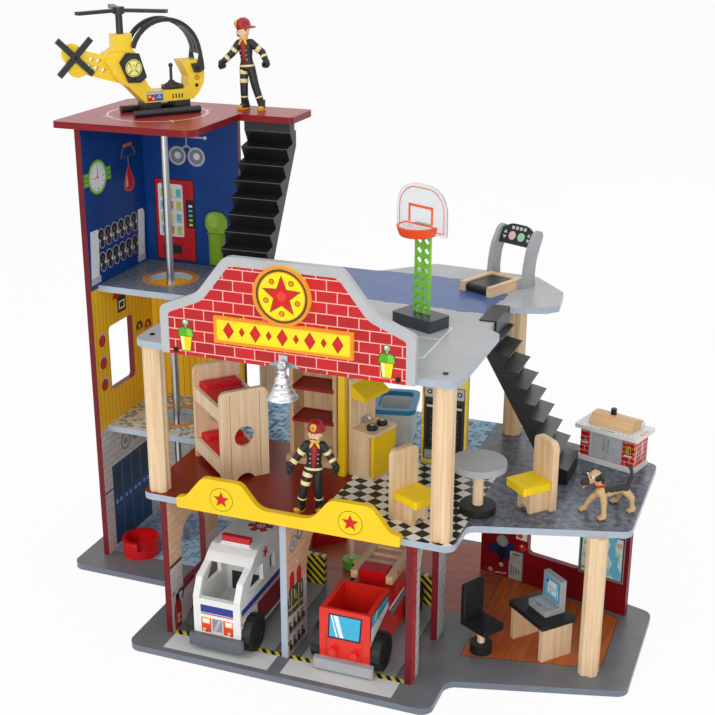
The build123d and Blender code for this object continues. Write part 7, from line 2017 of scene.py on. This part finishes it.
# %% [markdown]
# ## Bell
# The real bell is a thin moulding with a stepped skirt, coated with vacuum-deposited metal. A
# lathe profile gives every step: the list runs down the outside, round the lip and up the inside,
# so the bell is one closed skin. The eye at the top is a flat ring that the pin goes through.
# %% Bell on the lathe
RING_SIDES = 28
BELL_PIVOT = stand(SIGN_MIDDLE, SIGN_FACE - 5.5, SIGN_UNDER + 5.5) @ Matrix.Scale(0.93, 4)
BELL_OUTSIDE = [
    (0.5, -4.6), (3.8, -4.8), (5.3, -5.6), (5.6, -7.0), (5.6, -12.4), (7.4, -13.0), (8.2, -14.6),
    (8.5, -18.8), (9.3, -19.3), (9.3, -20.0), (8.9, -20.4), (9.6, -22.6), (10.6, -24.4),
    (11.4, -24.8), (11.4, -25.6), (11.1, -26.0), (12.1, -28.2), (13.5, -30.4), (14.8, -31.6),
    (15.0, -32.4), (14.8, -32.9), (16.1, -35.2), (17.6, -37.2), (18.4, -38.2), (18.4, -39.4)]
BELL_INSIDE = [(16.8, -39.2), (13.8, -34.2), (10.8, -28.2), (8.4, -21.0), (7.0, -15.6),
               (3.0, -14.6), (0.5, -14.4)]


def turned(bm, place, profile, finish, around=56):
    """A piece from the lathe: profile is a list of (radius, height)."""
    loft(bm, place, [(0, 0, z, r, r) for r, z in profile], finish, around)


def flat_ring(bm, place, inner, outer, half):
    """A flat ring about the origin, whose axis runs front to back."""
    rings = []
    for k in range(RING_SIDES):
        turn = 2 * math.pi * k / RING_SIDES
        c, s = math.cos(turn), math.sin(turn)
        rings.append([bm.verts.new(place @ Vector((r * c, d, r * s))) for r, d in (
            (inner, -half), (outer, -half), (outer, half), (inner, half))])
    for low, high in zip(rings, rings[1:] + rings[:1]):
        for i in range(4):
            j = (i + 1) % 4
            bm.faces.new((low[i], low[j], high[j], high[i]))


bell = bmesh.new()
turned(bell, BELL_PIVOT, BELL_OUTSIDE + BELL_INSIDE, 0)
flat_ring(bell, BELL_PIVOT, 2.1, 5.0, 2.0)
loft(bell, BELL_PIVOT, [(0, 0, -6.4, 2.6, 1.9), (0, 0, -3.4, 2.4, 1.9)], 0, 16)
for side in (-1, 1):
    ball(bell, BELL_PIVOT, side * 2.7, -4.7, -9.4, 1.0, 0.8, 1.0, 1, 6)
    ball(bell, BELL_PIVOT, side * 3.4, -8.8, -22.4, 1.1, 0.9, 1.1, 1, 6)
keep("bell_skin", bell, [BELL_METAL, PLASTIC["black"]], "bell", True, ["bell"])
print("bell turned with", len(BELL_OUTSIDE), "steps outside")

# %% [markdown]
# ## Hoop
# The board is milky clear acrylic with an orange line inside its edge and the shooter's square
# printed on it. The basket is a shallow orange bowl with a white net printed on its floor. The
# bowl is half a circle in plan with straight ends that meet the board, so its rings are listed one
# by one.
# %% Backboard, bowl and net
HOOP_ORANGE = moulded("moulded_plastic_hoop_orange", "#F2501A", 0.26)
NET_WHITE, NET_LINE = "#F1F1EE", "#A9ADB2"
BOARD_FRONT, LINE_GAP, BOWL_MIDDLE, NET_FLOOR = -2.0, 3.6, -8.0, 117.5
BOARD_CORNERS = [(-37, 108, 3), (37, 108, 3), (37, 163, 28), (-37, 163, 28)]


def line_round(outline, width, code):
    """Shapes for a printed line that follows a closed outline, on its inner side."""
    count = len(outline)
    inner = []
    for i, here in enumerate(outline):
        before, after = Vector(outline[i - 1]), Vector(outline[(i + 1) % count])
        run = (after - before).normalized()
        inner.append((here[0] - run.y * width, here[1] + run.x * width))
    return [(code, [outline[i], outline[(i + 1) % count], inner[(i + 1) % count], inner[i]], 0)
            for i in range(count)]


board_outline = softened(BOARD_CORNERS, 10)
board = bmesh.new()
rings_to_skin(board, [[board.verts.new(HOOP @ Vector((x, y, z))) for x, z in board_outline]
                      for y in (BOARD_FRONT, 0.0)], 0)
keep("hoop_board", board, [ACRYLIC], "station", False, ["hoop_backboard"])
print_line = softened(inset([(x, z, max(r - LINE_GAP, 0.5)) for x, z, r in BOARD_CORNERS],
                            LINE_GAP), 8)
shapes = line_round(print_line, 1.1, "#EE5A22") + [("#F0622A", rect(*bar), 0) for bar in (
    (-19.5, 119, -16.5, 139.5), (14, 119, 17, 139.5), (-16.5, 136.5, 14, 139.5))]
prints("hoop_board_print", face_of(HOOP, "front", (0, BOARD_FRONT, 0)), shapes)


def half_round(radius, back, step_degrees=9):
    """Half a circle in front of the board, with straight ends that run back to a line."""
    turns = [math.radians(a) for a in range(180, 361, step_degrees)]
    return [(radius * math.cos(a), BOWL_MIDDLE + radius * math.sin(a)) for a in turns] + [
        (radius, back), (-radius, back)]


bowl = bmesh.new()
BOWL_RINGS = (                         # radius, height, and where the straight ends stop
    (19.2, 107.0, -2.05), (20.6, 108.2, -2.05), (23.4, 116.4, -2.05), (24.0, 117.4, -2.05),
    (23.6, 118.2, -2.05), (21.6, 118.4, -4.0), (21.2, 117.9, -4.4), (20.9, NET_FLOOR, -4.6))
rings_to_skin(bowl, [[bowl.verts.new(HOOP @ Vector((x, y, z))) for x, y in half_round(r, back)]
                     for r, z, back in BOWL_RINGS], 0)
keep("hoop_bowl", bowl, [HOOP_ORANGE], "station", False, ["hoop_backboard"])
shapes = [(NET_WHITE, half_round(20.4, -5.4), 0)]
shapes += [(NET_LINE, ray(0, BOWL_MIDDLE, 6, 20, 90 - a, 0.5), 1) for a in range(195, 360, 15)]
for radius in (6.0, 11.0, 16.0):
    knots = half_round(radius, 0, 15)[:-2]
    shapes += [(NET_LINE, strip(*a, *b, 0.5), 2) for a, b in zip(knots, knots[1:])]
prints("hoop_net_print", face_of(HOOP, "up", (0, 0, NET_FLOOR)), shapes)
print("hoop made")

# %% [markdown]
# ## Kitchen and bunk details
# The burners are thick black domes with a bright ring, and the tap is a bent chromed wire. The end
# panels of the bunk are planed from three boards, whose joints show as fine dark grooves.
# %% Burners, tap and plank joints
COUNTER = 60.0
BURNER = [(6.4, 0.02), (6.6, 0.5), (6.6, 4.2), (6.2, 5.0), (4.8, 5.3), (0.4, 5.4)]
stove = bmesh.new()
for x in (13.8, 33.12):
    spot = KITCHEN @ Matrix.Translation((x, -24.0, COUNTER))
    turned(stove, spot, BURNER, 0, 32)
    turned(stove, spot, [(2.2, 5.2), (2.2, 5.8), (1.4, 6.0)], 1, 20)
sweep(stove, KITCHEN, [(23, -7, COUNTER, 1.5), (23, -7, 67, 1.3), (23, -8.4, 69.6, 1.2),
                       (23, -11, 70.2, 1.2), (23, -13, 68.4, 1.2), (23, -13.4, 66.2, 1.2)], 1, 12)
keep("kitchen_burners_and_tap", stove, [PLASTIC["black"], BELL_METAL], "station", True)
for name, way, x in (("near", "left", 0.0), ("far", "right", 90.0)):
    prints("bunk_joints_" + name, face_of(BUNK, way, (x, 0, 0)),
           [("#B48A5E", rect(y, 0.6, y + 0.8, 108.0), 0) for y in (-12.4, -49.6)])
print("kitchen and bunk details made")

# %% [markdown]
# ## Mattresses and pillows
# Four small cushions of red cloth lie in the bunk. A cushion is cloth round a filling, so it is
# made as one: a slightly small block is remeshed into even quads, Blender's Cloth blows it up from
# inside, and a cap keeps each point near its start, as a tight cover does. One subdivision then
# smooths it.
# %% Padded cushions
VOXEL, PUFF_FRAMES, PUFF_PRESSURE = 3.0, 20, 4.0


def padded_form(name, low, high, cap_mm):
    """A crowned cushion in the bunk's own millimetres, between two corners."""
    draw_in = cap_mm * 0.75
    bm = bmesh.new()
    bmesh.ops.create_cube(bm, size=1.0)
    middle = [(a + b) / 2 for a, b in zip(low, high)]
    for vertex in bm.verts:
        vertex.co = BUNK @ Vector([m + 2 * v * ((b - a) / 2 - draw_in) for m, v, a, b in zip(
            middle, vertex.co, low, high)])
    bmesh.ops.bevel(bm, geom=bm.edges, offset=2.0 * MM, segments=2, affect="EDGES")
    mesh = bpy.data.meshes.new(name)
    bm.to_mesh(mesh)
    bm.free()
    pad = added(name + "_pad", mesh)
    remesh = pad.modifiers.new("even", "REMESH")
    remesh.mode, remesh.voxel_size = "VOXEL", VOXEL * MM
    even = worked_out(pad)
    pad.modifiers.remove(remesh)
    pad.data = even
    start = [v.co.copy() for v in even.vertices]
    puffed = start
    cloth = pad.modifiers.new("puff", "CLOTH")
    cloth.settings.use_pressure = True
    cloth.settings.uniform_pressure_force = PUFF_PRESSURE
    cloth.settings.effector_weights.gravity = 0.0
    for frame_number in range(1, PUFF_FRAMES + 1):
        bpy.context.scene.frame_set(frame_number)
    blown = pad.evaluated_get(bpy.context.evaluated_depsgraph_get())
    puffed = [v.co.copy() for v in blown.data.vertices]
    pad.modifiers.remove(cloth)
    moves = [new - old for old, new in zip(start, puffed)]
    farthest = max(move.length for move in moves) / MM
    back = BUNK.inverted()
    for vertex, old, move in zip(even.vertices, start, moves):
        if move.length > cap_mm * MM:
            move = move.normalized() * cap_mm * MM
        spot = back @ (old + move)
        share = [(c - m) / ((b - a) / 2) for c, m, a, b in zip(spot, middle, low, high)]
        crown = 1.0 - 0.2 * max(abs(share[0]), abs(share[1])) ** 6
        height = middle[2] + (spot.z - middle[2]) * (crown if spot.z > middle[2] else 1.0)
        inside_box = Vector([min(max(c, a), b) for c, a, b in zip(
            (spot.x, spot.y, height), low, high)])
        vertex.co = BUNK @ inside_box
    smooth = pad.modifiers.new("smooth", "SUBSURF")
    smooth.levels = smooth.render_levels = 1
    done = worked_out(pad)
    bpy.data.objects.remove(pad)
    done.polygons.foreach_set("use_smooth", [True] * len(done.polygons))
    bpy.context.scene.frame_set(1)
    piece = piece_of(done, name, [RED_CLOTH], "station", ["bunk_mattresses"])
    print(name, "faces:", len(done.polygons), "farthest puff in mm:", round(farthest, 2))


for tier, lift in (("lower", 13.0), ("upper", 80.24)):
    padded_form("mattress_" + tier, (6.4, -54.6, lift), (83.6, -5.4, lift + 13.0), 0.9)
    padded_form("pillow_" + tier, (63.6, -53.6, lift + 12.0), (83.6, -6.4, lift + 19.5), 1.2)
print("cushions made")

# %% [markdown]
# ## The end of the scene
# %% The end of the scene
print("scene built")
